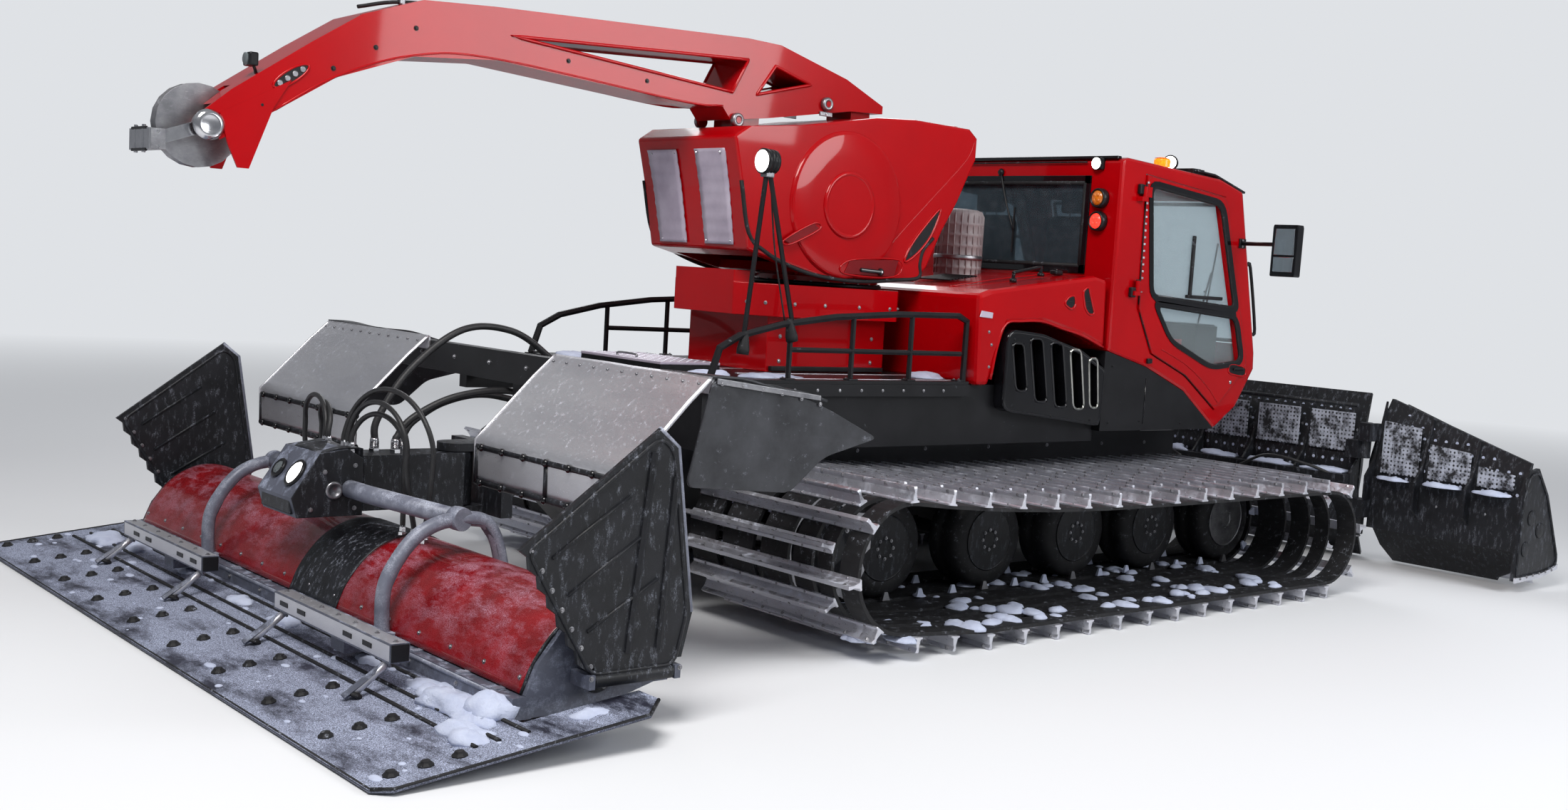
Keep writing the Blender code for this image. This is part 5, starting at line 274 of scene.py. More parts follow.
LOOK = {
    "red": look(
        "red_gloss", (0.44, 0.0005, 0.003), (0.36, 0.0005, 0.003), 0.22, coat=0.45, patch=1.4, grain=420,
        bump=0.012, rough_swing=0.04, spec=0.12,
    ),
    # darker red for the housing's shallow slot and latch recess: painted shade in the recesses
    "red_painted_shade": look(
        "red_recess_painted_shade", (0.20, 0.0005, 0.003), (0.14, 0.0005, 0.003), 0.34, coat=0.4, patch=3, grain=300,
        bump=0.02, spec=0.2,
    ),
    "red_frost": look(
        "red_frosted", (0.30, 0.001, 0.005), (0.16, 0.001, 0.004), 0.30, coat=0.4, patch=5, grain=260,
        bump=0.22, frost=0.66, frost_scale=4.2, frost_colour=(0.55, 0.30, 0.40),
        frost_stretch=(2.4, 1.0, 2.4), scratch=0.8, spec=0.2, top=-0.5, speck=0.0,
    ),
    "black": look(
        "black_satin", (0.006, 0.006, 0.007), (0.012, 0.012, 0.014), 0.36, patch=5, grain=300, bump=0.04,
        frost=0.06, frost_scale=14, spec=0.3,
    ),
    "black_gloss": look(
        "black_gloss", (0.003, 0.003, 0.004), (0.006, 0.006, 0.008), 0.14, coat=0.45, patch=4, grain=350,
        bump=0.015, rough_swing=0.04, spec=0.3,
    ),
    "black_frost": look(
        "black_frosted", (0.006, 0.0065, 0.008), (0.013, 0.014, 0.018), 0.46, patch=7, grain=240, bump=0.15,
        frost=0.44, frost_scale=34, frost_colour=(0.42, 0.45, 0.54), frost_stretch=(1, 1, 0.35), spec=0.35,
        speck=0.0,
    ),
    "rubber": look(
        "rubber_matt", (0.008, 0.008, 0.009), (0.018, 0.018, 0.020), 0.62, patch=9, grain=380, bump=0.12,
        frost=0.30, frost_scale=24, spec=0.3, speck=0.0,
    ),
    "flap": look(
        "rubber_frosted", (0.014, 0.015, 0.026), (0.040, 0.042, 0.066), 0.55, patch=3, grain=220, bump=0.35,
        frost=0.94, frost_scale=2.6, frost_colour=(0.58, 0.64, 0.84), spec=0.3, speck=0.1,
        frost_stretch=(1.6, 0.6, 1),
    ),
    "mudflap": look(
        "rubber_mudflap", (0.016, 0.017, 0.020), (0.050, 0.052, 0.060), 0.42, patch=4.5, grain=300,
        bump=0.10, frost=0.24, frost_scale=20, spec=0.4, speck=0.0,
    ),
    "hose": look(
        "hose_rubber", (0.010, 0.010, 0.011), (0.020, 0.020, 0.022), 0.45, patch=30, grain=700, bump=0.2,
    ),
    "alloy": look(
        "track_alloy_worn", (0.80, 0.80, 0.86), (0.56, 0.57, 0.63), 0.34, metal=0.85, patch=5, grain=240,
        stretch=(1, 0.12, 1), bump=0.12, frost=0.50, frost_scale=13, scratch=0.3,
    ),
    "sheet": look(
        "guard_sheet", (0.74, 0.74, 0.77), (0.56, 0.56, 0.60), 0.36, metal=0.8, patch=3.2, grain=300,
        stretch=(1, 0.25, 1), bump=0.08, frost=0.36, frost_scale=30, scratch=0.15, speck=0.1,
    ),
    "grey": look(
        "grey_paint_frosted", (0.11, 0.12, 0.16), (0.06, 0.065, 0.09), 0.40, metal=0.1, patch=6, grain=260,
        bump=0.10, frost=0.60, frost_scale=12, frost_colour=(0.48, 0.53, 0.68),
    ),
    "grey_frost": look(
        "grey_tube_frosted", (0.21, 0.225, 0.28), (0.14, 0.15, 0.20), 0.38, metal=0.1, patch=7, grain=260,
        bump=0.12, frost=0.66, frost_scale=10, frost_colour=(0.60, 0.64, 0.76), speck=0.1,
    ),
    "snow_thin": holes("frosted_perforated_plate", (0.50, 0.53, 0.62), (0.012, 0.012, 0.015)),
    "steel": look(
        "steel_worn", (0.40, 0.40, 0.42), (0.20, 0.20, 0.215), 0.36, metal=0.9, patch=11, grain=260,
        bump=0.12, frost=0.25, frost_scale=16, scratch=0.4,
    ),
    "chrome": look(
        "plated_fitting", (0.72, 0.72, 0.74), (0.55, 0.55, 0.58), 0.18, metal=1.0, patch=22, grain=300,
        bump=0.03,
    ),
    "chrome_dark": look(
        "plated_rim", (0.50, 0.50, 0.46), (0.30, 0.30, 0.28), 0.14, metal=1.0, patch=14, grain=260,
        bump=0.03,
    ),
    "rust": look(
        "rusty_steel", (0.10, 0.045, 0.025), (0.05, 0.03, 0.022), 0.66, metal=0.3, patch=14, grain=180,
        bump=0.3,
    ),
    "engine": look(
        "engine_casting", (0.10, 0.10, 0.11), (0.05, 0.05, 0.055), 0.6, metal=0.3, patch=12, grain=160,
        bump=0.4,
    ),
    "seat": look(
        "seat_fabric", (0.016, 0.016, 0.018), (0.030, 0.030, 0.034), 0.85, patch=20, grain=900, bump=0.3,
        sheen=0.3,
    ),
    "intake": look(
        "intake_plastic", (0.40, 0.36, 0.36), (0.30, 0.26, 0.27), 0.5, patch=8, grain=240, bump=0.08,
    ),
    "pale": look(
        "pale_metal", (0.62, 0.56, 0.66), (0.42, 0.36, 0.46), 0.42, metal=0.3, patch=3, grain=200,
        bump=0.06,
    ),
    "snow": look("packed_snow", (0.60, 0.65, 0.80), (0.48, 0.53, 0.70), 0.75, patch=16, grain=90, bump=0.9),
    "white_lamp": glow("lamp_white_lit", (1.0, 0.97, 0.92), 9.0),
    "amber_lamp": glow("lamp_amber_lit", (1.0, 0.22, 0.005), 1.5, (0.95, 0.30, 0.01)),
    "amber": look(
        "lens_amber", (0.80, 0.22, 0.01), (0.62, 0.15, 0.01), 0.15, coat=1.0, patch=50, grain=300, bump=0.2,
    ),
    "red_lamp": glow("lamp_red_lit", (1.0, 0.05, 0.03), 2.0, (0.9, 0.03, 0.02)),
    "mirror": look(
        "mirror_glass", (0.75, 0.78, 0.82), (0.70, 0.73, 0.78), 0.05, metal=1.0, patch=4, grain=80,
        bump=0.01, rough_swing=0.02,
    ),
    "glass": pane("glass_tinted", (0.66, 0.74, 0.77)),
    "dark_glass": pane("glass_dark", (0.10, 0.14, 0.17), 0.75),
}


# Shapes gathered into pieces

def at(x, y, z):
    """A point, from the middle of the tracks."""
    return Vector((x + DX, y, z))


def turns(count):
    """Even turns round a full circle."""
    return [2 * math.pi * k / count for k in range(count)]


def spread(shares, start, span):
    """An outline from shares of its span."""
    return [(start[0] + a * span[0], start[1] + b * span[1]) for a, b in shares]


def smooth_line(points, steps, closed=False):
    """A curve through the points, as close points."""
    points = [Vector(p) for p in points]
    count = len(points)
    made = []
    spans = count if closed else count - 1
    for n in range(spans):
        p1, p2 = points[n], points[(n + 1) % count]
        p0 = points[n - 1] if n or closed else p1 * 2 - p2
        p3 = points[(n + 2) % count] if n + 2 < count or closed else p2 * 2 - p1
        for step in range(steps):
            t = step / steps
            made.append(0.5 * (
                2 * p1 + (p2 - p0) * t + (2 * p0 - 5 * p1 + 4 * p2 - p3) * t * t
                + (3 * p1 - p0 - 3 * p2 + p3) * t ** 3
            ))
    if not closed:
        made.append(points[-1])
    return made


def shade_smooth(data):
    data.polygons.foreach_set("use_smooth", [True] * len(data.polygons))


class Kit:
    """Shapes gathered into one piece, each with its own finish."""

    def __init__(self):
        self.mesh = bmesh.new()
        self.keys = []

    def mark(self, faces, key, smooth):
        if key not in self.keys:
            self.keys.append(key)
        index = self.keys.index(key)
        for face in faces:
            face.material_index = index
            face.smooth = smooth

    def loft(self, rings, key, smooth=True, closed=False):
        """Skins rings of points with the same count each."""
        made = [[self.mesh.verts.new(p) for p in ring] for ring in rings]
        faces = []
        count = len(made[0])
        for n in range(len(made) if closed else len(made) - 1):
            a, b = made[n], made[(n + 1) % len(made)]
            for k in range(count):
                j = (k + 1) % count
                faces.append(self.mesh.faces.new((a[k], a[j], b[j], b[k])))
        self.mark(faces, key, smooth)
        if not closed:
            ends = [self.mesh.faces.new(made[0][::-1]), self.mesh.faces.new(made[-1])]
            self.mark(ends, key, False)

    def pipe(self, points, radius, key, steps=10, closed=False, flat=1.0):
        """A round section carried along the points. flat squashes it."""
        points = [Vector(p) for p in points]
        count = len(points)
        rings = []
        side = None
        for n, here in enumerate(points):
            before = points[n - 1] if n or closed else here
            after = points[(n + 1) % count] if n < count - 1 or closed else here
            along = (after - before).normalized()
            if side is None:
                side = along.cross(Vector((0, 0, 1)))
                if side.length < 0.1:
                    side = along.cross(Vector((0, 1, 0)))
            side = (side - along * side.dot(along)).normalized()
            over = along.cross(side)
            rings.append([
                here + (side * math.cos(t) + over * math.sin(t) * flat) * radius for t in turns(steps)
            ])
        self.loft(rings, key, closed=closed)

    def bar(self, a, b, radius, key, steps=10, flat=1.0):
        """A straight tube."""
        a, b = Vector(a), Vector(b)
        self.pipe([a, a.lerp(b, 0.5), b], radius, key, steps, flat=flat)

    def curve(self, points, radius, key, steps=8, fine=6):
        """A tube on a smooth curve through the points."""
        self.pipe(smooth_line(points, fine), radius, key, steps)

    def frame(self, corners, radius, key):
        """Straight tubes round the corners."""
        for n, corner in enumerate(corners):
            self.bar(corner, corners[(n + 1) % len(corners)], radius, key)

    def bead(self, line, y, radius, key, steps=8, curve=5, flat=1.0, lift=0.0):
        """A bead on a smooth curve through (x, z) points, in the plane at y."""
        self.pipe(smooth_line([at(x, y, z + lift) for x, z in line], curve), radius, key, steps, flat=flat)

    def rim(self, outline, y, radius, key, steps=8, curve=0):
        """A closed bead round an outline of (x, z) points, in the plane at y."""
        line = [at(p[0], y, p[1]) for p in outline]
        self.pipe(smooth_line(line, curve, True) if curve else line, radius, key, steps, closed=True)

    def turned(self, profile, origin, axis, key, steps=24, smooth=True):
        """A profile of (radius, way along) turned about an axis."""
        origin, axis = Vector(origin), Vector(axis).normalized()
        side = axis.cross(Vector((0, 0, 1)))
        if side.length < 0.1:
            side = axis.cross(Vector((0, 1, 0)))
        side.normalize()
        over = axis.cross(side)
        rings = []
        for radius, way in profile:
            radius = max(radius, 0.0002)
            rings.append(
                [
                    origin + axis * way + (side * math.cos(t) + over * math.sin(t)) * radius
                    for t in turns(steps)
                ]
            )
        self.loft(rings, key, smooth=smooth)

    def rod(self, a, b, radius, key, steps=16, soft=0.15):
        """A pin or bar with softened ends."""
        a, b = Vector(a), Vector(b)
        long = (b - a).length
        s = min(radius * soft, long / 3)
        profile = [(radius - s, 0), (radius, s), (radius, long - s), (radius - s, long)]
        self.turned(profile, a, b - a, key, steps, smooth=False)

    def bolt(self, place, out, size, key="chrome"):
        """A hexagon head on its washer."""
        out = Vector(out).normalized()
        place = Vector(place)
        self.turned([(size, 0), (size, size * 0.18), (size * 0.9, size * 0.22)], place, out, key, 14, False)
        self.turned(
            [(size * 0.62, size * 0.2), (size * 0.62, size * 0.62), (size * 0.5, size * 0.74)], place, out,
            key, 6, False,
        )

    def bolt_ring(self, x, y, z, reach, count, out, size, key="chrome"):
        """Bolts round a centre, in the plane at y."""
        for turn in turns(count):
            self.bolt(at(x + reach * math.cos(turn), y, z + reach * math.sin(turn)), out, size, key)

    def block(self, low, high, key, soft=0.004, steps=2):
        """A box with rounded edges."""
        low, high = Vector(low), Vector(high)
        low, high = (
            Vector([min(a, b) for a, b in zip(low, high)]), Vector([max(a, b) for a, b in zip(low, high)]),
        )
        shape = bmesh.new()
        bmesh.ops.create_cube(shape, size=1.0)
        size = high - low
        for v in shape.verts:
            v.co = (low + high) / 2 + Vector([v.co[n] * size[n] for n in range(3)])
        soft = min(soft, min(size) * 0.45)
        if soft > 0:
            bmesh.ops.bevel(
                shape, geom=shape.edges[:], offset=soft, segments=steps, profile=0.5, affect="EDGES",
            )
        self.take(shape, key)

    def slab(self, outline, a, b, key, soft=0.003, plane="y", steps=2):
        """An outline in a plane, from a to b across it, with rounded rims.

        The plane y takes (x, z), z takes (x, y) and x takes (y, z).
        """
        shape = bmesh.new()

        def put(p, side):
            if plane == "y":
                return at(p[0], side, p[1])
            if plane == "z":
                return at(p[0], p[1], side)
            return at(side, p[0], p[1])

        near = [shape.verts.new(put(p, a)) for p in outline]
        far = [shape.verts.new(put(p, b)) for p in outline]
        count = len(outline)
        shape.faces.new(near)
        shape.faces.new(far[::-1])
        for n in range(count):
            m = (n + 1) % count
            shape.faces.new((near[n], far[n], far[m], near[m]))
        bmesh.ops.recalc_face_normals(shape, faces=shape.faces)
        if soft > 0:
            rims = [e for e in shape.edges if e.calc_face_angle(0) > 0.5]
            bmesh.ops.bevel(
                shape, geom=rims, offset=soft, segments=steps, profile=0.5, affect="EDGES",
                clamp_overlap=True,
            )
        self.take(shape, key)

    def take(self, shape, key):
        """Adds a finished mesh."""
        table = {v: self.mesh.verts.new(v.co) for v in shape.verts}
        faces = []
        for face in shape.faces:
            faces.append(self.mesh.faces.new([table[v] for v in face.verts]))
        shape.free()
        self.mark(faces, key, False)

    def skin(self, function, across, along, thick, key):
        """A sheet from function(u, v) for u and v from 0 to 1, with that thickness."""
        grid = [
            [Vector(function(i / across, j / along)) for j in range(along + 1)] for i in range(across + 1)
        ]
        sides = []
        for way in (0, 1):
            rows = []
            for i in range(across + 1):
                row = []
                for j in range(along + 1):
                    u = grid[min(i + 1, across)][j] - grid[max(i - 1, 0)][j]
                    v = grid[i][min(j + 1, along)] - grid[i][max(j - 1, 0)]
                    normal = u.cross(v).normalized()
                    row.append(self.mesh.verts.new(grid[i][j] - normal * thick * way))
                rows.append(row)
            sides.append(rows)
        front, back = sides
        top, under = [], []
        for i in range(across):
            for j in range(along):
                top.append(
                    self.mesh.faces.new(
                        (front[i][j], front[i + 1][j], front[i + 1][j + 1], front[i][j + 1])
                    )
                )
                under.append(
                    self.mesh.faces.new((back[i][j + 1], back[i + 1][j + 1], back[i + 1][j], back[i][j]))
                )
        for i in range(across):
            for j in (0, along):
                a = (front[i][j], back[i][j], back[i + 1][j], front[i + 1][j])
                under.append(self.mesh.faces.new(a if j == 0 else a[::-1]))
        for j in range(along):
            for i in (0, across):
                a = (front[i][j + 1], back[i][j + 1], back[i][j], front[i][j])
                under.append(self.mesh.faces.new(a if i == 0 else a[::-1]))
        self.mark(top + under, key, True)

    def heap(self, centre, size, height, seed, steps=18):
        """A heap of packed snow: a lumpy low dome."""
        centre = Vector(centre)
        rings = []
        levels = 7
        for level in range(levels + 1):
            share = level / levels
            ring = []
            for turn in turns(steps):
                out = Vector(
                    (math.cos(turn) * size[0], math.sin(turn) * size[1], 0)
                ) * math.cos(share * math.pi / 2)
                spot = centre + out + Vector((0, 0, height * math.sin(share * math.pi / 2)))
                wave = lumps.noise(spot * 9 + Vector((seed, 0, 0))) * 0.55
                wave += lumps.noise(spot * 26) * 0.22 + lumps.noise(spot * 70) * 0.07
                ring.append(centre + (spot - centre) * (1 + wave))
            rings.append(ring)
        rings[-1] = [rings[-1][0].lerp(p, 0.02) for p in rings[-1]]
        self.loft(rings, "snow")

    def flip(self, other):
        """The same shapes on the other side."""
        table = {v: self.mesh.verts.new((v.co.x, -v.co.y, v.co.z)) for v in other.mesh.verts}
        for face in other.mesh.faces:
            made = self.mesh.faces.new([table[v] for v in face.verts][::-1])
            self.mark([made], other.keys[face.material_index], face.smooth)

    def done(self, name, body, replaces=(), slot=None, between=None):
        """The piece, riding on its body, or, when it spans two bodies, left where it is on neither."""
        data = bpy.data.meshes.new(name)
        bmesh.ops.recalc_face_normals(self.mesh, faces=self.mesh.faces)
        self.mesh.to_mesh(data)
        self.mesh.free()
        item = bpy.data.objects.new(name, data)
        bpy.context.scene.collection.objects.link(item)
        for key in self.keys:
            data.materials.append(LOOK[key])
        if between:
            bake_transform(item)
        else:
            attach(item, body)
        if replaces:
            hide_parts(*replaces)
        return item


# Tracks: belts, aluminium cross-bars with ice spikes, and the guide teeth inside

WHEEL_R, WHEEL_Z, IDLER_X = 0.305, 0.4123, 2.43
ROAD_X = (-0.96, -0.07, 0.76, 1.55)
SPROCKET_X, SPROCKET_Z, SPROCKET_R = -1.60, 0.49, 0.333
BELT = 0.022
LONG_BARS = 36
# the bars' ends across the track
LONG_BAR, SHORT_BAR = (0.62, 2.10), (0.624, 1.86)
TOP_RUN = ((0.07, 0.30), (0.17, 0.62), (0.28, 0.85), (0.40, 0.97), (0.52, 1.0), (0.80, 1.0))


def arc(centre, radius, start, end, steps):
    turns = [start + (end - start) * n / steps for n in range(steps + 1)]
    return [(centre[0] + radius * math.cos(t), centre[1] + radius * math.sin(t)) for t in turns]


def belt_line():
    """The belt's inner face from the side, as in the part."""
    slack = math.cos(math.pi / 28)
    idler, sprocket = (WHEEL_R + TOUCH_GAP) / slack, (SPROCKET_R + TOUCH_GAP) / slack
    ground = WHEEL_Z - WHEEL_R - TOUCH_GAP
    dx, dz = SPROCKET_X - ROAD_X[0], SPROCKET_Z - WHEEL_Z
    away, bearing = math.hypot(dx, dz), math.atan2(dz, dx)
    low = bearing + math.acos((WHEEL_R - sprocket) / away)
    points = [(ROAD_X[0], ground), (IDLER_X, ground)]
    points += arc((IDLER_X, WHEEL_Z), idler, -math.pi / 2, math.pi / 2, 14)[1:]
    top = SPROCKET_Z + sprocket
    drop = top - (WHEEL_Z + idler)
    run = IDLER_X - SPROCKET_X
    points += [(SPROCKET_X + way * run, top - fall * drop) for way, fall in reversed(TOP_RUN)]
    points += arc((SPROCKET_X, SPROCKET_Z), sprocket, math.pi / 2, low, 14)
    wheel = WHEEL_R + TOUCH_GAP
    points.append((ROAD_X[0] + wheel * math.cos(low), WHEEL_Z + wheel * math.sin(low)))
    return points


class Line:
    """A closed line with even steps along it."""

    def __init__(self, points):
        self.points = [Vector(p) for p in points]
        self.ways, self.length = [], 0
        for n, here in enumerate(self.points):
            self.ways.append(self.length)
            self.length += (self.points[(n + 1) % len(self.points)] - here).length

    def spot(self, way):
        way %= self.length
        n = max(k for k, start in enumerate(self.ways) if start <= way)
        here, after = self.points[n], self.points[(n + 1) % len(self.points)]
        return here.lerp(after, (way - self.ways[n]) / max((after - here).length, 1e-6))

    def out(self, way, distance):
        """The point this far out from the line, and the outward and onward directions."""
        ahead = (self.spot(way + 0.03) - self.spot(way - 0.03)).normalized()
        normal = Vector((ahead.y, -ahead.x))
        return self.spot(way) + normal * distance, normal, ahead


# the belts' edges across the track
BELTS = ((0.625, 0.86), (0.93, 1.20), (1.27, 1.50), (1.55, 1.70), (1.75, 1.86), (1.93, 2.07))
# a bar's section: along the belt, out from its inner face
BAR_SECTION = (
    (-0.031, 0.022), (-0.031, 0.030), (-0.016, 0.036), (-0.007, 0.080), (-0.0105, 0.098), (-0.0105, 0.1066),
    (0.0105, 0.1066), (0.0105, 0.098), (0.007, 0.080), (0.016, 0.036), (0.031, 0.030), (0.031, 0.022),
)
# turned profiles: radius, way along
SPIKE = ((0.0155, 0.0), (0.0155, 0.012), (0.009, 0.0185))
BELT_BOLT = ((0.0075, 0), (0.0075, 0.007), (0.0055, 0.009))


def track_piece():
    """The left track: belts, bars, spikes, bolts and guide teeth."""
    kit = Kit()
    line = Line(belt_line())
    steps = LONG_BARS * 6
    for low, high in BELTS:
        rings = []
        for n in range(steps):
            way = line.length * n / steps
            inner, _, _ = line.out(way, 0.001)
            outer, _, _ = line.out(way, BELT)
            rings.append(
                [
                    at(inner.x, low, inner.y), at(inner.x, high, inner.y), at(outer.x, high, outer.y),
                    at(outer.x, low, outer.y),
                ]
            )
        kit.loft(rings, "rubber", closed=True, smooth=False)
    pitch = line.length / LONG_BARS
    for n in range(2 * LONG_BARS):
        way = pitch * n / 2
        short = n % 2
        low, high = SHORT_BAR if short else LONG_BAR
        place, normal, ahead = line.out(way, 0)

        def on_bar(step, out):
            return place + ahead * step + normal * out

        def stud(step, y, inner, outer, profile, steps):
            p, q = on_bar(step, inner), on_bar(step, outer)
            kit.turned(profile, at(p.x, y, p.y), at(q.x, y, q.y) - at(p.x, y, p.y), "steel", steps, False)

        rings = []
        for y in (low, low + 0.004, high - 0.004, high):
            edge = 0.88 if y in (low, high) else 1.0
            ring = []
            for step, out in BAR_SECTION:
                p = on_bar(step * edge, BELT + (out - BELT) * (edge if out > 0.03 else 1))
                ring.append(at(p.x, y, p.y))
            rings.append(ring)
        kit.loft(rings, "alloy", smooth=False)
        # ice spikes in the crest and bolts through the belts
        spikes = 7 if short else 9
        for k in range(spikes):
            y = low + 0.05 + (high - low - 0.10) * k / (spikes - 1)
            stud(0, y, 0.088, 0.1069, SPIKE, 8)
        for a, b in BELTS:
            y = (a + b) / 2
            if y > high:
                continue
            for step in (-0.023, 0.023):
                stud(step, y, 0.029, 0.06, BELT_BOLT, 6)
        # guide teeth either side of the tyres, snowed over
        if not short:
            for y in (0.902, 1.228):
                a, _, _ = line.out(way, -0.001)
                b, _, _ = line.out(way, -0.050)
                ring_low, ring_high = [], []
                for dy, dw in ((-0.011, -0.030), (0.011, -0.030), (0.011, 0.030), (-0.011, 0.030)):
                    p = a + ahead * dw
                    ring_low.append(at(p.x, y + dy, p.y))
                    p = b + ahead * dw * 0.4
                    ring_high.append(at(p.x, y + dy * 0.5, p.y))
                kit.loft([ring_low, ring_high], "snow" if n % 3 else "steel", smooth=False)
    return kit


left_track = track_piece()
right_track = Kit()
right_track.flip(left_track)
# snow packed along the lower run, between the wheels and beside them
packed = random.Random(4)
left_snow = Kit()
for k in range(150):
    x, y = packed.uniform(-1.85, 2.0), packed.uniform(0.95, 2.05)
    near_wheel = min(abs(x - c) for c in list(ROAD_X) + [IDLER_X]) < 0.24
    if near_wheel and 1.14 < y < 1.86:
        continue
    size = packed.uniform(0.025, 0.075)
    left_snow.heap(
        at(x, y, WHEEL_Z - WHEEL_R - 0.004), (size, size * packed.uniform(0.6, 1.4)), size * 0.45, k * 2.3,
        steps=9,
    )
right_snow = Kit()
right_snow.flip(left_snow)
left_snow.done("track_snow_left", "chassis", slot="track_alloy")
right_snow.done("track_snow_right", "chassis", slot="track_alloy")
left_track.done("track_belt_left", "chassis", ("track_left",), "track_alloy")
right_track.done("track_belt_right", "chassis", ("track_right",), "track_alloy")


# Wheels: tyre, dished rim with round openings, hub and bolts

TYRE_Y, TYRE_WIDE = 0.93, 0.27


def wheel_pieces(x, z, name, node_name, hub="black_frost"):
    """One axle with a tyred wheel at each end."""
    kit = Kit()
    tyre = [
        (0.195, 0.004), (0.212, 0.0), (0.262, 0.002), (0.290, 0.022), (0.3045, 0.052), (0.3045, 0.110),
        (0.298, 0.115), (0.298, 0.155), (0.3045, 0.160), (0.3045, 0.218), (0.290, 0.248), (0.262, 0.268),
        (0.212, 0.27), (0.195, 0.266),
    ]
    for side in (1, -1):
        kit.turned(tyre, at(x, side * TYRE_Y, z), (0, side, 0), "rubber", 40)
        for face in (0, 1):
            edge = TYRE_Y + face * TYRE_WIDE
            back = -1 if face else 1
            rim = [
                (0.198, 0.001), (0.190, -0.004), (0.184, 0.010), (0.172, 0.045), (0.150, 0.058),
                (0.108, 0.060), (0.088, 0.040), (0.082, 0.012), (0.074, 0.002), (0.050, 0.0), (0.048, 0.02),
                (0.001, 0.02),
            ]
            kit.turned([(r, w * back) for r, w in rim], at(x, side * edge, z), (0, side, 0), hub, 36)
            for turn in turns(8):
                spot = at(
                    x + 0.128 * math.cos(turn), side * (edge + back * 0.056), z + 0.128 * math.sin(turn),
                )
                # the dish's round openings: dark rubber discs laid on it, painted shade where the holes go
                # through
                kit.turned(
                    [(0.017, 0), (0.020, 0.004), (0.017, 0.006)], spot, (0, -side * back, 0), "rubber", 12,
                    False,
                )
                spot = at(
                    x + 0.062 * math.cos(turn), side * (edge - back * 0.002), z + 0.062 * math.sin(turn),
                )
                kit.bolt(spot, (0, -side * back, 0), 0.011, "steel")
            # packed snow in the lower half of the dish
            rings = []
            for k in range(19):
                turn = math.pi * (1.10 + 0.95 * k / 18)
                lump = 0.006 * math.sin(7.3 * k + x * 9)
                ring = []
                for r, w in (
                    (0.186, 0.004), (0.178, 0.044), (0.140, 0.058), (0.128 + lump * 2, 0.034),
                    (0.160 + lump, 0.012 + lump),
                ):
                    ring.append(
                        at(
                            x + r * math.cos(turn), side * (edge + back * (w + 0.001)),
                            z + r * math.sin(turn),
                        )
                    )
                rings.append(ring)
            kit.loft(rings, "snow")
    kit.rod(at(x, -1.17, z), at(x, 1.17, z), 0.045, "black", 20, 0.05)
    kit.done(name, "chassis", (node_name,), "rubber")


for number, x in enumerate(ROAD_X):
    wheel_pieces(x, WHEEL_Z, "road_wheels_%d" % (number + 1), "road_axle_%d" % (number + 1))
wheel_pieces(IDLER_X, WHEEL_Z, "idler_wheels", "idler_axle", "steel")


def drive_piece():
    kit = Kit()
    for side in (1, -1):
        rings = []
        for y, scale in ((1.312, 0.985), (1.322, 1.0), (1.398, 1.0), (1.408, 0.985)):
            ring = []
            for n in range(12):
                for share, out in (
                    (-0.34, 0.0), (-0.22, 0.45), (-0.13, 1.0), (0.13, 1.0), (0.22, 0.45), (0.34, 0.0),
                ):
                    radius = (0.298 + out * 0.035) * scale
                    turn = 2 * math.pi * (n + share) / 12
                    ring.append(
                        at(
                            SPROCKET_X + radius * math.cos(turn), side * y,
                            SPROCKET_Z + radius * math.sin(turn),
                        )
                    )
            rings.append(ring)
        kit.loft(rings, "steel", smooth=False)
        hub = [
            (0.25, -0.004), (0.25, 0.004), (0.20, 0.014), (0.12, 0.018), (0.11, 0.040), (0.085, 0.046),
            (0.02, 0.046),
        ]
        kit.turned(hub, at(SPROCKET_X, side * 1.408, SPROCKET_Z), (0, side, 0), "black_frost", 36)
        kit.bolt_ring(SPROCKET_X, side * 1.424, SPROCKET_Z, 0.16, 10, (0, side, 0), 0.014, "steel")
    kit.rod(at(SPROCKET_X, -1.44, SPROCKET_Z), at(SPROCKET_X, 1.44, SPROCKET_Z), 0.055, "steel", 20, 0.1)
    kit.done("drive_sprockets", "chassis", ("drive_axle",), "steel")


drive_piece()


# Hoses: the same routes as in the part, with crimped fittings at both ends

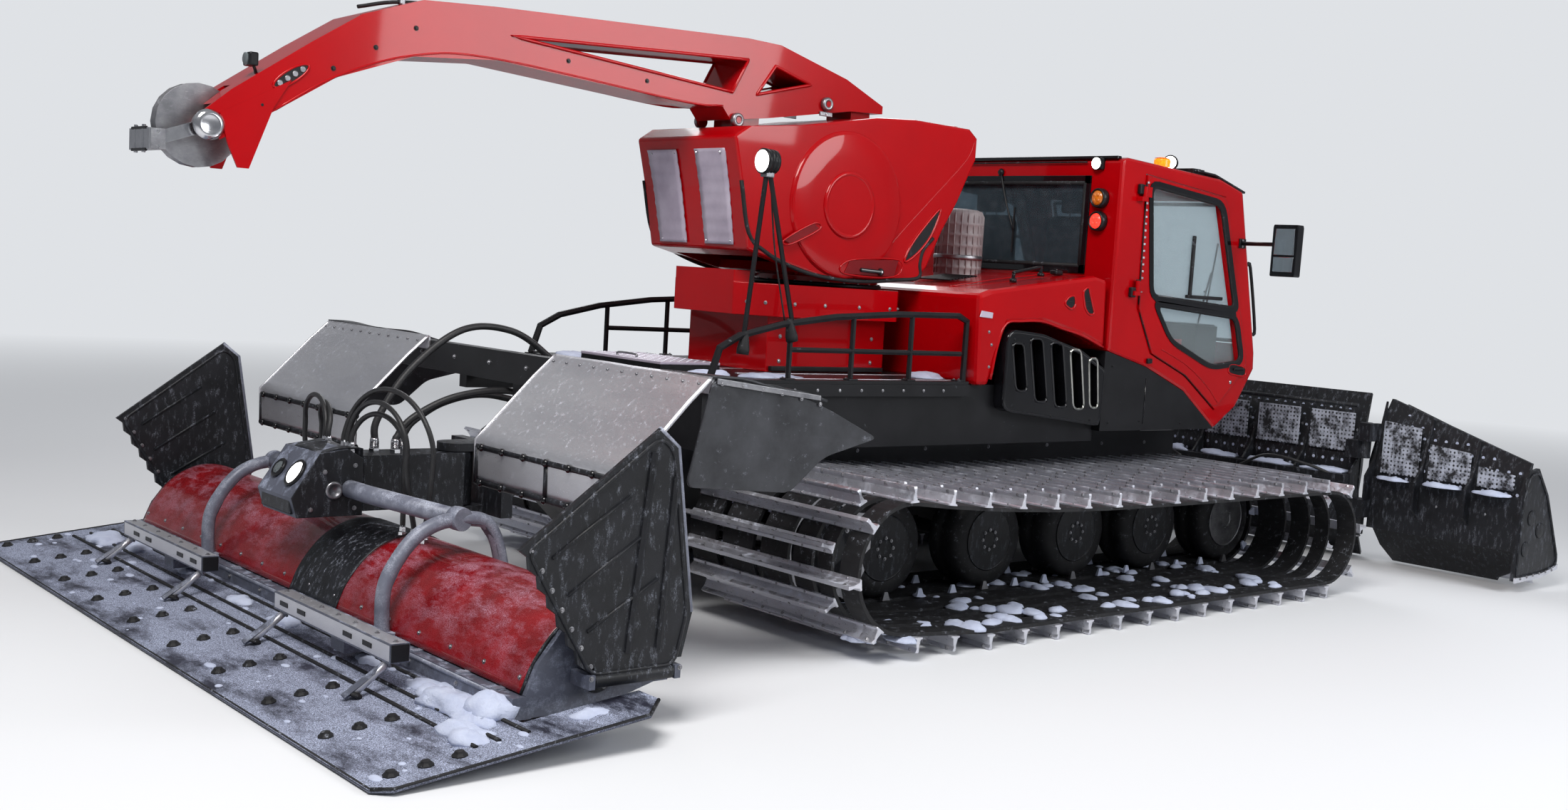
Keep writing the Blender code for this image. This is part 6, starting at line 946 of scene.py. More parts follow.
HOSE_R = 0.019
FERRULE = ((0.0235, 0.026), (0.0235, 0.066), (0.0225, 0.070), (0.0205, 0.078))
HOSES = (
    (
        (-2.1503, -0.14, 1.1), (-2.24, -0.14, 1.1), (-2.306, -0.144, 1.113), (-2.401, -0.151, 1.131),
        (-2.506, -0.157, 1.151), (-2.6, -0.16, 1.17), (-2.679, -0.16, 1.19), (-2.754, -0.159, 1.212),
        (-2.826, -0.155, 1.23), (-2.9, -0.15, 1.24), (-2.977, -0.142, 1.24), (-3.055, -0.132, 1.232),
        (-3.131, -0.121, 1.218), (-3.2, -0.11, 1.2), (-3.264, -0.099, 1.175), (-3.324, -0.088, 1.144),
        (-3.377, -0.078, 1.111), (-3.42, -0.07, 1.08), (-3.452, -0.065, 1.049),
        (-3.474, -0.062, 1.018), (-3.489, -0.061, 0.99), (-3.5, -0.06, 0.97), (-3.5, -0.06, 0.8963),
    ),
    (
        (-2.1503, 0, 1.2), (-2.24, 0, 1.2), (-2.286, 0, 1.232), (-2.353, 0, 1.279), (-2.428, 0, 1.331),
        (-2.5, 0, 1.38), (-2.568, 0, 1.428), (-2.636, 0, 1.478), (-2.707, 0, 1.523), (-2.78, 0, 1.555),
        (-2.858, 0, 1.573), (-2.939, 0, 1.582), (-3.02, 0, 1.579), (-3.1, 0, 1.56), (-3.179, 0, 1.522),
        (-3.259, 0, 1.467), (-3.334, 0, 1.403), (-3.4, 0, 1.34), (-3.456, 0, 1.274),
        (-3.505, 0, 1.203), (-3.545, 0, 1.135), (-3.575, 0, 1.08), (-3.59, 0, 1.039),
        (-3.593, 0, 1.009), (-3.591, 0, 0.986), (-3.59, 0, 0.97), (-3.59, 0, 0.8963),
    ),
    (
        (-2.1503, 0.14, 1.1), (-2.24, 0.14, 1.1), (-2.302, 0.144, 1.107), (-2.391, 0.151, 1.117),
        (-2.49, 0.157, 1.128), (-2.58, 0.16, 1.14), (-2.659, 0.16, 1.154), (-2.735, 0.159, 1.17),
        (-2.809, 0.155, 1.184), (-2.88, 0.15, 1.19), (-2.949, 0.142, 1.188), (-3.016, 0.132, 1.179),
        (-3.08, 0.121, 1.166), (-3.14, 0.11, 1.15), (-3.198, 0.099, 1.129), (-3.252, 0.088, 1.102),
        (-3.301, 0.078, 1.075), (-3.34, 0.07, 1.05), (-3.366, 0.065, 1.027), (-3.382, 0.062, 1.004),
        (-3.393, 0.061, 0.984), (-3.4, 0.06, 0.97), (-3.4, 0.06, 0.8963),
    ),
)


for number, route in enumerate(HOSES):
    points = smooth_line([at(*p) for p in route], 3)
    kit = Kit()
    kit.pipe(points, HOSE_R, "hose", 16)
    hose = kit.done("hose_tube_%d" % (number + 1), None, ("hose_%d" % (number + 1),), "rubber",
                    between=("chassis", "tiller_arm", at(-2.45, 0, 0), at(-3.05, 0, 0)))
    for label, body, spot, way, count in (
        ("rear", "chassis", points[0], Vector((-1, 0, 0)), 5),
        ("head", "tiller_arm", points[-1], Vector((0, 0, 1)), 4),
    ):
        kit = Kit()
        kit.turned(FERRULE, spot, way, "chrome", 24)
        kit.turned(((0.029, 0), (0.029, 0.022), (0.027, 0.025)), spot, way, "chrome", 6, False)
        for k in range(count):
            kit.turned(((0.0245, 0), (0.0245, 0.003)), spot + way * (0.030 + 0.008 * k), way, "chrome", 24)
        kit.done("hose_union_%s_%d" % (label, number + 1), body)


# Finishes of the solids that stay in view

WELD_LIMIT, SOFT_ANGLE = 0.00002, math.radians(28)


def soften(name, key, width):
    """A CAD solid with its corners welded, its edges rounded and its finish."""
    item = NODES[name]
    join = item.modifiers.new("join", "WELD")
    join.merge_threshold = WELD_LIMIT
    item.data.materials.clear()
    item.data.materials.append(LOOK[key])
    item.data.polygons.foreach_set("material_index", [0] * len(item.data.polygons))
    if width:
        soft = item.modifiers.new("soft_edges", "BEVEL")
        soft.width = width
        soft.segments = 3
        soft.limit_method = "ANGLE"
        soft.angle_limit = SOFT_ANGLE
        shade_smooth(item.data)
        even = item.modifiers.new("even_shade", "WEIGHTED_NORMAL")
        even.keep_sharp = False
        even.weight = 80
    return item


for name, key, width in (
    ("chassis_frame", "black", 0.006), ("engine_block", "engine", 0.015), ("deck_and_rails", "black", 0.0),
    ("engine_hood", "red", 0.0), ("cab_shell", "red", 0.0), ("windscreen", "glass", 0.0),
    ("rear_glass", "dark_glass", 0.0), ("control_console", "black", 0.012),
    ("roof_lamp_bar", "black", 0.006), ("winch_pedestal", "red", 0.006), ("door_left", "red", 0.004),
    ("door_right", "red", 0.004), ("door_glass_left", "glass", 0.0), ("door_glass_right", "glass", 0.0),
    ("winch_housing", "red", 0.0), ("winch_drum", "steel", 0.004), ("boom", "red", 0.004),
    ("boom_sheave", "steel", 0.002), ("rope_guide", "chrome", 0.003), ("push_frame", "black", 0.006),
    ("blade_swivel", "steel", 0.005), ("blade_centre", "black_frost", 0.003),
    ("blade_wing_left", "black_frost", 0.003), ("blade_wing_right", "black_frost", 0.003),
    ("tiller_arm", "black_frost", 0.006), ("tiller_head", "black_frost", 0.005),
    ("tiller_frame", "grey", 0.0), ("tiller_hood", "red_frost", 0.0), ("finisher_flap", "flap", 0.003),
    ("rotor_left", "rust", 0.0), ("rotor_right", "rust", 0.0), ("side_wing_left", "black_frost", 0.003),
    ("side_wing_right", "black_frost", 0.003), ("side_grille_left", "black_gloss", 0.010),
    ("side_grille_right", "black_gloss", 0.010), ("air_intake", "intake", 0.01),
):
    soften(name, key, width)


# Winch housing: bulged discs, seal, recesses, nose openings and latches

kit = Kit()
for side in (1, -1):
    out = (0, side, 0)
    dome = [
        (0.452, -0.012), (0.447, 0.004), (0.438, 0.016), (0.425, 0.0215), (0.30, 0.0235), (0.215, 0.0255),
        (0.001, 0.0255),
    ]
    kit.turned(dome, at(DRUM_X, side * HOUSING_Y, DRUM_Z), out, "red", 96)
    ring = [
        (0.208, 0.020), (0.203, 0.034), (0.194, 0.0395), (0.184, 0.0395), (0.176, 0.035), (0.172, 0.0265),
        (0.001, 0.0265),
    ]
    kit.turned(ring, at(DRUM_X, side * HOUSING_Y, DRUM_Z), out, "red", 72)
    # rubber seal round the foot of the housing
    seal = [
        (-1.635, 2.50), (-1.56, 2.20), (-1.43, 2.10), (-1.25, 2.03), (-1.05, 1.985), (-0.82, 1.965),
        (-0.60, 1.965), (-0.38, 1.985), (-0.17, 2.01), (-0.165, 2.10), (-0.14, 2.19), (-0.06, 2.27),
    ]
    kit.bead(seal, side * 0.497, 0.013, "rubber", 10, 5)
    # shallow slot, latch recess and nose opening, each a dark inset with a raised rim; the darker red in
    # the slot and the recess and the black in the opening are painted shade for their depth
    for points, key, rim, out_y in (
        (((-1.315, 2.178), (-1.095, 2.292), (-1.045, 2.262), (-1.262, 2.158)), "red_painted_shade", 0.006, 0.526),
        (((-0.83, 2.005), (-0.785, 2.088), (-0.375, 2.112), (-0.41, 2.005)), "red_painted_shade", 0.005, 0.525),
        (
            ((-0.30, 2.105), (-0.262, 2.20), (-0.15, 2.335), (-0.015, 2.46), (-0.075, 2.30), (-0.19, 2.17)),
            "black", 0.008, 0.501,
        ),
    ):
        kit.slab(points, side * (out_y - 0.014), side * (out_y + 0.0015), key, 0.001)
        kit.rim(points, side * out_y, rim, "red", 8, 6)
    kit.rod(at(-0.70, side * 0.527, 2.035), at(-0.53, side * 0.540, 2.028), 0.013, "black_gloss", 14, 0.5)
    kit.turned(
        [(0.024, 0), (0.026, 0.006), (0.020, 0.018), (0.012, 0.020)], at(-0.53, side * 0.525, 2.028), out,
        "black_gloss", 20,
    )
    kit.bolt(at(-0.53, side * 0.545, 2.028), out, 0.010)
    # crease down the nose
    crease = ((-0.434, 2.20), (-0.30, 2.33), (-0.03, 2.58), (0.20, 2.80), (0.262, 2.93))
    kit.bead(crease, side * 0.492, 0.009, "red", 8, 6, 0.6)


def back_x(z):
    """The sloping back of the housing at this height."""
    for (x0, z0), (x1, z1) in (((-1.56, 2.10), (-1.63, 2.466)), ((-1.63, 2.466), (-1.70, 2.748))):
        if z <= z1:
            return x0 + (x1 - x0) * (z - z0) / (z1 - z0)
    return -1.70


def louvred(u, v):
    z = 2.13 + 0.55 * v
    groove = 0.004 if int(v * 28) % 4 == 0 else 0.0
    return at(back_x(z) - 0.006 - groove, side * (0.09 + (0.28 + 0.02 * v) * u), z)


# pale louvred panels lying on the back
for side in (1, -1):
    kit.skin(louvred, 6, 28, 0.006, "pale")
    for z in (2.15, 2.66):
        for y in (0.11, 0.345):
            kit.bolt(at(back_x(z) - 0.010, side * y, z), (-1, 0, -0.2), 0.009)
# oval inlets on the nose top, with a mesh of bars inside; the black sheet under the bars is painted shade
# inside the inlets
for side in (1, -1):
    spots = [(0.155 + 0.085 * math.cos(t), side * 0.26 + 0.150 * math.sin(t)) for t in turns(28)]
    kit.slab(spots, 2.995, 3.0045, "black", 0.001, "z")
    kit.pipe([at(x, y, 3.003) for x, y in spots], 0.008, "red", 8, closed=True)
    for k in range(7):
        y = side * 0.26 - 0.11 + 0.037 * k
        reach = 0.080 * math.sqrt(max(0.05, 1 - ((y - side * 0.26) / 0.15) ** 2))
        kit.block(at(0.155 - reach, y - 0.003, 3.003), at(0.155 + reach, y + 0.003, 3.008), "black", 0.001)
kit.done("housing_details", "winch_turret", slot="red_paint")

# bolts and folded corners of the pedestal
kit = Kit()
for side in (1, -1):
    for x in (-1.18, -0.94, -0.66, -0.40):
        kit.bolt(at(x, side * 0.4985, 1.80), (0, side, 0), 0.012, "steel")
    for t in (0.3, 0.7):
        for x0, x1 in ((-1.50, -1.30), (-0.14, -0.34)):
            spot = at(x0 + (x1 - x0) * t, side * (0.30 + 0.20 * t), 1.80)
            kit.bolt(spot, (-1 if x0 < -1 else 1, side, 0), 0.011, "steel")
    for z in (1.45, 1.60):
        for x in (-1.2, -0.45):
            kit.bolt(at(x, side * 0.399, z), (0, side, 0), 0.013, "steel")
    kit.block(at(-1.28, side * 0.398, 1.39), at(-0.36, side * 0.43, 1.42), "black", 0.005)
ring = [(0.415, 0.0), (0.42, 0.006), (0.42, 0.020), (0.405, 0.026)]
kit.turned(ring, at(-0.60, 0, 1.918), (0, 0, 1), "black", 72)
for turn in turns(24):
    kit.bolt(at(-0.60 + 0.405 * math.cos(turn), 0.405 * math.sin(turn), 1.942), (0, 0, 1), 0.009, "steel")
kit.done("pedestal_details", "chassis", slot="red_paint")

# rope layers on the drum
kit = Kit()
rope = []
WRAPS, WRAP_STEPS, WRAP_R = 15, 24, 0.318
for k in range(WRAPS * WRAP_STEPS):
    turn = 2 * math.pi * k / WRAP_STEPS
    y = -0.295 + 0.59 * k / (WRAPS * WRAP_STEPS)
    rope.append(at(-0.66 + WRAP_R * math.cos(turn), y, DRUM_Z + WRAP_R * math.sin(turn)))
kit.pipe(rope, 0.0185, "steel", 6)
kit.done("drum_rope_layer", "winch_turret", slot="steel")


# Boom: opening rims, pins, tip fork, sheave caps and the tip lamp

kit = Kit()
long_hole = spread(((0.3731, 0.7521), (0.742, 0.8553), (0.7169, 0.6372)), BOOM_PLACE, BOOM_SPAN)
short_hole = spread(((0.7905, 0.8457), (0.8566, 0.7638), (0.7594, 0.6457)), BOOM_PLACE, BOOM_SPAN)
for side in (1, -1):
    for hole in (long_hole, short_hole):
        ring = []
        for n, p in enumerate(hole):
            q = hole[(n + 1) % 3]
            for t in (0.0, 0.04, 0.35, 0.65, 0.96):
                ring.append(at(p[0] + (q[0] - p[0]) * t, side * 0.170, p[1] + (q[1] - p[1]) * t))
        kit.pipe(ring, 0.010, "red", 8, closed=True)
    for x, z, r in ((-1.453, 2.873, 0.042), (-0.759, 3.050, 0.042)):
        cap = [(r, 0), (r, 0.024), (r - 0.006, 0.031), (0.020, 0.031), (0.018, 0.026), (0.001, 0.026)]
        kit.turned(cap, at(x, side * 0.172, z), (0, side, 0), "steel", 32)
        kit.block(
            at(x - 0.05, side * 0.171, z - 0.075), at(x + 0.05, side * 0.184, z - 0.048), "steel", 0.003,
        )
        kit.bolt(at(x, side * 0.184, z - 0.062), (0, side, 0), 0.009)
    cap = [
        (0.070, -0.012), (0.073, -0.008), (0.073, 0.006), (0.060, 0.020), (0.046, 0.024), (0.040, 0.021),
        (0.001, 0.021),
    ]
    kit.turned(cap, at(SHEAVE_X, side * 0.172, SHEAVE_Z), (0, side, 0), "chrome", 48)
    kit.bolt_ring(SHEAVE_X, side * 0.188, SHEAVE_Z, 0.052, 6, (0, side, 0), 0.007)
    # oval slot near the tip with the pale rope-guard rollers inside; its black sheet is painted shade for
    # the slot's depth
    spots = []
    lean = 0.62
    for turn in turns(24):
        dx, dz = 0.105 * math.cos(turn), 0.030 * math.sin(turn)
        spots.append(
            (
                -4.16 + dx * math.cos(lean) - dz * math.sin(lean),
                2.775 + dx * math.sin(lean) + dz * math.cos(lean),
            )
        )
    kit.slab(spots, side * 0.160, side * 0.1715, "black", 0.0)
    kit.rim(spots, side * 0.171, 0.006, "red", 8)
    for k in range(4):
        x, z = -4.215 + 0.037 * k, 2.735 + 0.0265 * k
        kit.turned(
            [(0.014, 0), (0.016, 0.003), (0.012, 0.006)], at(x, side * 0.1705, z), (0, side, 0), "steel",
            16,
        )
    for x, z in ((-3.733, 2.973), (-3.52, 3.10), (-3.95, 2.84), (-4.30, 2.62), (-2.62, 3.06), (-2.1, 3.02)):
        kit.bolt(at(x, side * 0.170, z), (0, side, 0), 0.013, "black")
    # welded edge beads along the boom's lower rim
    under = spread(
        (
            (0.0803, 0.1745), (0.1503, 0.3862), (0.2441, 0.5543), (0.355, 0.6053), (0.6295, 0.5287),
            (0.7023, 0.5372),
        ),
        BOOM_PLACE, BOOM_SPAN,
    )
    kit.bead(under, side * 0.166, 0.007, "red", 8, 5, lift=0.006)
# work lamp on a stalk over the tip
kit.curve([at(-4.30, -0.10, 2.70), at(-4.315, -0.12, 2.78), at(-4.34, -0.13, 2.82)], 0.008, "black", 8, 4)
kit.block(at(-4.365, -0.175, 2.800), at(-4.32, -0.085, 2.865), "black", 0.008)
kit.turned(
    [(0.030, 0), (0.030, 0.006), (0.024, 0.010), (0.001, 0.011)], at(-4.365, -0.13, 2.833), (-1, 0, 0),
    "glass", 24,
)
# cable clips and a hose along the top of the boom
line = spread(
    ((0.20, 0.80), (0.255, 0.8649), (0.3517, 0.8989), (0.55, 0.943), (0.7397, 0.9883), (0.7984, 0.983)),
    BOOM_PLACE, BOOM_SPAN,
)
kit.bead(line, 0.09, 0.010, "rubber", 8, 6, lift=0.010)
for x, z in line[1:-1]:
    kit.block(at(x - 0.015, 0.072, z - 0.002), at(x + 0.015, 0.108, z + 0.024), "steel", 0.003)
kit.done("boom_details", "winch_turret", slot="red_paint")

kit = Kit()
for side in (1, -1):
    kit.block(at(-4.80, side * 0.1355, 2.36), at(-4.73, side * 0.120, 2.46), "steel", 0.004)
    for z in (2.375, 2.445):
        kit.bolt(at(-4.765, side * 0.1355, z), (0, side, 0), 0.008)
for y in (-0.055, 0.055):
    kit.rod(at(-4.803, y, 2.345), at(-4.803, y, 2.475), 0.009, "chrome", 14)
kit.block(at(-4.812, -0.10, 2.352), at(-4.800, 0.10, 2.366), "black", 0.003)
kit.block(at(-4.812, -0.10, 2.452), at(-4.800, 0.10, 2.466), "black", 0.003)
kit.done("rope_guide_rollers", "rope_guide", slot="steel")


# Cab: window frames, lamps, visor, beacons, mirrors, wipers and latches

def cab_at(shares):
    return spread(shares, CAB_PLACE, CAB_SPAN)


# mirrors, as (out from their middle, height)
MIRROR_Y = 1.42
MIRROR_SHELL = (
    (-0.098, 2.192), (0.098, 2.192), (0.103, 2.20), (0.104, 2.54), (0.098, 2.560), (-0.098, 2.560),
    (-0.104, 2.54), (-0.103, 2.20),
)
MIRROR_LOW = ((-0.080, 2.225), (0.080, 2.225), (0.084, 2.33), (-0.084, 2.33))
MIRROR_HIGH = ((-0.084, 2.345), (0.084, 2.345), (0.078, 2.53), (-0.078, 2.53))
kit = Kit()
# rear window: broad black frame and a rubber lip
lip = [at(1.176, y, z) for y, z in ((-0.69, 2.17), (0.69, 2.17), (0.69, 2.735), (-0.69, 2.735))]
kit.frame(lip, 0.015, "rubber")
for low, high in (
    ((-0.74, 2.115), (0.74, 2.178)), ((-0.74, 2.727), (0.74, 2.785)), ((-0.74, 2.115), (-0.684, 2.785)),
    ((0.684, 2.115), (0.74, 2.785)),
):
    kit.block(at(1.169, low[0], low[1]), at(1.1815, high[0], high[1]), "black_gloss", 0.004)
kit.curve([at(1.163, 0.10, 2.80), at(1.160, 0.03, 2.60), at(1.160, -0.06, 2.40)], 0.007, "black", 8, 5)
kit.block(at(1.158, -0.062, 2.24), at(1.172, -0.050, 2.56), "rubber", 0.003)
kit.turned(
    [(0.026, 0), (0.028, 0.008), (0.018, 0.022), (0.001, 0.024)], at(1.178, 0.11, 2.81), (-1, 0, 0),
    "black", 20,
)
# black strip and cable along the back edge of the roof, lit work lamps at its corners
kit.block(at(1.168, -0.96, 2.893), at(1.215, 0.96, 2.917), "black_gloss", 0.008, 3)
kit.curve(
    [at(1.163, y, 2.875 + 0.006 * math.sin(9 * y)) for y in (-0.7, -0.35, 0, 0.35, 0.7)], 0.006, "rubber",
    8, 5,
)
for side in (1, -1):
    kit.block(at(1.150, side * 0.755, 2.822), at(1.190, side * 0.845, 2.905), "black", 0.012, 3)
    spot, way = at(1.150, side * 0.80, 2.863), (-1, 0, 0)
    kit.turned([(0.044, 0), (0.046, 0.008), (0.040, 0.012)], spot, way, "black", 28)
    kit.turned(
        [(0.040, 0.010), (0.034, 0.019), (0.018, 0.024), (0.001, 0.025)], spot, way, "white_lamp", 28,
    )
    kit.block(at(1.93, side * 0.80, 2.862), at(1.97, side * 0.76, 2.93), "black", 0.008)
    spot, way = at(1.95, side * 0.80, 2.945), (-1, side * 0.5, 0)
    kit.turned([(0.050, -0.03), (0.054, 0.0), (0.054, 0.018), (0.046, 0.022)], spot, way, "black", 28)
    kit.turned(
        [(0.047, 0.018), (0.040, 0.030), (0.020, 0.036), (0.001, 0.037)], spot, way, "white_lamp", 28,
    )
    # tail lamps in black bezels
    for z, key in ((2.63, "amber"), (2.475, "red_lamp")):
        spot = at(1.180, side * 0.84, z)
        kit.turned(
            [(0.066, 0), (0.068, 0.012), (0.066, 0.048), (0.060, 0.056), (0.053, 0.055), (0.051, 0.042)],
            spot, (-1, 0, 0), "black", 40,
        )
        kit.turned(
            [(0.052, 0.040), (0.050, 0.050), (0.036, 0.060), (0.001, 0.064)], spot, (-1, 0, 0), key, 32,
        )
        for k in range(4):
            turn = math.pi / 4 + k * math.pi / 2
            kit.turned(
                [(0.012, 0), (0.010, 0.004), (0.001, 0.005)],
                spot + Vector((-0.0595, 0.024 * math.cos(turn), 0.024 * math.sin(turn))), (-1, 0, 0), key,
                14,
            )
    # beacons: ribbed lens on a black foot
    foot = at(1.80, side * 0.84, 2.866)
    up = Vector((0.042, 0, 1)).normalized()
    kit.turned([(0.066, 0.0), (0.067, 0.018), (0.060, 0.024)], foot, up, "black", 32)
    lens = [(0.0575, 0.02)]
    for k in range(7):
        lens += [(0.0590, 0.024 + 0.009 * k), (0.0570, 0.0285 + 0.009 * k)]
    lens += [(0.054, 0.090), (0.040, 0.098), (0.001, 0.100)]
    kit.turned(lens, foot, up, "amber_lamp", 40)
    # mirror with a black shell, its glass facing back, and a bent arm
    for outline, near, far, key, soft, steps in (
        (MIRROR_SHELL, 2.525, 2.600, "black_gloss", 0.006, 3),
        (MIRROR_LOW, 2.524, 2.530, "mirror", 0.002, 2), (MIRROR_HIGH, 2.524, 2.530, "mirror", 0.002, 2),
    ):
        kit.slab([(side * (MIRROR_Y + a), z) for a, z in outline], near, far, key, soft, "x", steps)
    arm = [at(2.61, side * 0.975, 2.42), at(2.56, side * MIRROR_Y, 2.42), at(2.56, side * MIRROR_Y, 2.30)]
    kit.pipe(arm, 0.0150, "black", 12)
    for z in (2.40, 2.44):
        kit.bolt(at(2.60, side * 1.0165, z), (0, side, 0), 0.010, "steel")
    kit.block(at(2.572, side * 1.0, 2.385), at(2.648, side * 1.012, 2.455), "black", 0.004)
    # latch on the rear pillar and the lower hinge cover
    kit.block(at(1.352, side * 1.0, 2.675), at(1.402, side * 1.030, 2.745), "black", 0.010, 3)
    kit.block(at(1.345, side * 1.0, 1.975), at(1.395, side * 1.030, 2.045), "black", 0.008)


# visor over the windscreen, snowed over
def visor(u, v):
    bow = math.cos(math.pi * (u - 0.5))
    z = 2.893 - 0.010 * min(1.0, v / 0.37) - 0.15 * max(0.0, v - 0.37)
    return at(2.08 + 0.60 * v + 0.02 * bow, -0.94 + 1.88 * u, z + 0.006 * bow)


kit.skin(visor, 28, 14, 0.014, "black_frost")
for y in (-0.85, -0.3, 0.3, 0.85):
    kit.block(at(2.20, y - 0.014, 2.855), at(2.30, y + 0.014, 2.884), "black", 0.004)
# windscreen rubber and two wipers
screen = [at(2.905, -0.865, 1.70), at(2.905, 0.865, 1.70), at(2.625, 0.865, 2.70), at(2.625, -0.865, 2.70)]
kit.frame(screen, 0.014, "rubber")
for y in (-0.42, 0.30):
    kit.turned(
        [(0.022, -0.01), (0.024, 0.012), (0.014, 0.022)], at(2.895, y, 1.665), (1, 0, 0.3), "black", 16,
    )
    kit.pipe([at(2.912, y, 1.665), at(2.855, y - 0.10, 1.96), at(2.79, y - 0.20, 2.20)], 0.008, "black", 8)
    kit.block(at(2.70, y - 0.225, 2.05), at(2.712, y - 0.21, 2.06), "rubber", 0.001)
    kit.pipe([at(2.865, y - 0.12, 1.90), at(2.735, y - 0.28, 2.42)], 0.007, "rubber", 6)
# roof lamps' faces
for k in range(4):
    y = -0.855 + 0.57 * k
    kit.block(at(2.185, y - 0.055, 2.866), at(2.212, y + 0.055, 2.898), "glass", 0.004)
    for j in (-1, 0, 1):
        kit.turned(
            [(0.013, 0), (0.012, 0.004), (0.001, 0.006)], at(2.212, y + 0.035 * j, 2.882), (1, 0, 0),
            "chrome", 14,
        )
# grab rail up the windscreen post and front marker lamps
for side in (1, -1):
    kit.curve(
        [
            at(2.935, side * 0.93, 1.76), at(2.965, side * 0.935, 1.80), at(2.84, side * 0.935, 2.25),
            at(2.80, side * 0.93, 2.27),
        ],
        0.012, "black", 10, 4,
    )
    kit.block(at(2.855, side * 0.80, 1.49), at(2.915, side * 0.93, 1.535), "amber", 0.010, 3)
kit.done("cab_fittings", "chassis", slot="black_paint")

DOOR = (
    (0.1474, 0.9515), (0.6879, 0.9084), (0.8208, 0.5633), (0.9364, 0.2507), (0.7283, 0.0728),
    (0.5029, 0.2075), (0.2659, 0.2884), (0.159, 0.4555),
)
UPPER = ((0.185, 0.9084), (0.6532, 0.8706), (0.7803, 0.5472), (0.8064, 0.4825), (0.2428, 0.5094))
LOWER = ((0.2775, 0.4717), (0.8208, 0.4394), (0.8844, 0.2722), (0.6763, 0.2507), (0.3873, 0.3477))


def inset(points, distance):
    """The outline moved inwards."""
    points = [Vector(p) for p in points]
    area = sum(a.x * b.y - b.x * a.y for a, b in zip(points, points[1:] + points[:1]))
    way = 1 if area > 0 else -1
    made = []
    for n, here in enumerate(points):
        a = (here - points[n - 1]).normalized()
        b = (points[(n + 1) % len(points)] - here).normalized()
        na, nb = Vector((-a.y, a.x)) * way, Vector((-b.y, b.x)) * way
        middle = (na + nb).normalized()
        made.append(tuple(here + middle * distance / max(0.35, middle.dot(na))))
    return made


def rounded_line(points, radius, steps=4):
    """An outline with its corners rounded, as close points."""
    points = [Vector(p) for p in points]
    made = []
    for n, here in enumerate(points):
        before, after = points[n - 1], points[(n + 1) % len(points)]
        a = here + (before - here).normalized() * min(radius, (before - here).length * 0.45)
        b = here + (after - here).normalized() * min(radius, (after - here).length * 0.45)
        for step in range(steps + 1):
            t = step / steps
            made.append(a * (1 - t) ** 2 + here * 2 * t * (1 - t) + b * t * t)
    return made


def band(kit, outer, inner, a, b, key):
    """A flat frame between two outlines with the same count of points."""
    rings = []
    for n in range(len(outer)):
        p, q = outer[n], inner[n]
        rings.append([at(p[0], a, p[1]), at(q[0], a, q[1]), at(q[0], b, q[1]), at(p[0], b, p[1])])
    kit.loft(rings, key, closed=True, smooth=False)


for name, side in SIDES:
    kit = Kit()
    face = side * 1.0145
    upper, lower = cab_at(UPPER), cab_at(LOWER)
    for outline, wide in ((upper, 0.042), (lower, 0.034)):
        inner = rounded_line(outline, 0.07)
        outer = rounded_line(inset(outline, -wide), 0.11)
        band(kit, outer, inner, face - side * 0.002, face + side * 0.006, "black_gloss")
        kit.rim(rounded_line(inset(outline, -0.004), 0.07), side * 1.008, 0.013, "rubber", 8)
    # black panel between and below the panes
    middle = [upper[4], upper[3], lower[1], lower[0]]
    kit.slab(inset(middle, -0.004), face - side * 0.002, face + side * 0.005, "black_gloss", 0.002)
    kit.rim(rounded_line(inset(cab_at(DOOR), 0.012), 0.06), side * 1.006, 0.0085, "rubber", 8)
    # hatched seal along the rear edge
    top, low = Vector((1.452, 2.76)), Vector((1.470, 2.02))
    for k in range(17):
        p = top.lerp(low, k / 16)
        kit.block(
            at(p.x - 0.012, face, p.y - 0.007), at(p.x + 0.006, face + side * 0.004, p.y + 0.007), "alloy",
            0.002,
        )
    # sliding pane's handle bar and frame
    kit.block(at(2.06, side * 0.962, 2.00), at(2.085, side * 0.985, 2.44), "rubber", 0.006)
    kit.block(at(2.04, side * 0.955, 1.995), at(2.46, side * 0.985, 2.02), "rubber", 0.006)
    # recessed handle in the red panel, lock and the kick step's bolts; the black sheet inside the handle's
    # rim is painted shade of the recess
    spot = Vector((2.672, 1.489))
    ring = []
    lean = -0.12
    for turn in turns(28):
        a = math.copysign(0.110 * abs(math.cos(turn)) ** 0.6, math.cos(turn))
        b = math.copysign(0.038 * abs(math.sin(turn)) ** 0.6, math.sin(turn))
        ring.append(
            (
                spot.x + a * math.cos(lean) - b * math.sin(lean),
                spot.y + a * math.sin(lean) + b * math.cos(lean),
            )
        )
    kit.slab(ring, face - side * 0.004, face + side * 0.0015, "black", 0.0)
    kit.rim(ring, face, 0.007, "red", 8)
    kit.block(at(2.615, face, 1.487), at(2.735, face + side * 0.016, 1.507), "black_gloss", 0.007, 3)
    kit.turned(
        [(0.014, 0), (0.014, 0.003), (0.010, 0.005), (0.001, 0.005)], at(2.60, face, 1.40), (0, side, 0),
        "chrome", 20,
    )
    kit.block(at(1.60, side * 1.002, 1.525), at(1.650, side * 1.022, 1.560), "black", 0.006)
    # pressed crease across the lower panel
    kit.bead(
        ((1.74, 1.63), (2.05, 1.52), (2.30, 1.38), (2.46, 1.25)), side * 1.0125, 0.007, "red", 8, 6, 0.6,
    )
    # hinge knuckle caps
    for z in (2.055, 2.695):
        kit.turned(
            [(0.0175, 0), (0.0175, 0.004), (0.010, 0.008)], at(1.405, side * 1.030, z + 0.037), (0, 0, 1),
            "black", 18,
        )
    kit.done("door_fittings_" + name, "door_" + name, slot="black_paint")


# Engine hood: vents, grab handles, latches, lamp and the ribbed air intake

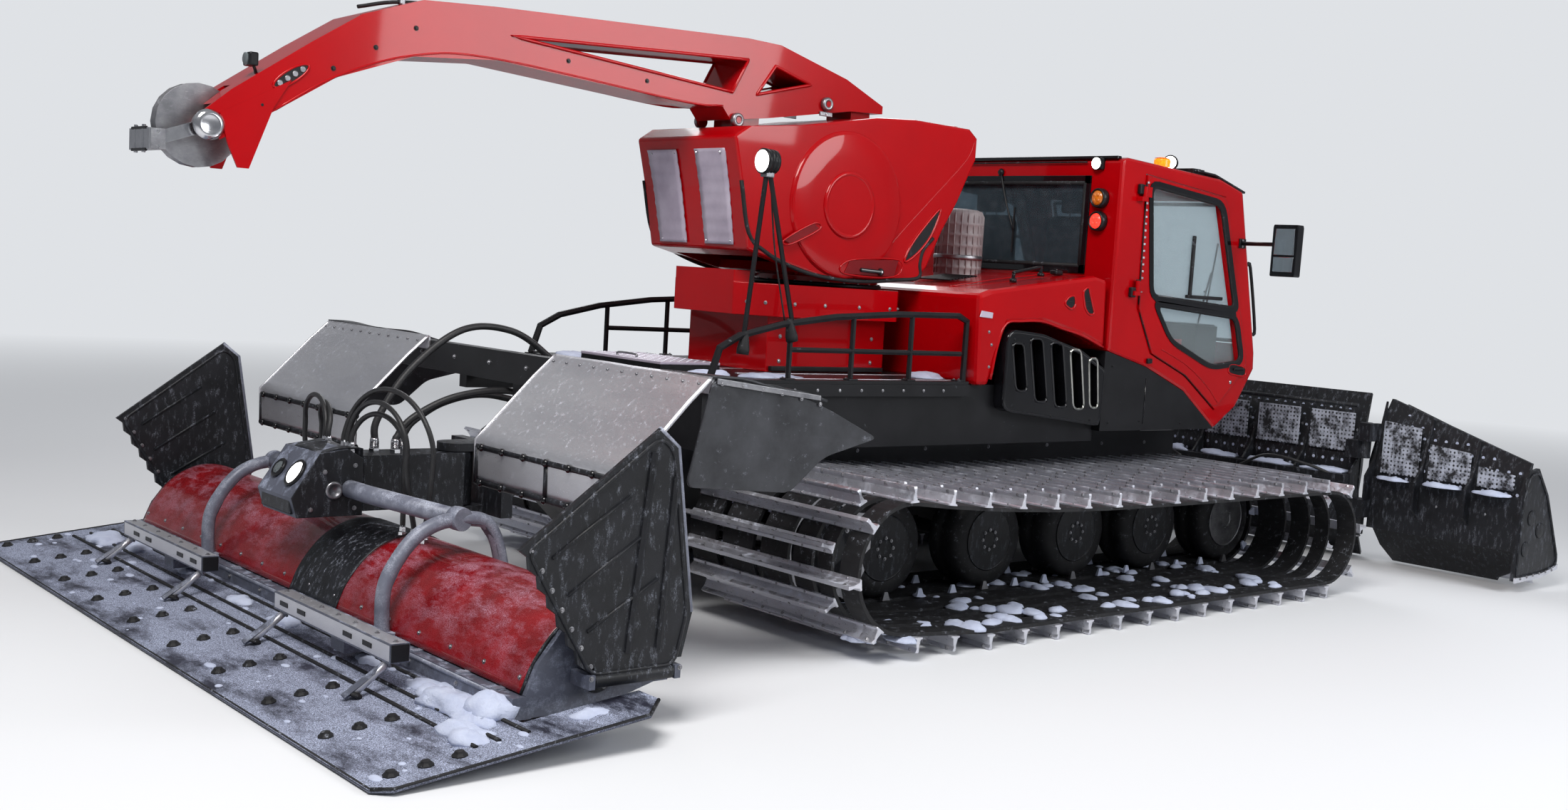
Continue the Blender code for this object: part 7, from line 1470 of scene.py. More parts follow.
kit = Kit()
for side in (1, -1):
    for points in (
        ((0.690, 1.905), (0.735, 1.955), (0.792, 1.965), (0.812, 1.905), (0.770, 1.865)),
        ((0.870, 1.995), (0.925, 2.030), (0.945, 1.985), (1.010, 1.845), (0.950, 1.840), (0.905, 1.880)),
    ):
        line = rounded_line(points, 0.03)
        # the black sheet inside each vent's red rim is painted shade inside the vent; the three black slats
        # across it are real
        kit.slab(line, side * 0.985, side * 1.0012, "black", 0.0)
        kit.rim(line, side * 1.0, 0.008, "red", 8)
        for k in range(3):
            x = sum(p[0] for p in points) / len(points)
            z = min(p[1] for p in points) + 0.03 + 0.028 * k
            kit.block(
                at(x - 0.028, side * 0.998, z), at(x + 0.028, side * 1.003, z + 0.006), "black_gloss",
                0.002,
            )
    # grab handle along the top edge, its feet, and the hood latch
    handle = [
        at(0.40, side * 0.80, 2.035), at(0.405, side * 0.80, 2.085), at(0.66, side * 0.80, 2.135),
        at(0.665, side * 0.80, 2.085),
    ]
    kit.curve(
        [
            handle[0], handle[1].lerp(handle[0], 0.2), handle[1].lerp(handle[2], 0.06),
            handle[1].lerp(handle[2], 0.94), handle[2].lerp(handle[3], 0.2), handle[3],
        ],
        0.0125, "black_gloss", 12, 5,
    )
    for p in (handle[0], handle[3]):
        kit.turned([(0.024, -0.012), (0.024, 0.004), (0.016, 0.014)], p, (0, 0, 1), "black", 18)
    kit.block(at(0.86, side * 0.70, 2.092), at(0.94, side * 0.76, 2.125), "black", 0.012, 3)
    kit.block(at(0.88, side * 0.715, 2.115), at(1.00, side * 0.745, 2.134), "black_gloss", 0.008, 3)
    # pale strip, side seam and edge roll
    kit.slab(
        [(-0.10, 1.792), (0.015, 1.785), (0.018, 1.822), (-0.085, 1.832)], side * 1.0, side * 1.008, "pale",
        0.003,
    )
    kit.bead(
        (
            (0.045, 1.40), (0.09, 1.62), (0.155, 1.757), (0.30, 1.778), (0.50, 1.782), (0.70, 1.742),
            (0.90, 1.702), (1.13, 1.628),
        ),
        side * 0.995, 0.010, "red",
    )
    kit.bead(((0.0, 1.967), (0.5, 2.045), (0.98, 2.100)), side * 0.62, 0.006, "red", 8, 6, 0.5, 0.001)
    for x, z in ((0.02, 1.48), (0.03, 1.62), (0.0, 1.70)):
        kit.bolt(at(x, side * 0.9995, z), (0, side, 0), 0.010, "steel")
for k in range(9):
    x = 0.20 + 0.03 * k
    z = 1.974 + 0.1522 * x
    for y0, y1 in ((-0.42, -0.10), (0.14, 0.42)):
        kit.block(at(x, y0, z + 0.001), at(x + 0.016, y1, z + 0.012), "black", 0.003)
kit.done("hood_fittings", "chassis", slot="black_paint")

kit = Kit()
profile = [(0.166, -0.05), (0.166, 0.0)]
for k in range(5):
    z = 0.03 + 0.075 * k
    profile += [
        (0.160, z), (0.160, z + 0.030), (0.1665, z + 0.038), (0.1665, z + 0.052), (0.160, z + 0.060),
    ]
profile += [(0.160, 0.44), (0.150, 0.462), (0.120, 0.476), (0.05, 0.482), (0.001, 0.483)]
kit.turned(profile, at(0.70, 0.02, 2.03), (0, 0, 1), "intake", 56)
for turn in turns(22):
    out = Vector((math.cos(turn), math.sin(turn), 0))
    spot = at(0.70, 0.02, 0) + out * 0.163
    kit.pipe(
        [
            spot + Vector((0, 0, 2.06)), spot + Vector((0, 0, 2.46)),
            spot - out * 0.02 + Vector((0, 0, 2.497)),
        ],
        0.0055, "intake", 6,
    )
kit.turned(
    [(0.172, 0), (0.173, 0.01), (0.173, 0.024), (0.170, 0.03)], at(0.70, 0.02, 2.16), (0, 0, 1), "steel",
    48,
)
kit.done("intake_ribs", "chassis", ("air_intake",), "grey_paint")

# Side pods: five curved slots with deep fins and bright rims
kit = Kit()
SLOTS = (
    (0.15, 0.09, 0.10, 0.34, 0.78), (0.32, 0.24, 0.11, 0.24, 0.83), (0.50, 0.42, 0.11, 0.19, 0.80),
    (0.67, 0.60, 0.10, 0.17, 0.74), (0.82, 0.78, 0.08, 0.18, 0.66),
)
for side in (1, -1):
    for n, (foot, head, width, low, high) in enumerate(SLOTS):
        corners = spread(
            ((foot, low), (foot + width, low), (head + width, high), (head, high)), POD_PLACE, POD_SPAN,
        )
        line = rounded_line(corners, 0.045, 5)
        kit.rim(line, side * 1.0175, 0.0095, "chrome_dark" if n in (3, 4) else "black_gloss", 10)
        # leaning fin inside the slot
        a0, a1, b1, b0 = [Vector(p) for p in corners]
        rings = []
        for k in range(9):
            t = k / 8
            front, back = a0.lerp(b0, t), a1.lerp(b1, t)
            bow = 0.018 * math.sin(math.pi * t)
            rings.append(
                [
                    at(front.x + 0.012, side * (0.985 + bow * 0.6), front.y),
                    at(front.x + 0.020, side * (0.985 + bow * 0.6), front.y),
                    at(back.x - 0.006, side * 0.945, back.y), at(back.x - 0.016, side * 0.945, back.y),
                ]
            )
        kit.loft(rings, "black_gloss", smooth=True)
    rim = spread(
        (
            (0.0491, 0.2429), (0.0625, 0.1786), (0.1071, 0.15), (0.8839, 0.0114), (0.9152, 0.0143),
            (0.9259, 0.0571), (0.9464, 0.5), (0.942, 0.55), (0.9196, 0.5714), (0.7143, 0.7286),
            (0.3571, 0.8714), (0.1071, 0.9), (0.067, 0.8714), (0.0491, 0.8143),
        ),
        POD_PLACE, POD_SPAN,
    )
    kit.rim(rounded_line(inset(rim, 0.012), 0.05, 3), side * 1.006, 0.016, "black_gloss", 10)
    for x, z in ((0.24, 1.235), (0.62, 1.165), (1.02, 1.135), (0.22, 1.66), (0.75, 1.60)):
        kit.bolt(at(x, side * 1.0195, z), (0, side, 0), 0.009, "black")
kit.done("pod_fins", "chassis", slot="black_paint")


# Deck: chequered hatch, walkway, rail clamps, mast lamp

kit = Kit()
for side in (1, -1):
    for x in (-2.09, -1.57, -1.09, -0.62, -0.19):
        kit.block(at(x - 0.035, side * 0.915, 1.380), at(x + 0.035, side * 0.972, 1.392), "black", 0.003)
        for dx in (-0.022, 0.022):
            kit.bolt(at(x + dx, side * 0.927, 1.392), (0, 0, 1), 0.009, "steel")
    for x in [-2.05 + 0.17 * k for k in range(11)]:
        kit.bolt(at(x, side * 0.9805, 1.325), (0, side, 0), 0.010, "steel")
# the raised bars of the chequered hatch, as sections across a bar
CHEQUER_END = ((0, -0.001, -0.001), (0, 0.001, -0.001), (0, 0.001, 0.0005), (0, -0.001, 0.0005))
CHEQUER_CREST = ((0, -0.0035, -0.001), (0, 0.0035, -0.001), (0, 0.002, 0.0035), (0, -0.002, 0.0035))
for i in range(14):
    for j in range(26):
        x = -2.06 + 0.0290 * i
        y = -0.40 + 0.0325 * j
        lean = 0.7 if (i + j) % 2 else -0.7
        p = at(x, y, 1.4325)
        d = Vector((math.cos(lean), math.sin(lean), 0)) * 0.011
        kit.loft([
            [centre + Vector(corner) for corner in section]
            for centre, section in ((p - d, CHEQUER_END), (p, CHEQUER_CREST), (p + d, CHEQUER_END))
        ], "alloy", smooth=False)
kit.block(at(-2.082, -0.423, 1.418), at(-1.658, 0.423, 1.4338), "pale", 0.003)
for y in (-0.28, 0.28):
    kit.rod(at(-1.67, y - 0.05, 1.425), at(-1.67, y + 0.05, 1.425), 0.012, "steel")
kit.curve(
    [at(-2.03, -0.10, 1.43), at(-2.03, -0.09, 1.452), at(-2.03, 0.09, 1.452), at(-2.03, 0.10, 1.43)], 0.007,
    "steel", 8, 4,
)
for k in range(6):
    y = -0.90 + 0.36 * k
    kit.block(at(-1.62, y, 1.3815), at(-0.16, y + 0.022, 1.386), "alloy", 0.002)
for p, s, h, seed in (
    ((-1.95, -0.72, 1.382), (0.13, 0.10), 0.030, 3), ((-1.58, -0.80, 1.382), (0.20, 0.07), 0.025, 5),
    ((-2.0, 0.62, 1.382), (0.12, 0.16), 0.035, 8), ((-0.25, -0.70, 1.382), (0.10, 0.14), 0.030, 11),
    ((-0.30, 0.66, 1.382), (0.12, 0.16), 0.030, 13),
):
    kit.heap(at(*p), s, h, seed)
# lamp: finned black body, bright lens, and rubber boots at the legs' feet
lamp = at(-1.80, -0.945, 2.586)
kit.turned(
    [
        (0.045, -0.050), (0.066, -0.040), (0.068, -0.020), (0.064, -0.018), (0.064, -0.010),
        (0.0685, -0.008), (0.0685, 0.004), (0.064, 0.006), (0.064, 0.014), (0.070, 0.016), (0.071, 0.040),
        (0.064, 0.044),
    ],
    lamp, (-1, 0, 0), "black", 36,
)
kit.turned(
    [(0.063, 0.036), (0.060, 0.046), (0.040, 0.056), (0.001, 0.058)], lamp, (-1, 0, 0), "white_lamp", 36,
)
for x, z in ((-1.90, 1.55), (-1.56, 1.63)):
    foot = at(x, -0.945, z)
    kit.turned(
        [(0.034, -0.03), (0.036, 0.0), (0.030, 0.03), (0.020, 0.085), (0.016, 0.10)], foot, lamp - foot,
        "rubber", 20,
    )
kit.curve(
    [
        lamp + Vector((0.03, 0.02, -0.02)), lamp + Vector((0.05, 0.02, -0.16)), at(-1.70, -0.925, 2.1),
        at(-1.60, -0.93, 1.70),
    ],
    0.005, "rubber", 6, 6,
)
kit.block(at(-1.83, -0.972, 2.50), at(-1.77, -0.918, 2.535), "steel", 0.005)
kit.done("deck_fittings", "chassis", slot="black_paint")


# Rear guards: folded frosted sheet, tube frame with round heads, creased rubber flaps

GUARD_LINE = spread(((0.0, 0.0), (0.28, 0.17), (1.0, 0.66), (0.99, 0.97)), GUARD_PLACE, GUARD_SPAN)
FLAP_SIDE = (
    (0.0, 0.014), (0.3527, 0.074), (0.6652, 0.334), (0.933, 0.604), (0.6205, 0.774), (0.442, 1.114),
    (-0.1116, 1.014),
)

# the rubber's roof over the track, and its thickness
ROOF_LENGTH, ROOF_FALL, RUBBER_THICK = 0.694, 0.11, 0.012


def guard_piece():
    """The left guard: folded sheet, tubes, rivets and its rubber flap."""
    kit = Kit()
    line = [Vector(p) for p in GUARD_LINE]
    fine = []
    for n in range(len(line) - 1):
        for k in range(8):
            fine.append(line[n].lerp(line[n + 1], k / 8))
    fine.append(line[-1])

    def sheet(u, v):
        p = fine[min(len(fine) - 1, int(round(v * (len(fine) - 1))))]
        y = 0.70 + 1.38 * u
        dent = 0.003 * lumps.noise(Vector((y * 3.0, p.x * 4, p.y * 4)))
        return at(p.x + dent, y, p.y + dent)

    kit.skin(sheet, 46, len(fine) - 1, 0.012, "sheet")
    kit.block(at(-2.945, 0.70, 1.405), at(-2.931, 2.08, 1.484), "sheet", 0.003)
    for y in (0.712, 2.068):
        kit.pipe([at(p.x - 0.002, y, p.y - 0.004) for p in fine], 0.007, "sheet", 8)
    ends = spread(((0.97, 0.72), (0.97, 0.99)), GUARD_PLACE, GUARD_SPAN)
    for x, z in ends:
        kit.bar(at(x, 0.705, z), at(x, 2.075, z), 0.0185, "black_frost", 14)
        for y in [0.78 + 0.205 * k for k in range(7)]:
            kit.turned(
                [(0.020, 0), (0.020, 0.006), (0.012, 0.014), (0.001, 0.016)], at(x - 0.017, y, z),
                (-1, 0, 0), "black_gloss", 16,
            )
    for y in (0.72, 1.39, 2.06):
        low, high = [at(x - 0.004, y, z) for x, z in ends]
        kit.bar(low, high, 0.0165, "black_frost", 12)
    # rivets along the top fold
    for y in [0.76 + 0.127 * k for k in range(11)]:
        for x, z, way in ((-2.985, 1.452, (-0.5, 0, 1)), (-2.945, 1.445, (-1, 0, 0))):
            kit.turned([(0.009, 0), (0.008, 0.004), (0.001, 0.006)], at(x, y, z), way, "steel", 10, True)
    # rubber flap on the outside, creased where it folds over the track
    outline = spread(FLAP_SIDE, GUARD_PLACE, MUDFLAP_SPAN)
    middle = sum((Vector(p) for p in outline), Vector((0, 0))) / len(outline)
    rim = rounded_line(outline, 0.05, 5)
    rings = []
    for share in (1.0, 0.985, 0.85, 0.6, 0.35, 0.1):
        ring = []
        for p in rim:
            q = middle + (Vector(p) - middle) * share
            wave = 0.010 * lumps.noise(Vector((q.x * 5.0, q.y * 5.0, 1.7)))
            wave += 0.006 * math.sin(13 * (q.x + 0.8 * q.y))
            wave *= 1.0 if share < 0.95 else 0.4
            ring.append(at(q.x, 2.086 + wave, q.y))
        rings.append(ring)
    back = [[p - Vector((0, RUBBER_THICK, 0)) for p in ring] for ring in rings]
    kit.loft(back[::-1] + rings, "mudflap")

    def roof(u, v):
        fold = 0.008 * math.sin(9 * v + 3 * u) * math.sin(math.pi * v)
        x = GUARD_PLACE[0] + ROOF_LENGTH * v
        return at(x, 2.092 - 0.43 * u, 1.492 - ROOF_FALL * v ** 1.6 + fold - 0.004 * u)

    kit.skin(roof, 14, 26, RUBBER_THICK, "mudflap")
    for k in range(6):
        x = -2.90 + 0.12 * k
        z = 1.470 - ROOF_FALL * ((x - GUARD_PLACE[0]) / ROOF_LENGTH) ** 1.6
        kit.bolt(at(x, 2.094, z - 0.012), (0, 1, 0), 0.011, "steel")
    kit.slab([(-2.93, 1.482), (-2.30, 1.402), (-2.30, 1.378), (-2.93, 1.455)], 2.093, 2.099, "steel", 0.002)
    return kit


left_guard = guard_piece()
right_guard = Kit()
right_guard.flip(left_guard)
left_guard.done("guard_left_dressed", "chassis", ("rear_guard_left",), "bare_sheet")
right_guard.done("guard_right_dressed", "chassis", ("rear_guard_right",), "bare_sheet")

# hydraulic rams, valve block and pipework between chassis and tiller
kit = Kit()
kit.block(at(-2.19, -0.30, 0.985), at(-2.146, 0.30, 1.255), "black", 0.012, 3)
for y in (-0.24, -0.14, 0.0, 0.14, 0.24):
    for z in (1.05, 1.20):
        kit.turned(
            [(0.020, 0), (0.020, 0.010), (0.014, 0.014), (0.014, 0.022)], at(-2.188, y + 0.03, z - 0.01),
            (-1, 0, 0), "chrome", 6, False,
        )
for side in (1, -1):
    kit.curve(
        [
            at(-2.17, side * 0.22, 1.02), at(-2.26, side * 0.24, 1.01), at(-2.40, side * 0.22, 1.16),
            at(-2.62, side * 0.24, 1.27), at(-2.84, side * 0.30, 1.36),
        ],
        0.013, "hose", 10, 6,
    )
    for x in (-2.80, -2.50, -2.25):
        kit.bolt(at(x, side * 0.341, 1.315), (0, side, 0), 0.012, "steel")
    for x in (-2.60, -2.45):
        kit.bolt(at(x, side * 0.345, 0.92), (0, side, 0), 0.014, "steel")
    cap = [(0.052, 0), (0.054, 0.006), (0.040, 0.012), (0.001, 0.012)]
    for x, y, z in ((-2.53, 0.337, 0.92), (2.80, 0.502, 0.56)):
        kit.turned(cap, at(x, side * y, z), (0, side, 0), "steel", 28)
for y in [-1.6 + 0.4 * k for k in range(9)]:
    kit.bolt(at(-2.933, y, 1.385), (-1, 0, 0), 0.014, "steel")
kit.done("rear_hydraulics", "chassis", slot="black_paint")


# Tiller: lamp box, frosted arches, pressure boxes, hood band, rotors' mounts, flap and its snow

kit = Kit()
box_line = spread(
    ((0.0, 0.0), (0.0, 0.85), (0.22, 1.0), (0.62, 0.94), (1.0, 0.30), (0.92, 0.0)), (-3.745, 0.60),
    (-0.375, 0.345),
)
for side in (1, -1):
    kit.slab(box_line, side * 0.2095, side * 0.2165, "black_frost", 0.003)
    for x, z in ((-3.79, 0.64), (-3.79, 0.86), (-4.02, 0.64), (-3.95, 0.83)):
        kit.bolt(at(x, side * 0.2165, z), (0, side, 0), 0.012, "steel")
    kit.turned(
        [(0.045, 0), (0.047, 0.006), (0.040, 0.010), (0.030, 0.010), (0.028, 0.004), (0.001, 0.004)],
        at(-3.90, side * 0.2165, 0.735), (0, side, 0), "steel", 32,
    )
# two lamps square to the box's sloping back
LAMP_FACE_LOW, LAMP_FACE_HIGH = Vector((-4.12, 0.7035)), Vector((-3.9775, 0.9243))
slope = (LAMP_FACE_HIGH - LAMP_FACE_LOW).normalized()
way = Vector((-slope.y, 0, slope.x))
for y, key, r in ((-0.100, "white_lamp", 0.062), (0.105, "glass", 0.040)):
    spot = at(-4.05, y, 0.812)
    kit.turned(
        [(r + 0.014, -0.01), (r + 0.015, 0.012), (r + 0.004, 0.018), (r, 0.010)], spot, way, "black", 32,
    )
    kit.turned(
        [(r + 0.002, 0.006), (r - 0.008, 0.016), (r * 0.5, 0.022), (0.001, 0.023)], spot, way, key, 32,
    )
kit.slab(
    [(-0.200, 0.945), (0.200, 0.945), (0.200, 0.60), (-0.200, 0.60)], -3.7455, -3.742, "black_frost", 0.001,
    "x",
)


def box_lid(u, v):
    z = 0.948 - 0.018 * v ** 2 + 0.006 * math.sin(8 * u + 4 * v)
    return at(-3.77 - 0.20 * v, -0.205 + 0.41 * u, z)


kit.skin(box_lid, 16, 10, 0.006, "black_frost")
kit.block(at(-4.115, -0.18, 0.615), at(-4.06, 0.18, 0.690), "black_frost", 0.008)
kit.heap(at(-4.06, 0.02, 0.690), (0.05, 0.15), 0.035, 21)
kit.done("lamp_box_cover", "tiller", slot="grey_paint")

# short hoses over the hood: each starts and ends at these places across, and leans back by its shift
JUMPERS = (
    (-0.16, -0.50, 0.02), (-0.12, -0.62, -0.03), (-0.07, -0.74, 0.05), (0.12, 0.46, 0.0),
    (0.16, 0.58, -0.04),
)
UNION = ((0.020, -0.006), (0.021, 0.0), (0.021, 0.020), (0.017, 0.024), (0.016, 0.045), (0.0135, 0.055))
kit = Kit()
for y0, y1, shift in JUMPERS:
    middle, reach = (y0 + y1) / 2, (y1 - y0) / 2
    line = [at(-3.79, y0, 0.92), at(-3.79, y0, 0.96)]
    for k in range(9):
        turn = math.pi * k / 8
        x, z = -3.79 + (0.11 + shift) * k / 8, 1.0 + 0.8 * abs(reach) * math.sin(turn)
        line.append(at(x, middle - reach * math.cos(turn), z))
    line += [
        at(-3.68 + shift, y1, 0.90), at(-3.67 + shift / 2, y1, 0.72), at(-3.66, y1, 0.60),
        at(-3.66, y1, 0.535),
    ]
    kit.curve(line, 0.0135, "hose", 10, 3)
    for spot in (line[0], line[-1]):
        kit.turned(UNION, spot, (0, 0, 1), "chrome", 6, False)
kit.done("jumper_hoses", "tiller", slot="rubber")

ARCH = (
    (-0.06, 0.0), (-0.06, 0.45), (0.04, 0.70), (0.18, 0.88), (0.34, 0.97), (0.52, 1.0), (0.70, 0.97),
    (0.80, 0.82), (0.86, 0.58), (0.94, 0.16),
)
arch_line = spread(ARCH, (-4.00, 0.135), (0.66, 0.58))


def sweep_z(x):
    """The finisher flap's upper face at this place along."""
    return FLAP_LOW + FLAP_RISE * (x - FLAP_BACK) / FLAP_LENGTH


kit = Kit()
for side in (1, -1):
    kit.bead(arch_line, side * ARCH_Y, 0.0352, "grey_frost", 18, 5)
    crown = at(-3.67, side * ARCH_Y, 0.715)
    kit.pipe(
        [at(-3.815, side * 0.18, 0.74), at(-3.815, side * 0.42, 0.74), crown], 0.0462, "grey_frost", 18,
    )
    kit.turned(
        [(0.056, -0.035), (0.058, -0.02), (0.058, 0.02), (0.056, 0.035)], crown,
        crown - at(-3.815, side * 0.42, 0.74), "grey_frost", 24,
    )
    for x, z in ((-4.04, 0.20), (-3.42, 0.24)):
        kit.block(
            at(x - 0.045, side * 1.04, z - 0.012), at(x + 0.045, side * 1.16, z + 0.004), "grey_frost",
            0.004,
        )
        for dy in (-0.045, 0.045):
            kit.bolt(at(x - 0.02, side * ARCH_Y + dy, z + 0.004), (0, 0, 1), 0.012, "steel")
    # pressure boxes in bare sheet, with end caps, slots and legs; the slots are thin black blocks on the
    # sheet, painted shade for their openings
    kit.block(at(-4.3005, side * 0.4795, 0.2145), at(-4.2095, side * 1.7205, 0.3005), "sheet", 0.010, 3)
    for y in (0.60, 0.80, 1.30, 1.50):
        kit.block(
            at(-4.3035, side * (y - 0.045), 0.245), at(-4.300, side * (y + 0.045), 0.268), "black", 0.004,
        )
    for y in (0.52, 0.70, 0.92, 1.10, 1.28, 1.50, 1.68):
        kit.bolt(at(-4.255, side * y, 0.3005), (0, 0, 1), 0.012, "steel")
    for y in (0.474, 1.720):
        kit.block(at(-4.296, side * y, 0.220), at(-4.214, side * (y + 0.006), 0.295), "black", 0.004)
    for y in (0.55, 1.65):
        head, toe = at(-4.255, side * y, 0.222), at(-4.425, side * y, sweep_z(-4.43) + 0.022)
        kit.bar(head, toe, 0.0175, "sheet", 14)
        kit.turned(
            [(0.030, -0.004), (0.034, 0.004), (0.030, 0.012), (0.018, 0.020)],
            toe + Vector((0.004, 0, -0.010)), (0.4, 0, 0.9), "rubber", 20,
        )
        kit.turned(
            [(0.024, 0), (0.026, 0.004), (0.024, 0.010)], head.lerp(toe, 0.12), toe - head, "steel", 18,
        )
    for y in (0.30, 0.72, 1.42, 1.86, 2.16):
        kit.block(
            at(-4.052, side * (y - 0.020), 0.090), at(-3.998, side * (y + 0.020), 0.186), "grey_frost",
            0.004,
        )
        kit.bolt(at(-4.060, side * y, 0.135), (-1, 0, 0), 0.013, "steel")
    kit.turned(
        [(0.075, 0), (0.078, 0.008), (0.066, 0.014), (0.045, 0.016), (0.040, 0.026), (0.001, 0.028)],
        at(ROTOR_X, side * 2.3353, ROTOR_Z), (0, side, 0), "black_frost", 36,
    )
    kit.bolt_ring(ROTOR_X, side * 2.349, ROTOR_Z, 0.058, 6, (0, side, 0), 0.011, "steel")
    for x in (-3.79, -3.345):
        kit.bolt(at(x + 0.01, side * 2.48, 0.262), (0, side, 0), 0.012, "steel")
kit.bar(at(-4.055, -2.25, 0.165), at(-4.055, 2.25, 0.165), 0.012, "grey_frost")
kit.done("tiller_tubes", "tiller", slot="grey_paint")

HOOD_SHELL = (
    (0.0, 0.0), (0.08, 0.36), (0.24, 0.74), (0.44, 0.96), (0.62, 1.0), (0.80, 0.90), (0.95, 0.58),
    (1.0, 0.25),
)
shell_line = smooth_line(
    [Vector((x, 0, z)) for x, z in spread(HOOD_SHELL, (-4.00, 0.185), (0.66, 0.345))], 4,
)


def over_hood(kit, y0, y1, lift, key, rows):
    """A sheet lying on the tiller hood, from y0 to y1."""
    last = len(shell_line) - 1

    def place(u, v):
        n = min(last, int(round(v * last)))
        along = (shell_line[min(last, n + 1)] - shell_line[max(0, n - 1)]).normalized()
        p = shell_line[n] + Vector((-along.z, 0, along.x)) * lift
        return at(p.x, y0 + (y1 - y0) * u, p.z)

    kit.skin(place, rows, last, lift + 0.0005, key)


kit = Kit()
over_hood(kit, -2.302, 2.302, 0.004, "red_frost", 150)
over_hood(kit, -0.52, 0.04, 0.0066, "black_frost", 20)
for y in (-0.53, 0.05):
    kit.pipe([at(p.x, y, p.z + 0.004) for p in shell_line], 0.009, "black", 8, flat=0.7)
for side in (1, -1):
    kit.pipe([at(p.x, side * 2.300, p.z) for p in shell_line], 0.009, "black_frost", 10)
    for y in (0.06, 0.55, 1.06, 1.14, 1.65, 2.20):
        kit.pipe(
            [at(p.x, side * y, p.z + 0.004) for p in shell_line[2:-1]], 0.0065, "red_frost", 8, flat=0.8,
        )
    for y in [0.16 + 0.30 * k for k in range(8)]:
        kit.bolt(at(-3.985, side * y, 0.245), (-1, 0, 0.3), 0.012, "steel")
        kit.bolt(at(-3.355, side * y, 0.330), (1, 0, 0.4), 0.012, "steel")
kit.done("tiller_hood_skin", "tiller", slot="red_paint")

# heaps on the flap: across, along, their two reaches, height
FLAP_HEAPS = (
    (-2.10, -4.14, (0.12, 0.22), 0.07), (-1.80, -4.12, (0.09, 0.18), 0.05),
    (-2.38, -4.28, (0.10, 0.14), 0.05), (-0.25, -4.15, (0.06, 0.18), 0.04),
    (1.95, -4.13, (0.10, 0.22), 0.05), (0.30, -4.16, (0.06, 0.14), 0.035),
    (2.30, -4.22, (0.12, 0.18), 0.05), (-2.52, -3.80, (0.10, 0.08), 0.035),
    (2.55, -3.85, (0.12, 0.07), 0.03), (-2.24, -4.10, (0.10, 0.12), 0.10),
    (-1.98, -4.16, (0.08, 0.14), 0.08), (-1.2, -4.14, (0.05, 0.12), 0.03),
    (1.15, -4.14, (0.05, 0.14), 0.03),
)
heaps = random.Random(11)
kit = Kit()
for y, x, s, h in FLAP_HEAPS:
    kit.heap(at(x, y, sweep_z(x) - 0.012), s, h, heaps.random() * 50, steps=26)
for k in range(60):
    x, y = heaps.uniform(-4.78, -4.10), heaps.uniform(-2.66, 2.66)
    size = heaps.uniform(0.008, 0.024)
    kit.heap(
        at(x, y, sweep_z(x) - 0.002), (size, size * heaps.uniform(0.8, 2.0)), size * 0.5, k * 1.7, steps=8,
    )
# nubs' dark rubber caps, pressed stripes and the black rim
for x in (-4.70, -4.56, -4.42):
    for n in range(10):
        y = -2.58 + n * 5.16 / 9
        kit.turned(
            [(0.033, -0.004), (0.033, 0.004), (0.022, 0.014), (0.018, 0.021), (0.001, 0.0215)],
            at(x, y, sweep_z(x)), (-0.11, 0, 1), "rubber", 8, False,
        )
for x0 in (-4.335, -4.235, -4.105):
    kit.pipe(
        [at(x0, y, sweep_z(x0) + 0.003) for y in (-2.55, -1.3, 0.0, 1.3, 2.55)], 0.0105, "rubber", 8,
        flat=0.8,
    )
rim = [(-4.812, -2.65), (-4.75, -2.712), (-3.64, -2.712), (-3.508, -2.58)]
for side in (1, -1):
    kit.pipe([at(x, side * y, sweep_z(x) - 0.002) for x, y in rim], 0.0085, "rubber", 8)
kit.bar(at(-4.812, -2.65, 0.0125), at(-4.812, 2.65, 0.0125), 0.0085, "rubber", 8)
kit.done("flap_ribs_and_snow", "tiller", slot="rubber")

# side wings: pressed ribs, bolted rubber edge and snow lines
for name, side in SIDES:
    kit = Kit()
    wing = spread(
        ((0.0, 0.5425), (0.3953, 0.0), (0.9302, 0.0), (1.0, 0.2406), (0.8721, 0.9198), (0.7558, 0.9953)),
        (-4.13, 0.245), (0.86, 1.06),
    )
    for face in (1, -1):
        y = side * SIDE_WING_Y + face * 0.011
        inner = rounded_line(inset(wing, 0.03), 0.05, 4)
        kit.rim(inner, y, 0.009, "black_frost", 8)
        for a, b in (
            ((-3.98, 0.78), (-3.62, 1.02)), ((-3.90, 0.62), (-3.53, 0.86)), ((-3.80, 0.46), (-3.46, 0.66)),
        ):
            kit.bar(at(a[0], y, a[1]), at(b[0], y, b[1]), 0.010, "black_frost", flat=0.8)
        for t in [k / 6 for k in range(7)]:
            p = Vector(wing[0]).lerp(Vector(wing[1]), 0.06 + 0.88 * t)
            kit.bolt(at(p.x + 0.035, y, p.y + 0.03), (0, face, 0), 0.012, "steel")
    edge = [Vector(wing[3]), Vector(wing[4]), Vector(wing[5])]
    kit.pipe([at(p.x - 0.004, side * SIDE_WING_Y, p.y - 0.004) for p in edge], 0.0130, "grey_frost", 10)
    kit.done("wing_ribs_" + name, "side_wing_" + name, slot="rubber")

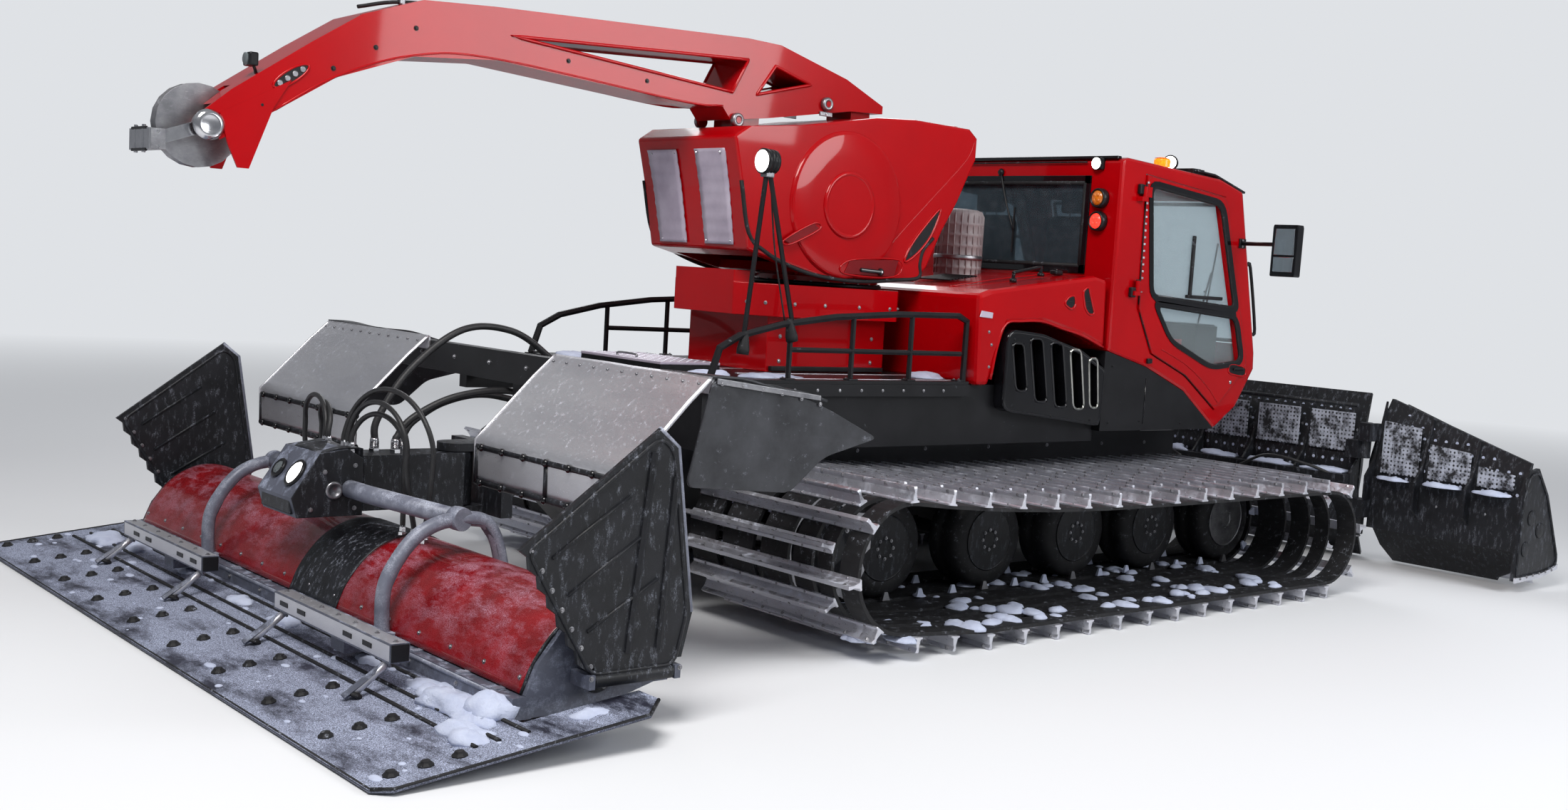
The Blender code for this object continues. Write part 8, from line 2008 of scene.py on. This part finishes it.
# rotor collars and bolted tine feet
ROTOR_START, ROTOR_END, COLLARS = 0.10, 2.26, 15
for name, side in SIDES:
    kit = Kit()
    step = (ROTOR_END - ROTOR_START) / COLLARS
    for n in range(COLLARS):
        y = side * (ROTOR_START + (n + 0.5) * step)
        kit.turned(
            [(0.086, -0.030), (0.094, -0.024), (0.094, 0.024), (0.086, 0.030)], at(ROTOR_X, y, ROTOR_Z),
            (0, 1, 0), "rust", 24,
        )
        for half in (0, math.pi):
            angle = n * 2.4 + half
            radial = Vector((math.cos(angle), 0, math.sin(angle)))
            spot = at(ROTOR_X, y, ROTOR_Z) + radial * 0.092
            kit.turned([(0.040, 0), (0.040, 0.008), (0.030, 0.014)], spot, radial, "rust", 8, False)
            tip = at(ROTOR_X, y, ROTOR_Z) + radial * 0.180
            kit.turned([(0.0245, 0), (0.0205, 0.012), (0.0165, 0.0355)], tip, radial, "chrome", 4, False)
    kit.done("rotor_collars_" + name, "rotor_" + name, slot="steel")


# Front blade: perforated panels, ribs, cutting edge, bolts and snow

FACE = ((1.0, 0.0), (0.62, 0.10), (0.30, 0.24), (0.14, 0.42), (0.14, 0.60), (0.30, 0.78), (0.62, 1.0))
face_line = spread(FACE, BLADE_PLACE, BLADE_SPAN)
smooth_face = smooth_line([Vector((x, 0, z)) for x, z in face_line], 5)


def blade_piece(low, high, side, wing=False):
    """Bolts, snowed holes and the worn edge over one stretch of the mouldboard."""
    kit = Kit()
    y0, y1 = side * low, side * high
    edge = smooth_face[:4]

    def worn(u, v):
        p = edge[int(round(v * 3))]
        return at(p.x + 0.004, y0 + (y1 - y0) * u, p.z + 0.001)

    def top_share(y):
        """The blade's height there, as a share: a wing falls off outwards."""
        return 1.0 - WING_DROP * (y - WING_START) / WING_LENGTH if wing else 1.0

    kit.skin(worn, 12, 3, 0.012, "alloy")
    count = max(2, int((high - low) / 0.085))
    for k in range(count):
        y = low + (high - low) * k / count
        for share, z in ((0.66, 0.14), (0.47, 0.20)):
            spot = at(BLADE_PLACE[0] + BLADE_SPAN[0] * share + 0.006, side * (y + 0.04), z)
            kit.bolt(spot, (1, 0, 0.6), 0.010, "steel")
        for n in range(9):
            share = 0.40 + 0.062 * n
            if share > top_share(y) - 0.06:
                continue
            z = BLADE_PLACE[1] + BLADE_SPAN[1] * share
            for a, b in zip(face_line, face_line[1:]):
                if a[1] <= z <= b[1]:
                    x = a[0] + (b[0] - a[0]) * (z - a[1]) / (b[1] - a[1])
            across = side * (y + (0.022 if n % 2 else 0.062))
            for dx, off in ((1, 0.0005), (-1, -0.0315)):
                kit.turned(
                    [(0.013, 0), (0.013, 0.001), (0.001, 0.0012)], at(x + off, across, z), (dx, 0, 0),
                    "snow", 8, False,
                )
    top = BLADE_PLACE[1] + BLADE_SPAN[1] - 0.004
    near = at(4.271, y0, top - (BLADE_SPAN[1] * (1.0 - top_share(low))))
    far = at(4.1392, y1, top - BLADE_SPAN[1] * WING_DROP) if wing else at(4.271, y1, top)
    kit.bar(near, far, 0.012, "black")
    return kit


kit = blade_piece(-1.13, 1.13, 1)
for n in range(6):
    y = -1.25 + 0.5 * n
    for z in (0.55, 0.80, 1.05):
        kit.bolt(at(3.99 if z < 0.9 else 4.05, y + 0.0125, z), (0, 1, 0), 0.012, "steel")
    if n < 5:
        kit.slab(
            [(y + 0.05, 0.87), (y + 0.45, 0.87), (y + 0.45, 1.18), (y + 0.05, 1.18)], 4.062, 4.070,
            "snow_thin", 0.004, "x",
        )
        kit.heap(at(3.985, y + 0.25, 0.700), (0.08, 0.20), 0.045, n * 3.1)
for y in [-1.1 + 0.2 * k for k in range(12)]:
    for z in (0.40, 0.62):
        kit.bolt(at(3.885, y, z), (-1, 0, 0), 0.012, "steel")
for side in (1, -1):
    kit.curve(
        [
            at(3.86, side * 0.30, 0.66), at(3.80, side * 0.60, 0.78), at(3.86, side * 0.95, 0.74),
            at(3.93, side * 1.20, 0.66),
        ],
        0.012, "hose", 10, 6,
    )
kit.pipe([at(4.056, -1.22, 1.245), at(4.050, 0, 1.245), at(4.056, 1.22, 1.245)], 0.016, "black_frost", 12)
kit.done("blade_centre_details", "blade", slot="black_paint")

for name, side in SIDES:
    kit = blade_piece(1.53, 2.60, side, True)
    for y in (1.58, 1.99, 2.38):
        for z in (0.55, 0.74, 0.90):
            kit.bolt(at(4.0, side * y, z), (0, side, 0), 0.012, "steel")
    for y0, y1, z1 in ((1.46, 1.78, 1.12), (1.86, 2.20, 0.98), (2.26, 2.55, 0.86)):
        kit.slab(
            [(side * y0, 0.74), (side * y1, 0.74), (side * y1, z1), (side * y0, z1 + 0.03)], 4.062, 4.070,
            "snow_thin", 0.004, "x",
        )
        kit.heap(at(3.99, side * (y0 + y1) / 2, 0.700), (0.07, 0.14), 0.035, y0 * 9)
    end = spread(
        (
            (-0.06, 0.04), (0.60, 0.05), (1.0, 0.08), (1.0, 0.16), (0.60, 0.52), (0.30, 0.68), (0.06, 0.66),
            (-0.06, 0.50),
        ),
        BLADE_PLACE, (0.64, BLADE_SPAN[1]),
    )
    kit.rim(rounded_line(inset(end, 0.025), 0.05), side * 2.643, 0.010, "black_frost", 8)
    kit.slab(
        [(4.02, 0.075), (4.44, 0.088), (4.698, 0.136), (4.698, 0.175), (4.44, 0.125), (4.02, 0.115)],
        side * 2.638, side * 2.652, "alloy", 0.003,
    )
    for k in range(6):
        kit.bolt(at(4.10 + 0.10 * k, side * 2.652, 0.105 + 0.006 * k), (0, side, 0), 0.011, "steel")
    for x, z in ((4.10, 0.80), (4.20, 0.55), (4.35, 0.45), (4.15, 0.32)):
        kit.turned(
            [(0.055, 0), (0.058, 0.004), (0.050, 0.007), (0.001, 0.004)], at(x, side * 2.640, z),
            (0, side, 0), "black_frost", 28,
        )
    kit.rod(at(4.02, side * 1.33, 0.215), at(4.02, side * 1.33, 0.232), 0.036, "steel")
    kit.done("blade_wing_details_" + name, "blade_wing_" + name, slot="black_paint")

# push frame: lift ram, yoke plates and grease nipples
kit = Kit()
for side in (1, -1):
    kit.slab(
        [(3.40, 0.46), (3.56, 0.52), (3.56, 0.62), (3.40, 0.60)], side * 0.4605, side * 0.470,
        "black_frost", 0.003,
    )
    for x in (3.10, 3.25):
        kit.bolt(at(x, side * 0.4605, 0.55), (0, side, 0), 0.014, "steel")
    kit.curve(
        [
            at(3.10, side * 0.375, 0.60), at(3.16, side * 0.33, 0.68), at(3.28, side * 0.32, 0.69),
            at(3.44, side * 0.33, 0.655),
        ],
        0.013, "hose", 10, 6,
    )
kit.turned(
    [(0.075, 0), (0.078, 0.006), (0.060, 0.012), (0.001, 0.012)], at(3.68, 0, 0.66), (0, 0, 1), "steel", 32,
)
kit.done("push_frame_details", "push_frame", slot="black_paint")


# Seats: padded cushions, backs and headrests with piping, over the same frames; console, wheel and screen

def cushion(name, low, high):
    """A crowned cushion with drawn-in corners and two stitched channels."""
    shape = bmesh.new()
    bmesh.ops.create_cube(shape, size=1.0)
    middle, half = (low + high) / 2, (high - low) / 2
    for v in shape.verts:
        v.co = middle + Vector([v.co[n] * (high - low)[n] for n in range(3)])
    bmesh.ops.subdivide_edges(shape, edges=shape.edges[:], cuts=9, use_grid_fill=True)
    thin = min(range(3), key=lambda n: half[n])
    flat = [n for n in range(3) if n != thin]
    for v in shape.verts:
        d = [(v.co[n] - middle[n]) / half[n] for n in range(3)]
        edge = 1 - max(abs(d[flat[0]]) ** 6, abs(d[flat[1]]) ** 6)
        corner = max(0.0, abs(d[flat[0]]) - 0.8) * max(0.0, abs(d[flat[1]]) - 0.8)
        v.co[thin] = middle[thin] + d[thin] * half[thin] * (0.72 + 0.28 * edge ** 0.5 - corner * 4)
        for n in flat:
            v.co[n] = middle[n] + d[n] * half[n] * (1 - 0.05 * abs(d[thin]) ** 3 - corner * 1.2)
        # stitched channels
        across = d[flat[0]] if half[flat[0]] > half[flat[1]] else d[flat[1]]
        v.co[thin] -= d[thin] * half[thin] * 0.10 * max(0.0, 1 - abs(abs(across) - 0.38) / 0.09)
    data = bpy.data.meshes.new(name)
    shape.to_mesh(data)
    shape.free()
    shade_smooth(data)
    item = bpy.data.objects.new(name, data)
    bpy.context.scene.collection.objects.link(item)
    data.materials.append(LOOK["seat"])
    finer = item.modifiers.new("finer", "SUBSURF")
    finer.levels = finer.render_levels = 1
    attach(item, "chassis")


BASE_Z = CAB_PLACE[1] + 0.3477 * CAB_SPAN[1]
CUSHION_Z = BASE_Z + 0.16
BACK_Z = CUSHION_Z + 0.66
kit = Kit()
for side, label in ((1, "left"), (-1, "right")):
    y = side * 0.42
    cushion(
        "seat_cushion_" + label, at(1.425, y - 0.25, CUSHION_Z - 0.02),
        at(1.92, y + 0.25, CUSHION_Z + 0.06),
    )
    cushion("seat_back_" + label, at(1.36, y - 0.25, CUSHION_Z + 0.04), at(1.48, y + 0.25, BACK_Z))
    cushion("seat_head_" + label, at(1.38, y - 0.13, BACK_Z + 0.02), at(1.46, y + 0.13, BACK_Z + 0.18))
    kit.block(at(1.43, y - 0.115, BASE_Z + 0.05), at(1.79, y + 0.115, CUSHION_Z - 0.05), "black", 0.012)
    kit.block(
        at(1.425, y - 0.235, CUSHION_Z - 0.048), at(1.915, y + 0.235, CUSHION_Z - 0.022), "black", 0.010,
    )
    for dy in (-0.06, 0.06):
        kit.rod(at(1.42, y + dy, BACK_Z - 0.03), at(1.42, y + dy, BACK_Z + 0.04), 0.006, "chrome", 10)
        kit.rod(
            at(1.45, y + dy * 1.6, BASE_Z + 0.02), at(1.88, y + dy * 1.6, BASE_Z + 0.02), 0.010, "steel",
            10,
        )
    kit.block(
        at(1.36, y - 0.20, CUSHION_Z + 0.10), at(1.366, y + 0.20, BACK_Z - 0.08), "black_gloss", 0.003,
    )
kit.block(at(1.425, -0.665, BASE_Z + 0.004), at(1.915, 0.665, BASE_Z + 0.045), "black", 0.010)
kit.done("seat_frames", "chassis", ("seats",), "rubber")

kit = Kit()
DASH_TOP = CAB_PLACE[1] + 0.4016 * CAB_SPAN[1]
kit.block(at(2.425, -0.79, DASH_TOP - 0.02), at(2.675, 0.79, DASH_TOP + 0.012), "black", 0.014, 3)
# the screen and its glass
for half, low, high, near, far, key, soft in (
    (0.17, 0.03, 0.22, 2.50, 2.525, "black_gloss", 0.006),
    (0.155, 0.045, 0.205, 2.497, 2.5005, "mirror", 0.0),
):
    low, high = DASH_TOP + low, DASH_TOP + high
    kit.slab([(-half, low), (half, low), (half, high), (-half, high)], near, far, key, soft, "x")
kit.rod(at(2.515, 0, DASH_TOP), at(2.515, 0, DASH_TOP + 0.05), 0.016, "black")
for side in (1, -1):
    kit.curve(
        [
            at(1.99, side * 0.035, DASH_TOP), at(1.98, side * 0.04, DASH_TOP + 0.09),
            at(1.975, side * 0.045, DASH_TOP + 0.15),
        ],
        0.010, "black", 10, 4,
    )
    kit.turned(
        [(0.012, 0), (0.022, 0.012), (0.026, 0.045), (0.020, 0.075), (0.001, 0.085)],
        at(1.975, side * 0.045, DASH_TOP + 0.13), (0, 0, 1), "black_gloss", 20,
    )
for j in range(3):
    for k in range(4):
        spot = at(1.945 + 0.035 * k, -0.055 + 0.04 * j, DASH_TOP - 0.002)
        kit.block(spot, spot + Vector((0.025, 0.025, 0.010)), "black_gloss", 0.003)
kit.done("console_controls", "chassis", slot="black_paint")

# underside and nose of the chassis: bolts, seams and skid plate
kit = Kit()
for side in (1, -1):
    for x in (-2.2, -1.8, -1.2, -0.6, 0.0, 0.6, 1.2, 1.8, 2.3):
        kit.bolt(at(x, side * 0.5005, 0.90), (0, side, 0), 0.013, "steel")
        kit.bolt(at(x, side * 0.40, 0.3795), (0, 0, -1), 0.013, "steel")
    kit.bar(at(1.62, side * 1.0008, 1.10), at(1.62, side * 1.0008, 1.42), 0.004, "black_gloss", 6)
    for x, z in ((1.24, 1.11), (1.24, 1.50), (1.58, 1.12), (2.05, 1.10)):
        kit.bolt(at(x, side * 1.0, z), (0, side, 0), 0.010, "black")
kit.block(at(-1.9, -0.36, 0.374), at(2.2, 0.36, 0.3795), "steel", 0.002)
kit.done("chassis_bolts", "chassis", slot="black_paint")


# Floor, backdrop and light

# the floor and the rising wall far behind it: radius, height
BACKDROP_RINGS = ((0.01, 0), (14, 0), (55, 0), (75, 1.0), (88, 6), (95, 20), (97, 45))
BACKDROP_STEPS = 96


def backdrop():
    """A pale floor, whose far field shows pale to the camera and through glass."""
    data = bpy.data.meshes.new("backdrop")
    shape = bmesh.new()
    rings = []
    for radius, z in BACKDROP_RINGS:
        rings.append(
            [
                shape.verts.new((radius * math.cos(t), radius * math.sin(t), z - 0.003))
                for t in turns(BACKDROP_STEPS)
            ]
        )
    for a, b in zip(rings, rings[1:]):
        for k in range(BACKDROP_STEPS):
            j = (k + 1) % BACKDROP_STEPS
            shape.faces.new((a[k], a[j], b[j], b[k]))
    shape.to_mesh(data)
    shape.free()
    shade_smooth(data)
    item = bpy.data.objects.new("backdrop", data)
    bpy.context.scene.collection.objects.link(item)
    made, tree, shader = graph("pale_floor")
    shader.inputs["Base Color"].default_value = (0.80, 0.81, 0.83, 1)
    shader.inputs["Roughness"].default_value = 0.9
    shader.inputs["Specular IOR Level"].default_value = 0.0
    place = node(tree, "ShaderNodeTexCoord")
    reach = node(tree, "ShaderNodeVectorMath", operation="LENGTH")
    tree.links.new(place.outputs["Object"], reach.inputs[0])
    rays = node(tree, "ShaderNodeLightPath")
    seen = times(tree, rays.outputs["Is Camera Ray"], rays.outputs["Is Transmission Ray"], "MAXIMUM")
    far = times(tree, ranged(tree, reach.outputs["Value"], 8.0, 24.0), seen)
    pale = node(tree, "ShaderNodeEmission", in_Color=(0.74, 0.76, 0.79, 1), in_Strength=1.0)
    both = node(tree, "ShaderNodeMixShader")
    out = next(n for n in tree.nodes if n.type == "OUTPUT_MATERIAL")
    tree.links.new(far, both.inputs[0])
    tree.links.new(shader.outputs[0], both.inputs[1])
    tree.links.new(pale.outputs[0], both.inputs[2])
    tree.links.new(both.outputs[0], out.inputs[0])
    data.materials.append(made)


def area_light(name, place, aim, size, power, colour):
    data = bpy.data.lights.new(name, "AREA")
    data.shape = "RECTANGLE"
    data.size, data.size_y = size
    data.energy = power
    data.color = colour
    item = bpy.data.objects.new(name, data)
    bpy.context.scene.collection.objects.link(item)
    item.location = place
    item.rotation_euler = (Vector(aim) - Vector(place)).to_track_quat("-Z", "Y").to_euler()


backdrop()
area_light("key_light", (-7.5, -5.0, 9.5), (0, 0, 1.0), (5, 4), 1020, (1.0, 0.98, 0.96))
area_light("side_light", (3.5, -9.5, 5.5), (0.5, 0, 1.2), (5, 4), 470, (0.96, 0.98, 1.0))
area_light("back_light", (5.0, 8.0, 8.0), (0, 0, 1.2), (7, 4), 340, (0.97, 0.98, 1.0))
world = bpy.data.worlds.new("studio")
bpy.context.scene.world = world
world.use_nodes = True
sky = world.node_tree.nodes["Background"]
sky.inputs["Color"].default_value = (0.86, 0.88, 0.92, 1)
sky.inputs["Strength"].default_value = 0.36
bpy.context.scene.view_settings.view_transform = "Standard"
